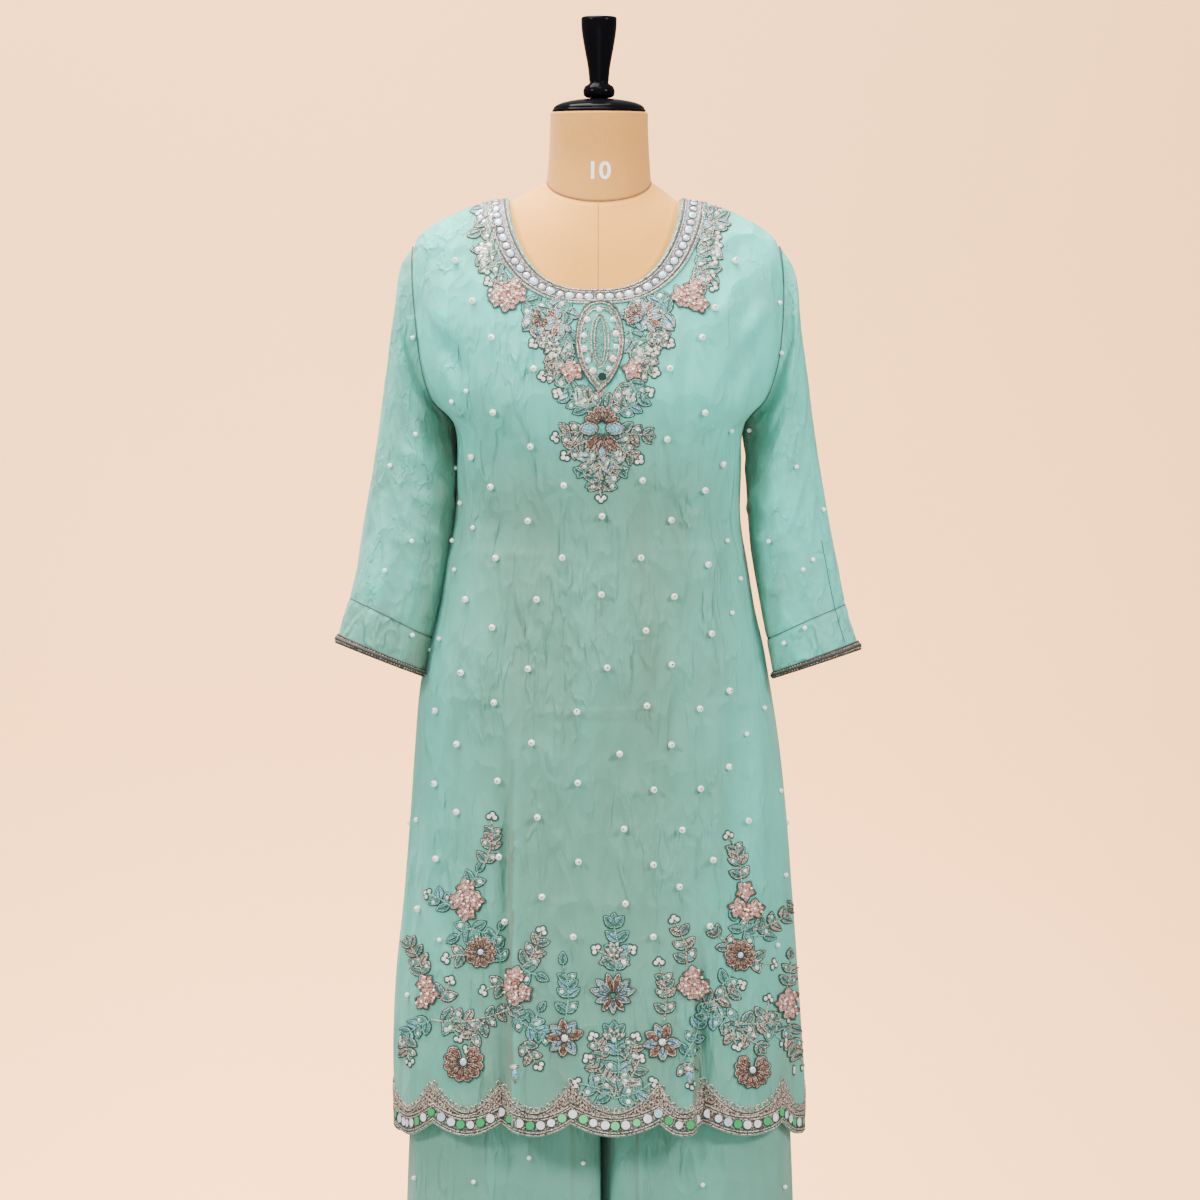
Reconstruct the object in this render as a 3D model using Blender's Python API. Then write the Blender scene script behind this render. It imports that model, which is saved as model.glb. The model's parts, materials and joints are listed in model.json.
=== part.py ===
"""Salwar kameez suit on a limbless dress form and its stand.

All sizes are metres, +Z is up, the suit faces -Y and the floor is Z = 0. "Left" and "right" are
the wearer's, so the left side lies towards +X. Every cloth piece is drafted flat, as points
(across, down) on its pattern, and then hung on a surface made of horizontal rings. Its wall is
that sheet of points and a second one moved out along the cloth's normals.
"""
import math
from collections import namedtuple
from functools import lru_cache

import bmesh
import bpy
from mathutils import Vector, geometry

# ---------------------------------------------------------------- driving sizes
CLOTH = 0.0014              # wall of the georgette and its lining, one piece
SEAM_GAP = 0.0004           # clear space between two pieces that are sewn together
BINDING = 0.0040            # width of the neck binding
BINDING_WALL = 0.0022
NECK_TRIM = 0.0150          # stone band round the neckline, at the centre front
TRIM_WALL = 0.0013
HEM_LEVEL_Z = 0.337         # lowest points of the kameez hem
# Where two scallops meet on the front, across. They are uneven, as they were cut over the folds.
FRONT_CUSPS = (-0.2060, -0.1200, -0.0340, 0.0710, 0.1290, 0.2360)
BACK_SCALLOPS = 8           # from the last of them round the back to the first
SCALLOP_DEPTH = 0.016
SCALLOP_STEP = 0.0130       # between the points along the hem
BORDER = 0.034              # lace border above a scallop's lowest point
BORDER_PEAK = 0.026         # how much farther the border climbs between two scallops
GRID_ACROSS = 0.034         # spacing of a panel's points
GRID_DOWN = 0.046
SHOULDER_STEP = 0.013       # from the shoulder seam to the first row of points beside it
ARMHOLE_STEPS = 10          # points along one half of an armhole
ARMHOLE_BITE = 0.170        # share of a panel's half width that the armhole cuts away
NECK_STEP = 0.018           # spacing of the points along the neckline
CUFF_TRIM = 0.0075
PEARL_PITCH = 0.087         # pearl lattice, across and down
PEARL_ROW = 0.0451
PEARL_TOP_Z = 1.1584
PEARL_BOTTOM_Z = 0.66
PEARL_BACK_BOTTOM_Z = 0.47
PEARL_RADIUS = 0.0046
PEARL_LIFT = 0.0066
PEARL_EDGE = 0.022          # no pearl is sewn closer to a seam
PEARL_COLUMNS = 3           # on either side of the centre
MOTIF_CLEAR = 0.012         # plain cloth round a raised flower
FORM_COLUMNS = 28           # points round the form
FORM_WAIST = 10             # the form's ring at its waist
CAP_ANGLES = (10, 26, 42, 58, 74, 88)   # degrees up the cap's round side
HALVINGS = 28               # to find the level that lies at a height
SPOT_STEPS = 8              # to find the cloth's point that lies at x and z
# Points across one trouser panel, from its outer seam to its inner one, and the two of them
# between which a leg's face turns to its inner side.
TROUSER_SHARES = (0.0, 0.07, 0.16, 0.27, 0.39, 0.50, 0.72, 0.785, 0.85, 1.0)
LEG_SHARES = (0.72, 0.85)
WAIST_TOP_Z = 1.0650
WAIST_BAND = 0.0300
TROUSER_HEM_Z = 0.0470
POLE_X = 0.0018
POLE_Y = 0.0200
POLE_RADIUS = 0.0110
BASE_RADIUS = 0.2050
BASE_THICK = 0.0120
BASE_HUB = 0.0140           # rise of the hub round the pole's foot
HUB_RADIUS = 0.0220
TORSO_BOTTOM_Z = 0.8000
NECK_TOP_Z = 1.5610
CAP_TOP_Z = 1.5780
CAP_RADIUS = 0.0560
CAP_DEPTH_SHARE = 0.9       # the neck and its cap are shallower than wide
NECK_CENTRE_Y = 0.0040
FINIAL_TOP_Z = 1.6760

FRONT = -1                  # the side of Y on which a panel lies
BACK = 1

# ---------------------------------------------------------------- tables
# One ring round the body. It stands at z_side over the side seams, z_front and z_back at the
# centres; half is its half width, shift its centre in X, front and back its depths. The powers
# bend an ellipse: side squares it across, face squares it in depth, drop rounds its fall in Z.
Ring = namedtuple("Ring", "z_side z_front z_back half shift front back side face drop")

KAMEEZ_RINGS = (
    Ring(1.4560, 1.3460, 1.4400, 0.1035, -0.0065, 0.0890, 0.0480, 0.70, 0.62, 1.2),
    Ring(1.4455, 1.3180, 1.3960, 0.1510, -0.0062, 0.1020, 0.0700, 0.74, 0.66, 1.2),
    Ring(1.4215, 1.2880, 1.3520, 0.1985, -0.0058, 0.1130, 0.0880, 0.80, 0.70, 1.2),
    Ring(1.3990, 1.2640, 1.3200, 0.2180, -0.0045, 0.1190, 0.0970, 0.83, 0.74, 1.2),
    Ring(1.3450, 1.2380, 1.2840, 0.2250, -0.0015, 0.1240, 0.1020, 0.85, 0.80, 1.2),
    Ring(1.2840, 1.2120, 1.2460, 0.2220, -0.0010, 0.1270, 0.1040, 0.85, 0.84, 1.2),
    Ring(1.2260, 1.1860, 1.2080, 0.2040, -0.0015, 0.1260, 0.1020, 0.85, 0.86, 1.2),
    Ring(1.1900, 1.1620, 1.1760, 0.1740, -0.0010, 0.1230, 0.0990, 0.85, 0.86, 1.2),
    Ring(1.1300, 1.1200, 1.1250, 0.1700, -0.0016, 0.1160, 0.0930, 0.85, 0.85, 1.2),
    Ring(1.0730, 1.0730, 1.0730, 0.1704, -0.0030, 0.1090, 0.0890, 0.85, 0.84, 1.2),
    Ring(1.0200, 1.0200, 1.0200, 0.1800, -0.0040, 0.1110, 0.0960, 0.85, 0.84, 1.2),
    Ring(0.9700, 0.9700, 0.9700, 0.1885, -0.0046, 0.1160, 0.1080, 0.85, 0.84, 1.2),
    Ring(0.9200, 0.9200, 0.9200, 0.2003, -0.0060, 0.1210, 0.1170, 0.85, 0.84, 1.2),
    Ring(0.8630, 0.8630, 0.8630, 0.2106, -0.0054, 0.1250, 0.1230, 0.85, 0.83, 1.2),
    Ring(0.8000, 0.8000, 0.8000, 0.2178, -0.0034, 0.1270, 0.1260, 0.85, 0.82, 1.2),
    Ring(0.7110, 0.7110, 0.7110, 0.2252, -0.0018, 0.1290, 0.1270, 0.84, 0.77, 1.2),
    Ring(0.6200, 0.6200, 0.6200, 0.2319, -0.0021, 0.1310, 0.1280, 0.84, 0.75, 1.2),
    Ring(0.5400, 0.5400, 0.5400, 0.2390, -0.0036, 0.1330, 0.1290, 0.84, 0.75, 1.2),
    Ring(0.4600, 0.4600, 0.4600, 0.2439, -0.0030, 0.1350, 0.1300, 0.84, 0.75, 1.2),
    Ring(0.3970, 0.3970, 0.3970, 0.2456, -0.0010, 0.1360, 0.1300, 0.84, 0.75, 1.2),
    Ring(0.3370, 0.3370, 0.3370, 0.2444, -0.0008, 0.1370, 0.1300, 0.84, 0.75, 1.2),
)
SHOULDER_TIP = 3            # rows of the table where the armhole starts and ends
UNDERARM = 7

FORM_RINGS = (
    Ring(1.4776, 1.4524, 1.4700, 0.0624, -0.0012, 0.0560, 0.0440, 1.00, 1.00, 1.0),
    Ring(1.4660, 1.4020, 1.4580, 0.0820, -0.0040, 0.0720, 0.0450, 0.84, 0.80, 1.1),
    Ring(1.4540, 1.3430, 1.4350, 0.1020, -0.0065, 0.0855, 0.0420, 0.78, 0.72, 1.15),
    Ring(1.4434, 1.3100, 1.3840, 0.1460, -0.0062, 0.0960, 0.0550, 0.86, 0.84, 1.05),
    Ring(1.4200, 1.2880, 1.3520, 0.1730, -0.0058, 0.1040, 0.0690, 0.90, 0.90, 1.05),
    Ring(1.3860, 1.2640, 1.3200, 0.1830, -0.0040, 0.1100, 0.0840, 0.90, 0.86, 1.2),
    Ring(1.3300, 1.2360, 1.2820, 0.1840, -0.0020, 0.1180, 0.0960, 0.85, 0.80, 1.2),
    Ring(1.2500, 1.2020, 1.2300, 0.1690, -0.0010, 0.1190, 0.0960, 0.88, 0.84, 1.2),
    Ring(1.1850, 1.1600, 1.1700, 0.1570, -0.0010, 0.1140, 0.0920, 0.90, 0.86, 1.2),
    Ring(1.1200, 1.1150, 1.1150, 0.1390, -0.0010, 0.1020, 0.0860, 0.94, 0.90, 1.2),
    Ring(1.0650, 1.0650, 1.0650, 0.1255, 0.0000, 0.0930, 0.0850, 0.96, 0.94, 1.0),
    Ring(1.0350, 1.0350, 1.0350, 0.1255, 0.0000, 0.0930, 0.0850, 0.96, 0.94, 1.0),
    Ring(0.9600, 0.9600, 0.9600, 0.1450, 0.0000, 0.0990, 0.0960, 0.94, 0.90, 1.0),
    Ring(0.8900, 0.8900, 0.8900, 0.1620, 0.0000, 0.1020, 0.1060, 0.92, 0.88, 1.0),
    Ring(0.8400, 0.8400, 0.8400, 0.1640, 0.0000, 0.1010, 0.1070, 0.92, 0.88, 1.0),
    Ring(0.8000, 0.8000, 0.8000, 0.1600, 0.0000, 0.0980, 0.1030, 0.92, 0.88, 1.0),
)

# A sleeve ring by its outer and inner ends, seen from the front, its half depth, its centre in
# Y, and how far its front and back bow away from the body.
SleeveRow = namedtuple("SleeveRow", "outer_x outer_z inner_x inner_z depth y bow")
RIGHT_SLEEVE = (
    SleeveRow(-0.2310, 1.3870, -0.1768, 1.1788, 0.0470, 0.002, 0.026),
    SleeveRow(-0.2394, 1.3456, -0.1768, 1.1596, 0.0510, 0.001, 0.022),
    SleeveRow(-0.2472, 1.3048, -0.1762, 1.1344, 0.0530, 0.000, 0.015),
    SleeveRow(-0.2550, 1.2520, -0.1764, 1.1044, 0.0535, -0.002, 0.009),
    SleeveRow(-0.2640, 1.1860, -0.1800, 1.0624, 0.0520, -0.006, 0.004),
    SleeveRow(-0.2724, 1.1296, -0.1862, 1.0240, 0.0510, -0.010, 0.001),
    SleeveRow(-0.2826, 1.0660, -0.1940, 0.9880, 0.0500, -0.016, 0.000),
    SleeveRow(-0.2916, 1.0168, -0.2008, 0.9580, 0.0490, -0.021, 0.000),
    SleeveRow(-0.3000, 0.9772, -0.2070, 0.9316, 0.0470, -0.026, 0.000),
    SleeveRow(-0.3078, 0.9496, -0.2122, 0.9064, 0.0455, -0.030, 0.000),
    SleeveRow(-0.3150, 0.9244, -0.2170, 0.8860, 0.0440, -0.033, 0.000),
)
LEFT_SLEEVE = (
    SleeveRow(0.2196, 1.3880, 0.1752, 1.1760, 0.0470, 0.002, 0.030),
    SleeveRow(0.2292, 1.3480, 0.1748, 1.1416, 0.0510, 0.001, 0.024),
    SleeveRow(0.2382, 1.3048, 0.1752, 1.1140, 0.0530, 0.000, 0.017),
    SleeveRow(0.2472, 1.2520, 0.1768, 1.0816, 0.0535, -0.002, 0.011),
    SleeveRow(0.2556, 1.1860, 0.1800, 1.0420, 0.0520, -0.006, 0.006),
    SleeveRow(0.2640, 1.1296, 0.1852, 1.0084, 0.0510, -0.010, 0.003),
    SleeveRow(0.2754, 1.0636, 0.1916, 0.9736, 0.0500, -0.016, 0.001),
    SleeveRow(0.2844, 1.0168, 0.1964, 0.9472, 0.0490, -0.021, 0.000),
    SleeveRow(0.2934, 0.9712, 0.2010, 0.9256, 0.0470, -0.026, 0.000),
    SleeveRow(0.3012, 0.9436, 0.2050, 0.9040, 0.0455, -0.030, 0.000),
    SleeveRow(0.3108, 0.9160, 0.2086, 0.8824, 0.0440, -0.033, 0.000),
)

# A row of both trouser legs: its outer half width and depths, and how far the two legs have
# parted, from 0 where they share one ring to 1 where each is a tube of its own.
TrouserRow = namedtuple("TrouserRow", "z outer front back parted")
TROUSER_ROWS = (
    TrouserRow(WAIST_TOP_Z - WAIST_BAND - 2 * SEAM_GAP, 0.1262, 0.0937, 0.0857, 0.0),
    TrouserRow(0.9900, 0.1440, 0.1030, 0.0980, 0.0),
    TrouserRow(0.9400, 0.1620, 0.1080, 0.1060, 0.0),
    TrouserRow(0.8900, 0.1780, 0.1110, 0.1130, 0.0),
    TrouserRow(0.8400, 0.1890, 0.1130, 0.1150, 0.0),
    TrouserRow(0.7950, 0.1980, 0.1140, 0.1150, 0.0),
    TrouserRow(0.7700, 0.2020, 0.1140, 0.1140, 0.30),
    TrouserRow(0.7400, 0.2030, 0.1080, 0.1060, 0.70),
    TrouserRow(0.7100, 0.2040, 0.1020, 0.1000, 1.0),
    TrouserRow(0.5800, 0.2120, 0.0960, 0.0940, 1.0),
    TrouserRow(0.4400, 0.2220, 0.0950, 0.0920, 1.0),
    TrouserRow(0.3300, 0.2275, 0.0970, 0.0940, 1.0),
    TrouserRow(0.1900, 0.2325, 0.1020, 0.0990, 1.0),
    TrouserRow(TROUSER_HEM_Z, 0.2380, 0.1060, 0.1030, 1.0),
)
# Where each leg's inner side lies in X, at the front and at the back of the leg. The left leg
# reaches past the centre at the back, so that the stand's pole runs down inside it.
LegInside = namedtuple("LegInside", "front back")
LEG_INSIDES = {"left": LegInside(0.0158, -0.0370), "right": LegInside(-0.0014, -0.0425)}
LEG_CORNER = 0.0200         # radius where a leg's face turns to its inner side

# Vertical folds of the skirt. A step sets the cloth outward on its centre's side, a wave is a
# rounded ridge. u is where it lies across, at its top and at the hem.
Fold = namedtuple("Fold", "kind u_top u_hem z_top height width")
FRONT_FOLDS = (
    Fold("step", -0.104, -0.112, 0.900, 0.0085, 0.010),
    Fold("step", 0.117, 0.124, 0.700, 0.0085, 0.010),
    Fold("wave", -0.190, -0.215, 0.760, 0.0050, 0.026),
    Fold("wave", 0.190, 0.212, 0.800, 0.0050, 0.026),
    Fold("wave", 0.045, 0.050, 0.620, 0.0030, 0.030),
    Fold("wave", -0.045, -0.050, 0.560, 0.0025, 0.030),
)
BACK_FOLDS = (
    Fold("step", -0.118, -0.126, 0.820, 0.0080, 0.012),
    Fold("step", 0.112, 0.121, 0.780, 0.0080, 0.012),
    Fold("wave", -0.195, -0.215, 0.760, 0.0050, 0.026),
    Fold("wave", 0.192, 0.212, 0.800, 0.0050, 0.026),
    Fold("wave", 0.010, 0.012, 0.700, 0.0050, 0.032),
)

# Corded and padded flowers that stand out from the front, by centre, half sizes and height.
Motif = namedtuple("Motif", "name x z half_width half_height lift")
MOTIFS = (
    Motif("yoke rose right", -0.1104, 1.3340, 0.0250, 0.0200, 0.0026),
    Motif("yoke rose left", 0.1056, 1.3320, 0.0250, 0.0200, 0.0026),
    Motif("medallion", 0.0010, 1.2780, 0.0260, 0.0500, 0.0024),
    Motif("side flower right", -0.0580, 1.2980, 0.0200, 0.0140, 0.0018),
    Motif("side flower left", 0.0600, 1.2960, 0.0200, 0.0140, 0.0018),
    Motif("yoke flower", 0.0000, 1.1860, 0.0400, 0.0260, 0.0022),
    Motif("rosettes right", -0.1596, 0.6136, 0.0200, 0.0260, 0.0024),
    Motif("rosettes left", 0.1740, 0.6100, 0.0200, 0.0260, 0.0024),
    Motif("bronze flower right", -0.1428, 0.5560, 0.0160, 0.0160, 0.0020),
    Motif("bronze flower left", 0.1680, 0.5520, 0.0160, 0.0160, 0.0020),
    Motif("pink cluster right", -0.0990, 0.5160, 0.0180, 0.0180, 0.0020),
    Motif("pink cluster left", 0.1060, 0.5160, 0.0180, 0.0180, 0.0020),
    Motif("fan flower right", -0.1620, 0.4300, 0.0200, 0.0190, 0.0022),
    Motif("fan flower left", 0.1860, 0.4300, 0.0200, 0.0190, 0.0022),
    Motif("star flower right", -0.0420, 0.4600, 0.0200, 0.0200, 0.0020),
    Motif("star flower left", 0.0720, 0.4560, 0.0200, 0.0200, 0.0020),
    Motif("lotus", 0.0156, 0.5080, 0.0180, 0.0190, 0.0020),
    Motif("bouquet", 0.0156, 0.4300, 0.0260, 0.0280, 0.0024),
)
# Loose pearls of the yoke, where the lattice gives way to the embroidery.
YOKE_PEARLS = ((-0.176, 1.378), (0.164, 1.378), (-0.151, 1.330), (0.140, 1.326), (-0.128, 1.289),
               (0.124, 1.289), (-0.079, 1.251), (0.083, 1.251), (-0.126, 1.200), (0.125, 1.198))

# The neck's rings: the share of its height, half width and half depth.
NECK_ROWS = ((0.45, 0.0600, 0.0530), (0.85, 0.0588, 0.0520), (1.0, 0.0586, 0.0518))

# The finial, as (radius, z) from the bottom up.
FINIAL_PROFILE = ((0.0096, 1.5785), (0.0096, 1.5815), (0.0160, 1.5820), (0.0186, 1.5880),
                  (0.0160, 1.5955), (0.0117, 1.5965), (0.0130, 1.6180), (0.0165, 1.6480),
                  (0.0200, 1.6700), (0.0205, 1.6735), (0.0180, 1.6755), (0.0120, FINIAL_TOP_Z))

MATERIALS = {
    "georgette": ((0.30, 0.49, 0.42, 1.0), 0.62, 0.0),
    "lace": ((0.60, 0.50, 0.42, 1.0), 0.55, 0.1),
    "linen": ((0.84, 0.64, 0.41, 1.0), 0.85, 0.0),
    "black": ((0.012, 0.012, 0.012, 1.0), 0.25, 0.0),
    "steel": ((0.55, 0.55, 0.56, 1.0), 0.30, 1.0),
}


# ---------------------------------------------------------------- small tools
def smoothstep(low, high, value):
    """Rise from 0 at low to 1 at high, with soft ends."""
    share = min(max((value - low) / (high - low), 0.0), 1.0)
    return share * share * (3.0 - 2.0 * share)


def through(stations, values, at):
    """Read a smooth curve through a table's values (cubic pieces with averaged slopes)."""
    last = len(stations) - 1
    k = 0
    while k < last - 1 and at > stations[k + 1]:
        k += 1

    def slope(i):
        low = max(i - 1, 0)
        high = min(i + 1, last)
        return (values[high] - values[low]) / (stations[high] - stations[low])

    step = stations[k + 1] - stations[k]
    t = min(max((at - stations[k]) / step, 0.0), 1.0)
    t2 = t * t
    t3 = t2 * t
    return ((2 * t3 - 3 * t2 + 1) * values[k] + (t3 - 2 * t2 + t) * step * slope(k)
            + (3 * t2 - 2 * t3) * values[k + 1] + (t3 - t2) * step * slope(k + 1))


def table_stations(rings):
    """Give each ring its level: the distance down the centre front from the first ring."""
    levels = [0.0]
    for upper, lower in zip(rings, rings[1:]):
        levels.append(levels[-1] + math.hypot(lower.z_front - upper.z_front,
                                              lower.front - upper.front))
    return tuple(levels)


KAMEEZ_LEVELS = table_stations(KAMEEZ_RINGS)
HEM_LEVEL = KAMEEZ_LEVELS[-1]


@lru_cache(maxsize=None)
def kameez_ring(level):
    """Give the kameez's ring at a level, all columns read from smooth curves."""
    columns = zip(*KAMEEZ_RINGS)
    return Ring(*(through(KAMEEZ_LEVELS, column, level) for column in columns))


def ring_point(ring, facing, turn):
    """Give a ring's point at a turn from the centre (0) to the left side (pi/2)."""
    across = abs(math.sin(turn)) ** ring.side * math.copysign(1.0, turn)
    fore = max(math.cos(turn), 0.0)
    depth = ring.front if facing == FRONT else ring.back
    centre_z = ring.z_front if facing == FRONT else ring.z_back
    return Vector((ring.shift + (ring.half - CLOTH) * across,
                   facing * (depth - CLOTH) * fore ** ring.face,
                   ring.z_side - (ring.z_side - centre_z) * fore ** ring.drop))


ARC_SAMPLES = 48


@lru_cache(maxsize=None)
def ring_arc(level, facing):
    """Give the arc lengths along the left half of a ring, from its centre to its side."""
    ring = kameez_ring(level)
    lengths = [0.0]
    last = ring_point(ring, facing, 0.0)
    for k in range(1, ARC_SAMPLES + 1):
        point = ring_point(ring, facing, k / ARC_SAMPLES * math.pi / 2)
        lengths.append(lengths[-1] + (point - last).length)
        last = point
    return tuple(lengths)


def half_girth(level, facing):
    """Give the cloth's length from its centre to its side seam."""
    return ring_arc(level, facing)[-1]


def turn_at(across, level, facing):
    """Give the turn round the ring that lies a length of cloth away from the centre."""
    lengths = ring_arc(level, facing)
    reach = min(abs(across), lengths[-1])
    k = 1
    while k < ARC_SAMPLES and lengths[k] < reach:
        k += 1
    share = (reach - lengths[k - 1]) / (lengths[k] - lengths[k - 1])
    return math.copysign((k - 1 + share) / ARC_SAMPLES * math.pi / 2, across)


def fold_lift(across, z, folds):
    """Give how far the folds push the cloth out of its ring."""
    lift = 0.0
    for fold in folds:
        grow = smoothstep(fold.z_top, fold.z_top - 0.28, z)
        if grow == 0.0:
            continue
        down = (fold.z_top - z) / (fold.z_top - HEM_LEVEL_Z)
        centre = fold.u_top + (fold.u_hem - fold.u_top) * down
        if fold.kind == "step":
            outward = (across - centre) * math.copysign(1.0, centre)
            lift -= fold.height * grow * smoothstep(-fold.width / 2, fold.width / 2, outward)
        else:
            lift += fold.height * grow * math.exp(-((across - centre) / fold.width) ** 2)
    return lift


def hang(across, level, facing):
    """Hang one point of a kameez panel: its place on the ring, moved out by the folds."""
    ring = kameez_ring(level)
    turn = turn_at(across, level, facing)
    point = ring_point(ring, facing, turn)
    folds = FRONT_FOLDS if facing == FRONT else BACK_FOLDS
    reach = half_girth(level, facing)
    at_seam = 1.0 - smoothstep(reach - 0.05, reach - 0.01, abs(across))
    lift = fold_lift(across, point.z, folds) * at_seam
    if lift:
        out = Vector((math.sin(turn) / ring.half, facing * math.cos(turn) / ring.front, 0.0))
        point += out.normalized() * lift
    return point


def level_at(z, across, facing):
    """Find the level at which the cloth passes a height, by halving."""
    high, low = 0.0, HEM_LEVEL
    for _ in range(HALVINGS):
        middle = (high + low) / 2
        if hang(across, middle, facing).z > z:
            high = middle
        else:
            low = middle
    return (high + low) / 2


def spot(x, z):
    """Find the point (across, level) of the front that lies at x and z, seen from the front."""
    across = x
    for _ in range(SPOT_STEPS):
        across += x - hang(across, level_at(z, across, FRONT), FRONT).x
    return across, level_at(z, across, FRONT)


# ---------------------------------------------------------------- flat patterns
def hem_round():
    """Give the cloth's length round the whole hem."""
    return 2 * (half_girth(HEM_LEVEL, FRONT) + half_girth(HEM_LEVEL, BACK))


@lru_cache(maxsize=None)
def hem_cusps():
    """Give where the scallops meet, along the whole hem from the first front one round to it."""
    first, last = FRONT_CUSPS[0], FRONT_CUSPS[-1]
    behind = hem_round() + first - last
    return FRONT_CUSPS + tuple(last + behind * k / BACK_SCALLOPS
                               for k in range(1, BACK_SCALLOPS + 1))


def scallop_share(across, facing):
    """Give 0 at the middle of a scallop and 1 at the point between two, all round the hem."""
    place = hem_round() / 2 - across if facing == BACK else across
    cusps = hem_cusps()
    place += hem_round() if place < cusps[0] else 0.0
    k = max(i for i in range(len(cusps) - 1) if cusps[i] <= place)
    share = min((place - cusps[k]) / (cusps[k + 1] - cusps[k]), 1.0)
    return 1.0 - abs(math.sin(math.pi * share)) ** 0.85


def hem_level(across, facing):
    """Give the level of the scalloped hem."""
    return HEM_LEVEL - SCALLOP_DEPTH * scallop_share(across, facing)


def border_level(across, facing):
    """Give the level of the lace border's upper edge, which climbs between the scallops."""
    climb = BORDER_PEAK + SCALLOP_DEPTH * 0.6
    return HEM_LEVEL - BORDER - climb * scallop_share(across, facing)


def armhole_levels():
    """Give the levels along an armhole, closer together near its two ends."""
    top, bottom = KAMEEZ_LEVELS[SHOULDER_TIP], KAMEEZ_LEVELS[UNDERARM]
    return [top + (bottom - top) * (1 - math.cos(math.pi * k / ARMHOLE_STEPS)) / 2
            for k in range(ARMHOLE_STEPS + 1)]


def panel_edge(level, facing):
    """Give a panel's half width at a level: to the seams, or to the armhole's edge."""
    top, bottom = KAMEEZ_LEVELS[SHOULDER_TIP], KAMEEZ_LEVELS[UNDERARM]
    share = min(max((level - top) / (bottom - top), 0.0), 1.0)
    bite = ARMHOLE_BITE * math.sin(math.pi * share) ** 0.6 if 0.0 < share < 1.0 else 0.0
    return half_girth(level, facing) * (1.0 - bite) - SEAM_GAP / 2


def steps_between(low, high, spacing):
    """Split a stretch into even steps of about the spacing, both ends included."""
    count = max(1, round((high - low) / spacing))
    return [low + (high - low) * k / count for k in range(count + 1)]


def side_levels():
    """Give the levels of a panel's side points, from the neckline down to the border."""
    tip, underarm = KAMEEZ_LEVELS[SHOULDER_TIP], KAMEEZ_LEVELS[UNDERARM]
    shoulder = [BINDING + SEAM_GAP, BINDING + NECK_TRIM]
    shoulder += steps_between(BINDING + NECK_TRIM, tip, 0.016)[1:-1]
    skirt = steps_between(underarm, HEM_LEVEL - BORDER - 0.02, GRID_DOWN)[1:]
    return shoulder + armhole_levels() + skirt


def hem_stations(facing):
    """Give the points across the hem, with one wherever two scallops meet."""
    reach = panel_edge(HEM_LEVEL, facing)
    cusps = hem_cusps()
    places = [place for low, high in zip(cusps, cusps[1:])
              for place in steps_between(low, high, SCALLOP_STEP)[:-1]]
    if facing == BACK:
        places = [hem_round() / 2 - place for place in places]
    else:
        places = [place - hem_round() if place > hem_round() / 2 else place for place in places]
    return sorted(place for place in places if abs(place) < reach - 0.004)


def distance_to(point, ends):
    """Give the distance from a flat point to a flat segment."""
    (ax, ay), (bx, by) = ends
    dx, dy = bx - ax, by - ay
    length = dx * dx + dy * dy
    share = 0.0 if length == 0 else ((point[0] - ax) * dx + (point[1] - ay) * dy) / length
    share = min(max(share, 0.0), 1.0)
    return math.hypot(point[0] - ax - share * dx, point[1] - ay - share * dy)


def pearl_spots(facing):
    """Give the flat places of the pearls: a half-drop lattice, clear of flowers and edges."""
    spots = []
    if facing == FRONT:
        spots += [spot(x, z) for x, z in YOKE_PEARLS]
    top = PEARL_TOP_Z if facing == FRONT else PEARL_TOP_Z + 3 * PEARL_ROW
    bottom = PEARL_BOTTOM_Z if facing == FRONT else PEARL_BACK_BOTTOM_Z
    rows = int((top - bottom) / PEARL_ROW)
    for row in range(rows + 1):
        z = top - row * PEARL_ROW
        odd = (row % 2 == 0) == (facing == FRONT)
        for column in range(-PEARL_COLUMNS, PEARL_COLUMNS + 1):
            across = PEARL_PITCH * (column if odd else column + 0.5)
            level = level_at(z, across, facing)
            if abs(across) > panel_edge(level, facing) - PEARL_EDGE:
                continue
            if facing == FRONT and on_motif(hang(across, level, facing)):
                continue
            spots.append((across, level))
    return spots


def on_motif(point):
    """Tell whether a point of the front lies on or beside a raised flower."""
    for motif in MOTIFS:
        dx = (point.x - motif.x) / (motif.half_width + MOTIF_CLEAR)
        dz = (point.z - motif.z) / (motif.half_height + MOTIF_CLEAR)
        if dx * dx + dz * dz < 1.0:
            return True
    return False


Bump = namedtuple("Bump", "ring ring_lift crown crown_lift across level reach")


def stretch(across, level, facing):
    """Give the cloth's length down for each unit of level, which grows towards the shoulders."""
    step = 0.002
    low = hang(across, level + step, facing)
    return (low - hang(across, level - step, facing)).length / (2 * step)


def oval(across, level, half_width, half_height, sides, start=0.0):
    """Give the flat points of an oval."""
    return [(across + half_width * math.cos(start + 2 * math.pi * k / sides),
             level + half_height * math.sin(start + 2 * math.pi * k / sides))
            for k in range(sides)]


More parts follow.
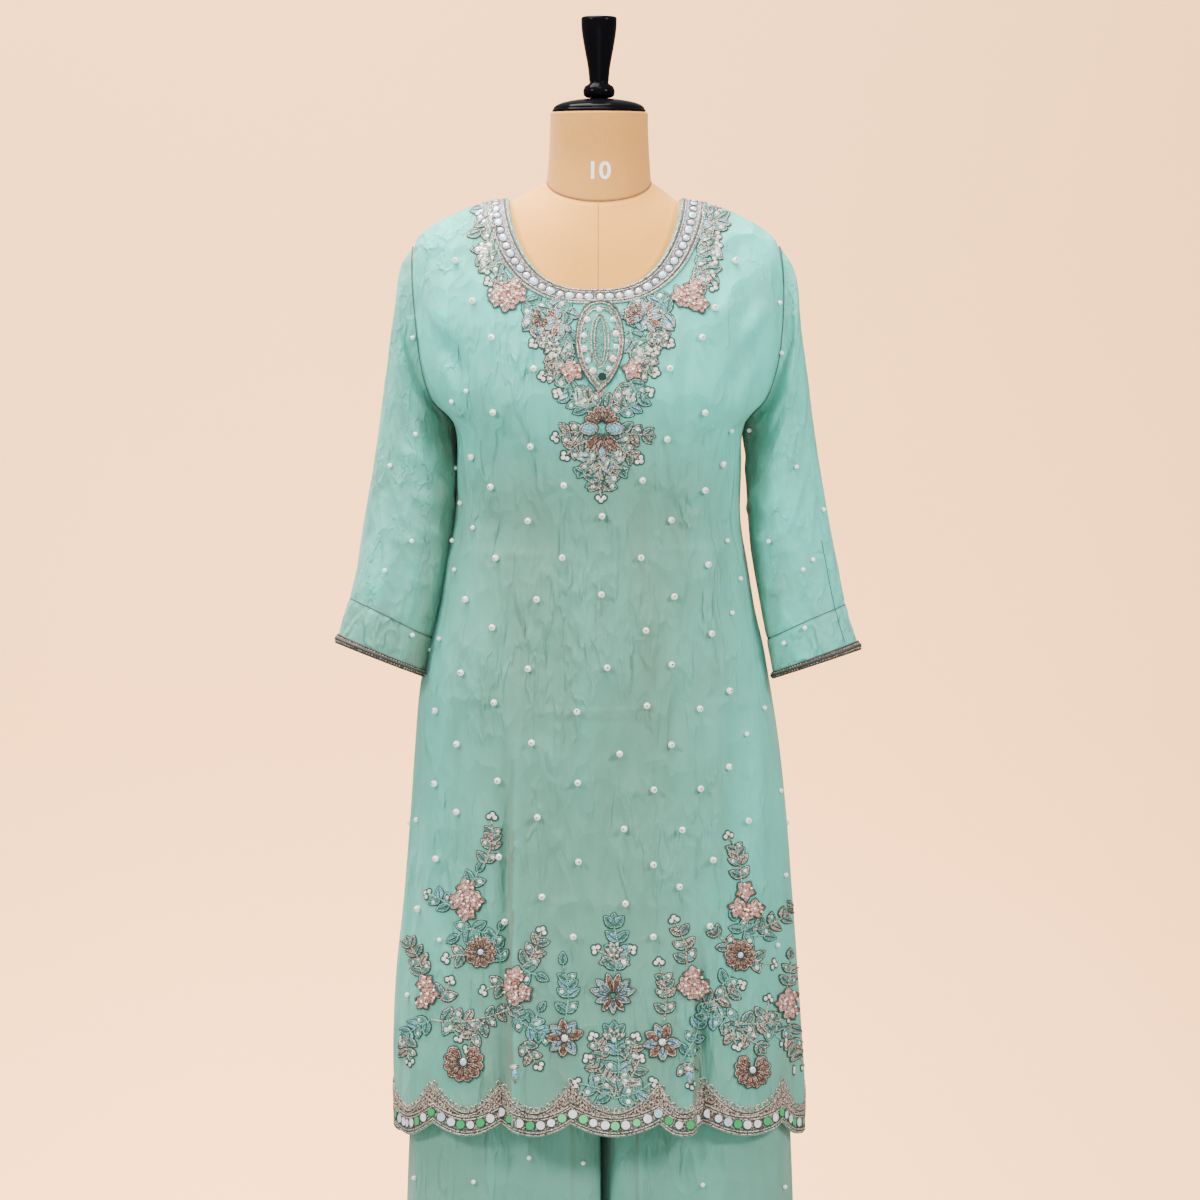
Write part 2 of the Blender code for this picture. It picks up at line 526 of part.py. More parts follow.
def bumps(facing, segments):
    """Give the raised places of a panel: a low mound for each flower, then a bead for each
    pearl, all clear of each other and of the panel's lines."""
    found = []
    if facing == FRONT:
        for motif in MOTIFS:
            across, level = spot(motif.x, motif.z)
            height = motif.half_height / stretch(across, level, facing)
            base = oval(across, level, motif.half_width, height, 10)
            found.append(Bump(base, motif.lift * 0.35, [(across, level)], motif.lift,
                              across, level, max(motif.half_width, height)))
    for across, level in pearl_spots(facing):
        height = PEARL_RADIUS / stretch(across, level, facing)
        base = oval(across, level, PEARL_RADIUS, height, 4, math.pi / 4)
        crown = oval(across, level, PEARL_RADIUS * 0.62, height * 0.62, 4)
        found.append(Bump(base, 0.0, crown, PEARL_LIFT, across, level, PEARL_RADIUS))
    kept = []
    for bump in found:
        clear = all(min(distance_to(point, ends) for point in bump.ring) > 0.003
                    for ends in segments)
        apart = all(math.dist(p, q) > 0.004 for k in kept for p in bump.ring
                    for q in k.ring + k.crown)
        if clear and apart:
            kept.append(bump)
    return kept


def cut_panel(facing):
    """Cut one kameez panel: its flat points, the triangles of its outside and of its plain
    inside, and the height of each point."""
    neck = BINDING + SEAM_GAP
    neck_reach = panel_edge(neck, facing)
    reach = panel_edge(HEM_LEVEL, facing)
    sides = {}
    for side in (-1, 1):
        sides[side] = [(side * panel_edge(v, facing), v) for v in side_levels()[1:]]
        sides[side].append((side * reach, hem_level(side * reach, facing)))
    outline = [(share * neck_reach, neck) for share in neck_stations(facing)]
    outline += sides[1]
    outline += [(u, hem_level(u, facing)) for u in reversed(hem_stations(facing))]
    outline += reversed(sides[-1])

    trim = BINDING + NECK_TRIM
    trim_reach = panel_edge(trim, facing)
    trim_line = [(share * trim_reach, trim) for share in neck_stations(facing)]
    lace_levels = {side: border_level(side * reach, facing) for side in (-1, 1)}
    lace = [(-panel_edge(lace_levels[-1], facing), lace_levels[-1])]
    lace += [(u, border_level(u, facing)) for u in hem_stations(facing)]
    lace += [(panel_edge(lace_levels[1], facing), lace_levels[1])]

    lines = [outline + outline[:1], trim_line, lace]
    segments = [ends for line in lines for ends in zip(line, line[1:])]
    found = bumps(facing, segments)
    free = [p for p in grid_points(facing)
            if min(distance_to(p, ends) for ends in segments) > 0.009
            and all(math.dist(p, (b.across, b.level)) > b.reach + 0.006 for b in found)]

    flat, lifts, edges = list(outline), [0.0] * len(outline), []
    for line in (trim_line, lace):
        edges += [(len(flat) + k, len(flat) + k + 1) for k in range(len(line) - 1)]
        flat += line
        lifts += [0.0] * len(line)
    flat += free
    lifts += [0.0] * len(free)
    rings, crowns = [], set()
    for bump in found:
        start, count = len(flat), len(bump.ring)
        edges += [(start + k, start + (k + 1) % count) for k in range(count)]
        flat += bump.ring + bump.crown
        lifts += [bump.ring_lift] * count + [bump.crown_lift] * len(bump.crown)
        if len(bump.crown) > 1:
            rings.append(tuple(range(start, start + count)))
            crowns.update(range(start + count, len(flat)))
    result = geometry.delaunay_2d_cdt([Vector(p) for p in flat], edges,
                                      [list(range(len(outline)))], 1, 1e-6)
    points, _, triangles, sources, _, _ = result
    at = {old: new for new, olds in enumerate(sources) for old in olds}
    heights = [max((lifts[old] for old in olds), default=0.0) for olds in sources]
    high = {at[k] for k in crowns}
    plain = [tuple(face) for face in triangles if not high & set(face)]
    plain += [(at[ring[0]], at[ring[k]], at[ring[k + 1]])
              for ring in rings for k in range(1, len(ring) - 1)]
    cut = [tuple(face) for face in triangles]
    if facing == FRONT:
        cut = [tuple(reversed(face)) for face in cut]
        plain = [tuple(reversed(face)) for face in plain]
    return [tuple(p) for p in points], cut, plain, heights


def grid_points(facing):
    """Give the free points of a panel: even rows, closer together where the folds step."""
    folds = FRONT_FOLDS if facing == FRONT else BACK_FOLDS
    points = []
    top, bottom = BINDING + NECK_TRIM + 0.012, HEM_LEVEL - BORDER - 0.012
    for level in [top + 0.016] + steps_between(top, bottom, GRID_DOWN):
        edge = panel_edge(level, facing)
        columns = steps_between(-edge, edge, GRID_ACROSS)[1:-1]
        if level < KAMEEZ_LEVELS[SHOULDER_TIP]:
            columns += [-edge + SHOULDER_STEP, edge - SHOULDER_STEP]
        z = hang(0.0, level, facing).z
        for fold in folds:
            if fold.kind == "step" and z < fold.z_top - 0.04:
                down = (fold.z_top - z) / (fold.z_top - HEM_LEVEL_Z)
                centre = fold.u_top + (fold.u_hem - fold.u_top) * down
                columns = [u for u in columns if abs(u - centre) > 0.014]
                columns += [centre - fold.width * 0.6, centre + fold.width * 0.6]
        points += [(u, level) for u in columns]
    return points


# ---------------------------------------------------------------- meshes
def vertex_normals(points, faces):
    """Give each point's normal: the mean of its faces' normals, by area."""
    normals = [Vector((0.0, 0.0, 0.0)) for _ in points]
    for face in faces:
        a, b, c = (points[i] for i in face[:3])
        normal = (b - a).cross(c - a)
        if len(face) == 4:
            d = points[face[3]]
            normal += (c - a).cross(d - a)
        for i in face:
            normals[i] += normal
    return [n.normalized() for n in normals]


def material(name):
    """Give one of the part's materials, made at its first use."""
    found = bpy.data.materials.get(name)
    if found:
        return found
    colour, roughness, metallic = MATERIALS[name]
    made = bpy.data.materials.new(name)
    made.use_nodes = True
    shader = made.node_tree.nodes["Principled BSDF"]
    shader.inputs["Base Color"].default_value = colour
    shader.inputs["Roughness"].default_value = roughness
    shader.inputs["Metallic"].default_value = metallic
    return made


def add_object(name, points, faces, material_name):
    """Make one named object from points and faces."""
    mesh = bpy.data.meshes.new(name)
    mesh.from_pydata([tuple(p) for p in points], [], faces)
    mesh.validate()
    mesh.shade_smooth()
    mesh.materials.append(material(material_name))
    made = bpy.data.objects.new(name, mesh)
    bpy.context.collection.objects.link(made)
    return made


def in_triangles(faces):
    """Split quads along one fixed diagonal, so that both sides of a wall bend alike."""
    split = []
    for face in faces:
        split.append(face[:3])
        if len(face) == 4:
            split.append((face[0], face[2], face[3]))
    return split


def add_wall(name, inner, outer, faces, material_name, inside=None):
    """Make a closed wall from two sheets of points. They share their faces, unless the inside
    has plainer ones with the same boundary."""
    faces = in_triangles(faces)
    inside = faces if inside is None else inside
    numbers = {}
    points = []
    for sheet, sheet_faces, label in ((outer, faces, "out"), (inner, inside, "in")):
        for i in sorted({i for face in sheet_faces for i in face}):
            numbers[(label, i)] = len(points)
            points.append(sheet[i])
    front = [tuple(numbers[("out", i)] for i in face) for face in faces]
    behind = [tuple(numbers[("in", i)] for i in reversed(face)) for face in inside]
    directed = {(face[k], face[(k + 1) % 3]) for face in faces for k in range(3)}
    rim = []
    for a, b in sorted(directed):
        if (b, a) not in directed:
            rim.append((numbers[("out", b)], numbers[("out", a)], numbers[("in", a)]))
            rim.append((numbers[("out", b)], numbers[("in", a)], numbers[("in", b)]))
    return add_object(name, points, front + behind + rim, material_name)


def grid_faces(rows, columns, closed):
    """Give the quads of a grid whose columns run round, open or closed."""
    faces = []
    for i in range(rows - 1):
        for j in range(columns if closed else columns - 1):
            k = (j + 1) % columns
            faces.append((i * columns + j, i * columns + k, (i + 1) * columns + k,
                          (i + 1) * columns + j))
    return faces


def moved_out(points, normals, distances):
    """Move each point along its normal."""
    return [p + n * d for p, n, d in zip(points, normals, distances)]


# ---------------------------------------------------------------- the kameez
def build_panel(facing, name):
    """Build one kameez panel with the trims that lie on it; give its points and normals."""
    flat, triangles, inside, lifts = cut_panel(facing)
    inner = [hang(u, v, facing) for u, v in flat]
    normals = vertex_normals(inner, triangles)
    outer = moved_out(inner, normals, [CLOTH + lift for lift in lifts])
    add_wall(f"kameez_{name}", inner, outer, triangles, "georgette", inside)

    def centre(face):
        return (sum(flat[i][0] for i in face) / 3, sum(flat[i][1] for i in face) / 3)

    under = moved_out(inner, normals, [CLOTH + SEAM_GAP] * len(inner))
    over = moved_out(inner, normals, [CLOTH + SEAM_GAP + TRIM_WALL] * len(inner))
    border = [f for f in triangles
              if centre(f)[1] > border_level(centre(f)[0], facing) - 0.001]
    add_wall(f"hem_border_{name}", under, over, border, "lace")
    if facing == FRONT:
        band = [f for f in triangles if centre(f)[1] < BINDING + NECK_TRIM]
        add_wall("neck_trim", under, over, band, "lace")
    return flat, inner, normals


def neck_stations(facing):
    """Give the even stations along a panel's neckline, as shares of its half width."""
    reach = panel_edge(BINDING + SEAM_GAP, facing)
    return [u / reach for u in steps_between(-reach, reach, NECK_STEP)]


def build_neck_binding():
    """Build the narrow binding that edges the whole neckline, on the panels' own stations."""
    inner = []
    levels = (0.0, BINDING * 0.5, BINDING)
    for level in levels:
        front = [hang(share * half_girth(level, FRONT), level, FRONT)
                 for share in neck_stations(FRONT)]
        back = [hang(share * half_girth(level, BACK), level, BACK)
                for share in neck_stations(BACK)]
        inner += front + list(reversed(back[1:-1]))
    faces = grid_faces(len(levels), len(inner) // len(levels), True)
    faces, normals = outward_faces(inner, faces, len(neck_stations(FRONT)) // 2, (0.0, FRONT, 0.0))
    outer = moved_out(inner, normals, [BINDING_WALL] * len(inner))
    add_wall("neck_binding", inner, outer, faces, "georgette")


def armhole_loop(side, panels):
    """Give the armhole's edge points, down the front and back up the back, each with the
    panel's normal there."""
    levels = armhole_levels()
    places = [(v, FRONT) for v in levels] + [(v, BACK) for v in reversed(levels[1:-1])]
    loop = []
    for level, facing in places:
        edge = (side * panel_edge(level, facing), level)
        flat, inner, normals = panels[facing]
        nearest = min(range(len(flat)), key=lambda i: math.dist(flat[i], edge))
        loop.append((inner[nearest], normals[nearest]))
    return loop


def sleeve_row(row, count):
    """Give one sleeve ring: from its outer end round the front to its inner end and back."""
    outer = Vector((row.outer_x, 0.0, row.outer_z))
    inner = Vector((row.inner_x, 0.0, row.inner_z))
    centre = (outer + inner) / 2 + Vector((0.0, row.y, 0.0))
    reach = (outer - inner) / 2
    reach = reach.normalized() * (reach.length - CLOTH)
    away = Vector((reach.z, 0.0, -reach.x)).normalized()
    if away.x * row.outer_x < 0:
        away = -away
    points = []
    for k in range(count):
        turn = 2 * math.pi * k / count
        bend = abs(math.sin(turn))
        points.append(centre + reach * math.cos(turn) + away * row.bow * bend
                      + Vector((0.0, -(row.depth - CLOTH) * math.sin(turn), 0.0)))
    return points


def outward_faces(points, faces, index, direction):
    """Turn the faces so that a point's normal follows a direction; give faces and normals."""
    normals = vertex_normals(points, faces)
    if normals[index].dot(Vector(direction)) < 0:
        faces = [tuple(reversed(face)) for face in faces]
        normals = [-n for n in normals]
    return faces, normals


def build_sleeve(rows, side, name, panels):
    """Build one sleeve and the bead trim round its cuff. The sleeve's first ring laps over the
    armhole's edge, higher where its wall turns back towards the panel."""
    loop = armhole_loop(side, panels)
    count = len(loop)
    rings = [point for row in rows for point in sleeve_row(row, count)]
    lap = CLOTH + 1.5 * SEAM_GAP
    points = [point + normal * lap for point, normal in loop] + rings
    faces = in_triangles(grid_faces(len(rows) + 1, count, True))
    faces, normals = outward_faces(points, faces, count * 4, (side, 0.0, 0.0))
    lifted = []
    for (point, normal), own in zip(loop, normals):
        lifted.append(point + normal * (lap + CLOTH * max(0.0, 0.15 - own.dot(normal))))
    points = lifted + rings
    normals = vertex_normals(points, faces)
    outer = moved_out(points, normals, [CLOTH] * len(points))
    add_wall(f"sleeve_{name}", points, outer, faces, "georgette")

    last = points[-count:]
    before = points[-2 * count:-count]
    lift = CLOTH + SEAM_GAP
    strip = []
    for share in (1.0, 0.5, 0.0):
        for k in range(count):
            back = (before[k] - last[k]).normalized() * CUFF_TRIM * share
            strip.append(last[k] + back + normals[-count + k] * lift)
    strip_faces, _ = outward_faces(strip, in_triangles(grid_faces(3, count, True)), 0,
                                   (side, 0.0, 0.0))
    strip_out = moved_out(strip, list(normals[-count:]) * 3, [TRIM_WALL] * len(strip))
    add_wall(f"cuff_trim_{name}", strip, strip_out, strip_faces, "lace")


# ---------------------------------------------------------------- the trousers
def leg_point(row, facing, side, share):
    """Give a leg's point: a rounded outer half, then a flat face that turns to the inner side."""
    sign = 1 if side == "left" else -1
    depth = row.front if facing == FRONT else row.back
    inside = LEG_INSIDES[side]
    edge = inside.front if facing == FRONT else inside.back
    centre = (sign * row.outer + edge) / 2
    if share <= 0.5:
        turn = share * math.pi
        away = (sign * row.outer - centre) * math.cos(turn) ** 0.88
        return Vector((centre + away, facing * depth * math.sin(turn) ** 0.80, 0.0))
    if share <= LEG_SHARES[0]:
        part = (share - 0.5) / (LEG_SHARES[0] - 0.5)
        return Vector((centre + (edge + sign * LEG_CORNER - centre) * part, facing * depth, 0.0))
    if share <= LEG_SHARES[1]:
        turn = (share - LEG_SHARES[0]) / (LEG_SHARES[1] - LEG_SHARES[0]) * math.pi / 2
        return Vector((edge + sign * LEG_CORNER * (1 - math.sin(turn)),
                       facing * (depth - LEG_CORNER * (1 - math.cos(turn))), 0.0))
    part = (share - LEG_SHARES[1]) / (1 - LEG_SHARES[1])
    middle = (inside.front + inside.back) / 2
    return Vector((edge + (middle - edge) * part, facing * (depth - LEG_CORNER) * (1 - part), 0.0))


def trouser_point(row, facing, side, share):
    """Give a trouser panel's point, from its outer seam (0) to its centre or inner seam (1)."""
    sign = 1 if side == "left" else -1
    depth = row.front if facing == FRONT else row.back
    quarter = share * math.pi / 2
    shared = Vector((sign * (row.outer - (row.outer - SEAM_GAP / 2) * (1 - math.cos(quarter) ** 0.9)),
                     facing * depth * math.sin(quarter) ** 0.86, 0.0))
    tube = leg_point(row, facing, side, share)
    across = min(1.0, row.parted * 1.35)
    y = shared.y + (tube.y - shared.y) * row.parted
    if share in (0.0, 1.0):
        y += facing * SEAM_GAP / 2
    return Vector((shared.x + (tube.x - shared.x) * across, y, row.z))


def build_trousers():
    """Build the four trouser panels, each a wall moved in from its rings."""
    for side in ("left", "right"):
        for facing, face_name in ((FRONT, "front"), (BACK, "back")):
            points = [trouser_point(row, facing, side, share)
                      for row in TROUSER_ROWS for share in TROUSER_SHARES]
            faces = grid_faces(len(TROUSER_ROWS), len(TROUSER_SHARES), False)
            faces, normals = outward_faces(points, faces, 4, (0.0, facing, 0.0))
            outer = moved_out(points, normals, [CLOTH] * len(points))
            add_wall(f"trouser_{face_name}_{side}", points, outer, faces, "georgette")


def build_waistband():
    """Build the waistband that sits on the form's waist."""
    columns = FORM_COLUMNS
    ring = FORM_RINGS[FORM_WAIST]
    points = []
    for z in (WAIST_TOP_Z, WAIST_TOP_Z - WAIST_BAND):
        for k in range(columns):
            point = form_point(ring, k, columns, SEAM_GAP)
            points.append(Vector((point.x, point.y, z)))
    faces = grid_faces(2, columns, True)
    faces, normals = outward_faces(points, faces, 0, (0.0, FRONT, 0.0))
    outer = moved_out(points, normals, [CLOTH] * len(points))
    add_wall("waistband", points, outer, faces, "georgette")


# ---------------------------------------------------------------- the form and its stand
def form_point(ring, k, columns, grow):
    """Give a form ring's point; the first lies at the centre front."""
    turn = 2 * math.pi * k / columns
    facing = FRONT if math.cos(turn) >= 0 else BACK
    across = math.copysign(abs(math.sin(turn)) ** ring.side, math.sin(turn))
    fore = abs(math.cos(turn))
    depth = ring.front if facing == FRONT else ring.back
    centre_z = ring.z_front if facing == FRONT else ring.z_back
    return Vector((ring.shift + (ring.half + grow) * across,
                   facing * (depth + grow) * fore ** ring.face,
                   ring.z_side - (ring.z_side - centre_z) * fore ** ring.drop))


def solid_of_rings(name, rings, material_name):
    """Close a stack of rings, each a list of points, with a fan at either end."""
    columns = len(rings[0])
    points = [p for ring in rings for p in ring]
    faces = grid_faces(len(rings), columns, True)
    for ring, start, flip in ((rings[0], 0, True), (rings[-1], (len(rings) - 1) * columns, False)):
        centre = len(points)
        points.append(sum(ring, Vector((0.0, 0.0, 0.0))) / columns)
        for k in range(columns):
            fan = (start + k, start + (k + 1) % columns, centre)
            faces.append(tuple(reversed(fan)) if flip else fan)
    made = add_object(name, points, faces, material_name)
    work = bmesh.new()
    work.from_mesh(made.data)
    bmesh.ops.recalc_face_normals(work, faces=work.faces)
    work.to_mesh(made.data)
    work.free()
    return made


def build_form():
    """Build the form's torso and its neck, whose seam dips to the front."""
    rings = [[form_point(ring, k, FORM_COLUMNS, 0.0) for k in range(FORM_COLUMNS)]
             for ring in FORM_RINGS]
    solid_of_rings("form_torso", rings, "linen")
    seam = [p + Vector((0.0, 0.0, SEAM_GAP)) for p in rings[0]]
    centre = Vector((FORM_RINGS[0].shift, NECK_CENTRE_Y, 0.0))
    neck = [seam]
    for share, half, depth in NECK_ROWS:
        ring = []
        for k in range(FORM_COLUMNS):
            turn = 2 * math.pi * k / FORM_COLUMNS
            z = seam[k].z + (NECK_TOP_Z - seam[k].z) * share
            ring.append(centre + Vector((half * math.sin(turn), -depth * math.cos(turn), z)))
        neck.append(ring)
    solid_of_rings("form_neck", neck, "linen")


def turned(name, profile, centre, material_name, sides=18, depth_share=1.0):
    """Build a turned piece from its profile of radius and height."""
    rings = []
    for radius, z in profile:
        rings.append([Vector((centre[0] + radius * math.sin(2 * math.pi * k / sides),
                              centre[1] - radius * depth_share * math.cos(2 * math.pi * k / sides),
                              z)) for k in range(sides)])
    return solid_of_rings(name, rings, material_name)


def build_stand():
    """Build the cap, the finial, the pole and the base."""
    neck_centre = (FORM_RINGS[0].shift, NECK_CENTRE_Y)
    cap = [(CAP_RADIUS, NECK_TOP_Z + SEAM_GAP)]
    for angle in CAP_ANGLES:
        turn = math.radians(angle)
        cap.append((CAP_RADIUS * math.cos(turn),
                    NECK_TOP_Z + SEAM_GAP + (CAP_TOP_Z - NECK_TOP_Z) * math.sin(turn)))
    turned("neck_cap", cap, neck_centre, "black", FORM_COLUMNS, CAP_DEPTH_SHARE)
    turned("finial", [(r, z + SEAM_GAP) for r, z in FINIAL_PROFILE], neck_centre, "black")
    hub_top = BASE_THICK + BASE_HUB
    turned("stand_base", ((BASE_RADIUS, 0.0), (BASE_RADIUS, BASE_THICK * 0.6),
                          (BASE_RADIUS - 0.006, BASE_THICK),
                          (HUB_RADIUS + 0.008, BASE_THICK + 0.002),
                          (HUB_RADIUS, hub_top)), (POLE_X, POLE_Y), "black", 32)
    turned("stand_pole", ((POLE_RADIUS, hub_top + SEAM_GAP), (POLE_RADIUS, TORSO_BOTTOM_Z - SEAM_GAP)),
           (POLE_X, POLE_Y), "steel", 12)


def build():
    """Build the whole suit on its form."""
    for old in list(bpy.data.objects):
        bpy.data.objects.remove(old, do_unlink=True)
    panels = {FRONT: build_panel(FRONT, "front"), BACK: build_panel(BACK, "back")}
    build_neck_binding()
    build_sleeve(LEFT_SLEEVE, 1, "left", panels)
    build_sleeve(RIGHT_SLEEVE, -1, "right", panels)
    build_trousers()
    build_waistband()
    build_form()
    build_stand()


build()
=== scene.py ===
"""Looks of the salwar kameez suit on its dress form.

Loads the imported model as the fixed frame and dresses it: cloth shells on the panels' own form,
corded embroidery, stones, mirrors and pearls, the linen form with its lacquered cap and finial,
the stand, a pale studio, soft light and the camera. Metres, +Z up, the suit faces -Y, and left
and right are the wearer's. The drafting tables repeat the pattern that the solids are cut from.
"""
from __future__ import annotations

import json
import logging
import math
from dataclasses import dataclass, field
from enum import Enum, IntEnum
from functools import lru_cache
from typing import Callable, Iterable, NamedTuple, Sequence

import bpy
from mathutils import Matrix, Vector, noise
from mathutils.bvhtree import BVHTree

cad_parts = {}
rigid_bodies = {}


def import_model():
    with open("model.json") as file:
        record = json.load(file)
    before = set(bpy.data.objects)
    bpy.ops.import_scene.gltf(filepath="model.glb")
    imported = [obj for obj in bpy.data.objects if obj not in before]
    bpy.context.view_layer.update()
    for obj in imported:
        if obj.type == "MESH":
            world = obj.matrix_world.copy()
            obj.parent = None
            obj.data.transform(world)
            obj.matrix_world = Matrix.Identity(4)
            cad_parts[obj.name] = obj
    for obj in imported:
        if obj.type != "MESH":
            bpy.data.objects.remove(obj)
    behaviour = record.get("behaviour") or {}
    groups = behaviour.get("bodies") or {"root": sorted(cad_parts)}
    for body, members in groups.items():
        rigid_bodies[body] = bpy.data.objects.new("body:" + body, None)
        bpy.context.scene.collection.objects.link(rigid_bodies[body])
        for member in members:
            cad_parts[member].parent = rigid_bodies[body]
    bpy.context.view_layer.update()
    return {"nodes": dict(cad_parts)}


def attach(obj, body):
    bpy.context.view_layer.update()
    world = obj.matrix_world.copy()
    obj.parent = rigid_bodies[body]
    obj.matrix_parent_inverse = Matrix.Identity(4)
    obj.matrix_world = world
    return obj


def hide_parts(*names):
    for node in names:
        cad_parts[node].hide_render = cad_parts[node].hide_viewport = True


LOG = logging.getLogger("suit")
Plan = tuple[float, float]
Spot = tuple[Vector, Vector]
Piece = bpy.types.Object
Socket = bpy.types.NodeSocket

CLOTH = 0.0014              # wall of the solids' cloth
SHELL = 0.0009              # thickness of the georgette shells
SEAM_GAP = 0.0004
EYE = Vector((0.0, -14.0, 0.976))


class Facing(IntEnum):
    """Which way a panel faces, as the sign of Y."""

    FRONT = -1
    BACK = 1


class Side(IntEnum):
    """The wearer's side, as the sign of X."""

    LEFT = 1
    RIGHT = -1


FRONT, BACK = Facing


# ---- drafting tables
class Lie(Enum):
    """How a fold lies: pressed to one side, or as a soft wave."""

    PRESSED = 1
    WAVE = 2


class Ring(NamedTuple):
    """One ring round the body: heights at the side and the centres, sizes and bending powers."""

    z_side: float
    z_front: float
    z_back: float
    half: float
    shift: float
    front: float
    back: float
    side: float
    face: float
    drop: float


class Fold(NamedTuple):
    """A vertical fold of the skirt, from its top to the hem."""

    lie: Lie
    u_top: float
    u_hem: float
    z_top: float
    height: float
    width: float


class SleeveRow(NamedTuple):
    """A sleeve ring by its outer and inner ends, half depth, centre in Y and bow."""

    outer_x: float
    outer_z: float
    inner_x: float
    inner_z: float
    depth: float
    y: float
    bow: float


class TrouserRow(NamedTuple):
    """A row of both legs: outer half width, depths, and how far the legs have parted."""

    z: float
    outer: float
    front: float
    back: float
    parted: float


class Step(NamedTuple):
    """The edge of a pressed layer: its line, the side that lies on top, its width, how far it stands out
    and how dark the painted shade beside it is.
    """

    x0: float
    z0: float
    x1: float
    z1: float
    side: int
    width: float
    height: float
    tone: float


class Crease(NamedTuple):
    """A soft ridge (height above 0) or trough along a line between two places."""

    x0: float
    z0: float
    x1: float
    z1: float
    width: float
    height: float


def table(kind: type, drawn: str, *rows: tuple) -> tuple:
    """Give a table's rows in metres.

    Args:
        kind: the type of a row.
        drawn: names of the columns that are drawn in millimetres.
        rows: the cells of each row.

    Returns:
        The rows.
    """
    return tuple(kind(*(round(cell / 1000, 6) if column in drawn.split() else cell for column, cell
        in zip(kind._fields, row))) for row in rows)


KAMEEZ_RINGS = table(Ring, "z_side z_front z_back half shift front back",
    (1456, 1346, 1440, 103.5, -6.5, 89, 48, 0.7, 0.62, 1.2),
    (1445.5, 1318, 1396, 151, -6.2, 102, 70, 0.74, 0.66, 1.2),
    (1421.5, 1288, 1352, 198.5, -5.8, 113, 88, 0.8, 0.7, 1.2),
    (1399, 1264, 1320, 218, -4.5, 119, 97, 0.83, 0.74, 1.2),
    (1345, 1238, 1284, 225, -1.5, 124, 102, 0.85, 0.8, 1.2),
    (1284, 1212, 1246, 222, -1, 127, 104, 0.85, 0.84, 1.2),
    (1226, 1186, 1208, 204, -1.5, 126, 102, 0.85, 0.86, 1.2),
    (1190, 1162, 1176, 174, -1, 123, 99, 0.85, 0.86, 1.2),
    (1130, 1120, 1125, 170, -1.6, 116, 93, 0.85, 0.85, 1.2),
    (1073, 1073, 1073, 170.4, -3, 109, 89, 0.85, 0.84, 1.2),
    (1020, 1020, 1020, 180, -4, 111, 96, 0.85, 0.84, 1.2),
    (970, 970, 970, 188.5, -4.6, 116, 108, 0.85, 0.84, 1.2),
    (920, 920, 920, 200.3, -6, 121, 117, 0.85, 0.84, 1.2),
    (863, 863, 863, 210.6, -5.4, 125, 123, 0.85, 0.83, 1.2),
    (800, 800, 800, 217.8, -3.4, 127, 126, 0.85, 0.82, 1.2),
    (711, 711, 711, 225.2, -1.8, 129, 127, 0.84, 0.77, 1.2),
    (620, 620, 620, 231.9, -2.1, 131, 128, 0.84, 0.75, 1.2),
    (540, 540, 540, 239, -3.6, 133, 129, 0.84, 0.75, 1.2),
    (460, 460, 460, 243.9, -3, 135, 130, 0.84, 0.75, 1.2),
    (397, 397, 397, 245.6, -1, 136, 130, 0.84, 0.75, 1.2),
    (337, 337, 337, 244.4, -0.8, 137, 130, 0.84, 0.75, 1.2))
FORM_RINGS = table(Ring, "z_side z_front z_back half shift front back",
    (1477.6, 1452.4, 1470, 62.4, -1.2, 56, 44, 1, 1, 1), (1466, 1402, 1458, 82, -4, 72, 45, 0.84, 0.8, 1.1),
    (1454, 1343, 1435, 102, -6.5, 85.5, 42, 0.78, 0.72, 1.15),
    (1443.4, 1310, 1384, 146, -6.2, 96, 55, 0.86, 0.84, 1.05),
    (1420, 1288, 1352, 173, -5.8, 104, 69, 0.9, 0.9, 1.05),
    (1386, 1264, 1320, 183, -4, 110, 84, 0.9, 0.86, 1.2),
    (1330, 1236, 1282, 184, -2, 118, 96, 0.85, 0.8, 1.2),
    (1250, 1202, 1230, 169, -1, 119, 96, 0.88, 0.84, 1.2),
    (1185, 1160, 1170, 157, -1, 114, 92, 0.9, 0.86, 1.2),
    (1120, 1115, 1115, 139, -1, 102, 86, 0.94, 0.9, 1.2),
    (1065, 1065, 1065, 125.5, 0, 93, 85, 0.96, 0.94, 1),
    (1035, 1035, 1035, 125.5, 0, 93, 85, 0.96, 0.94, 1), (960, 960, 960, 145, 0, 99, 96, 0.94, 0.9, 1),
    (890, 890, 890, 162, 0, 102, 106, 0.92, 0.88, 1), (840, 840, 840, 164, 0, 101, 107, 0.92, 0.88, 1),
    (800, 800, 800, 160, 0, 98, 103, 0.92, 0.88, 1))
RIGHT_SLEEVE = table(SleeveRow, "outer_x outer_z inner_x inner_z depth y bow",
    (-231, 1387, -176.8, 1178.8, 47, 2, 26), (-239.4, 1345.6, -176.8, 1159.6, 51, 1, 22),
    (-247.2, 1304.8, -176.2, 1134.4, 53, 0, 15), (-255, 1252, -176.4, 1104.4, 53.5, -2, 9),
    (-264, 1186, -180, 1062.4, 52, -6, 4), (-272.4, 1129.6, -186.2, 1024, 51, -10, 1),
    (-282.6, 1066, -194, 988, 50, -16, 0), (-291.6, 1016.8, -200.8, 958, 49, -21, 0),
    (-300, 977.2, -207, 931.6, 47, -26, 0), (-307.8, 949.6, -212.2, 906.4, 45.5, -30, 0),
    (-315, 924.4, -217, 886, 44, -33, 0))
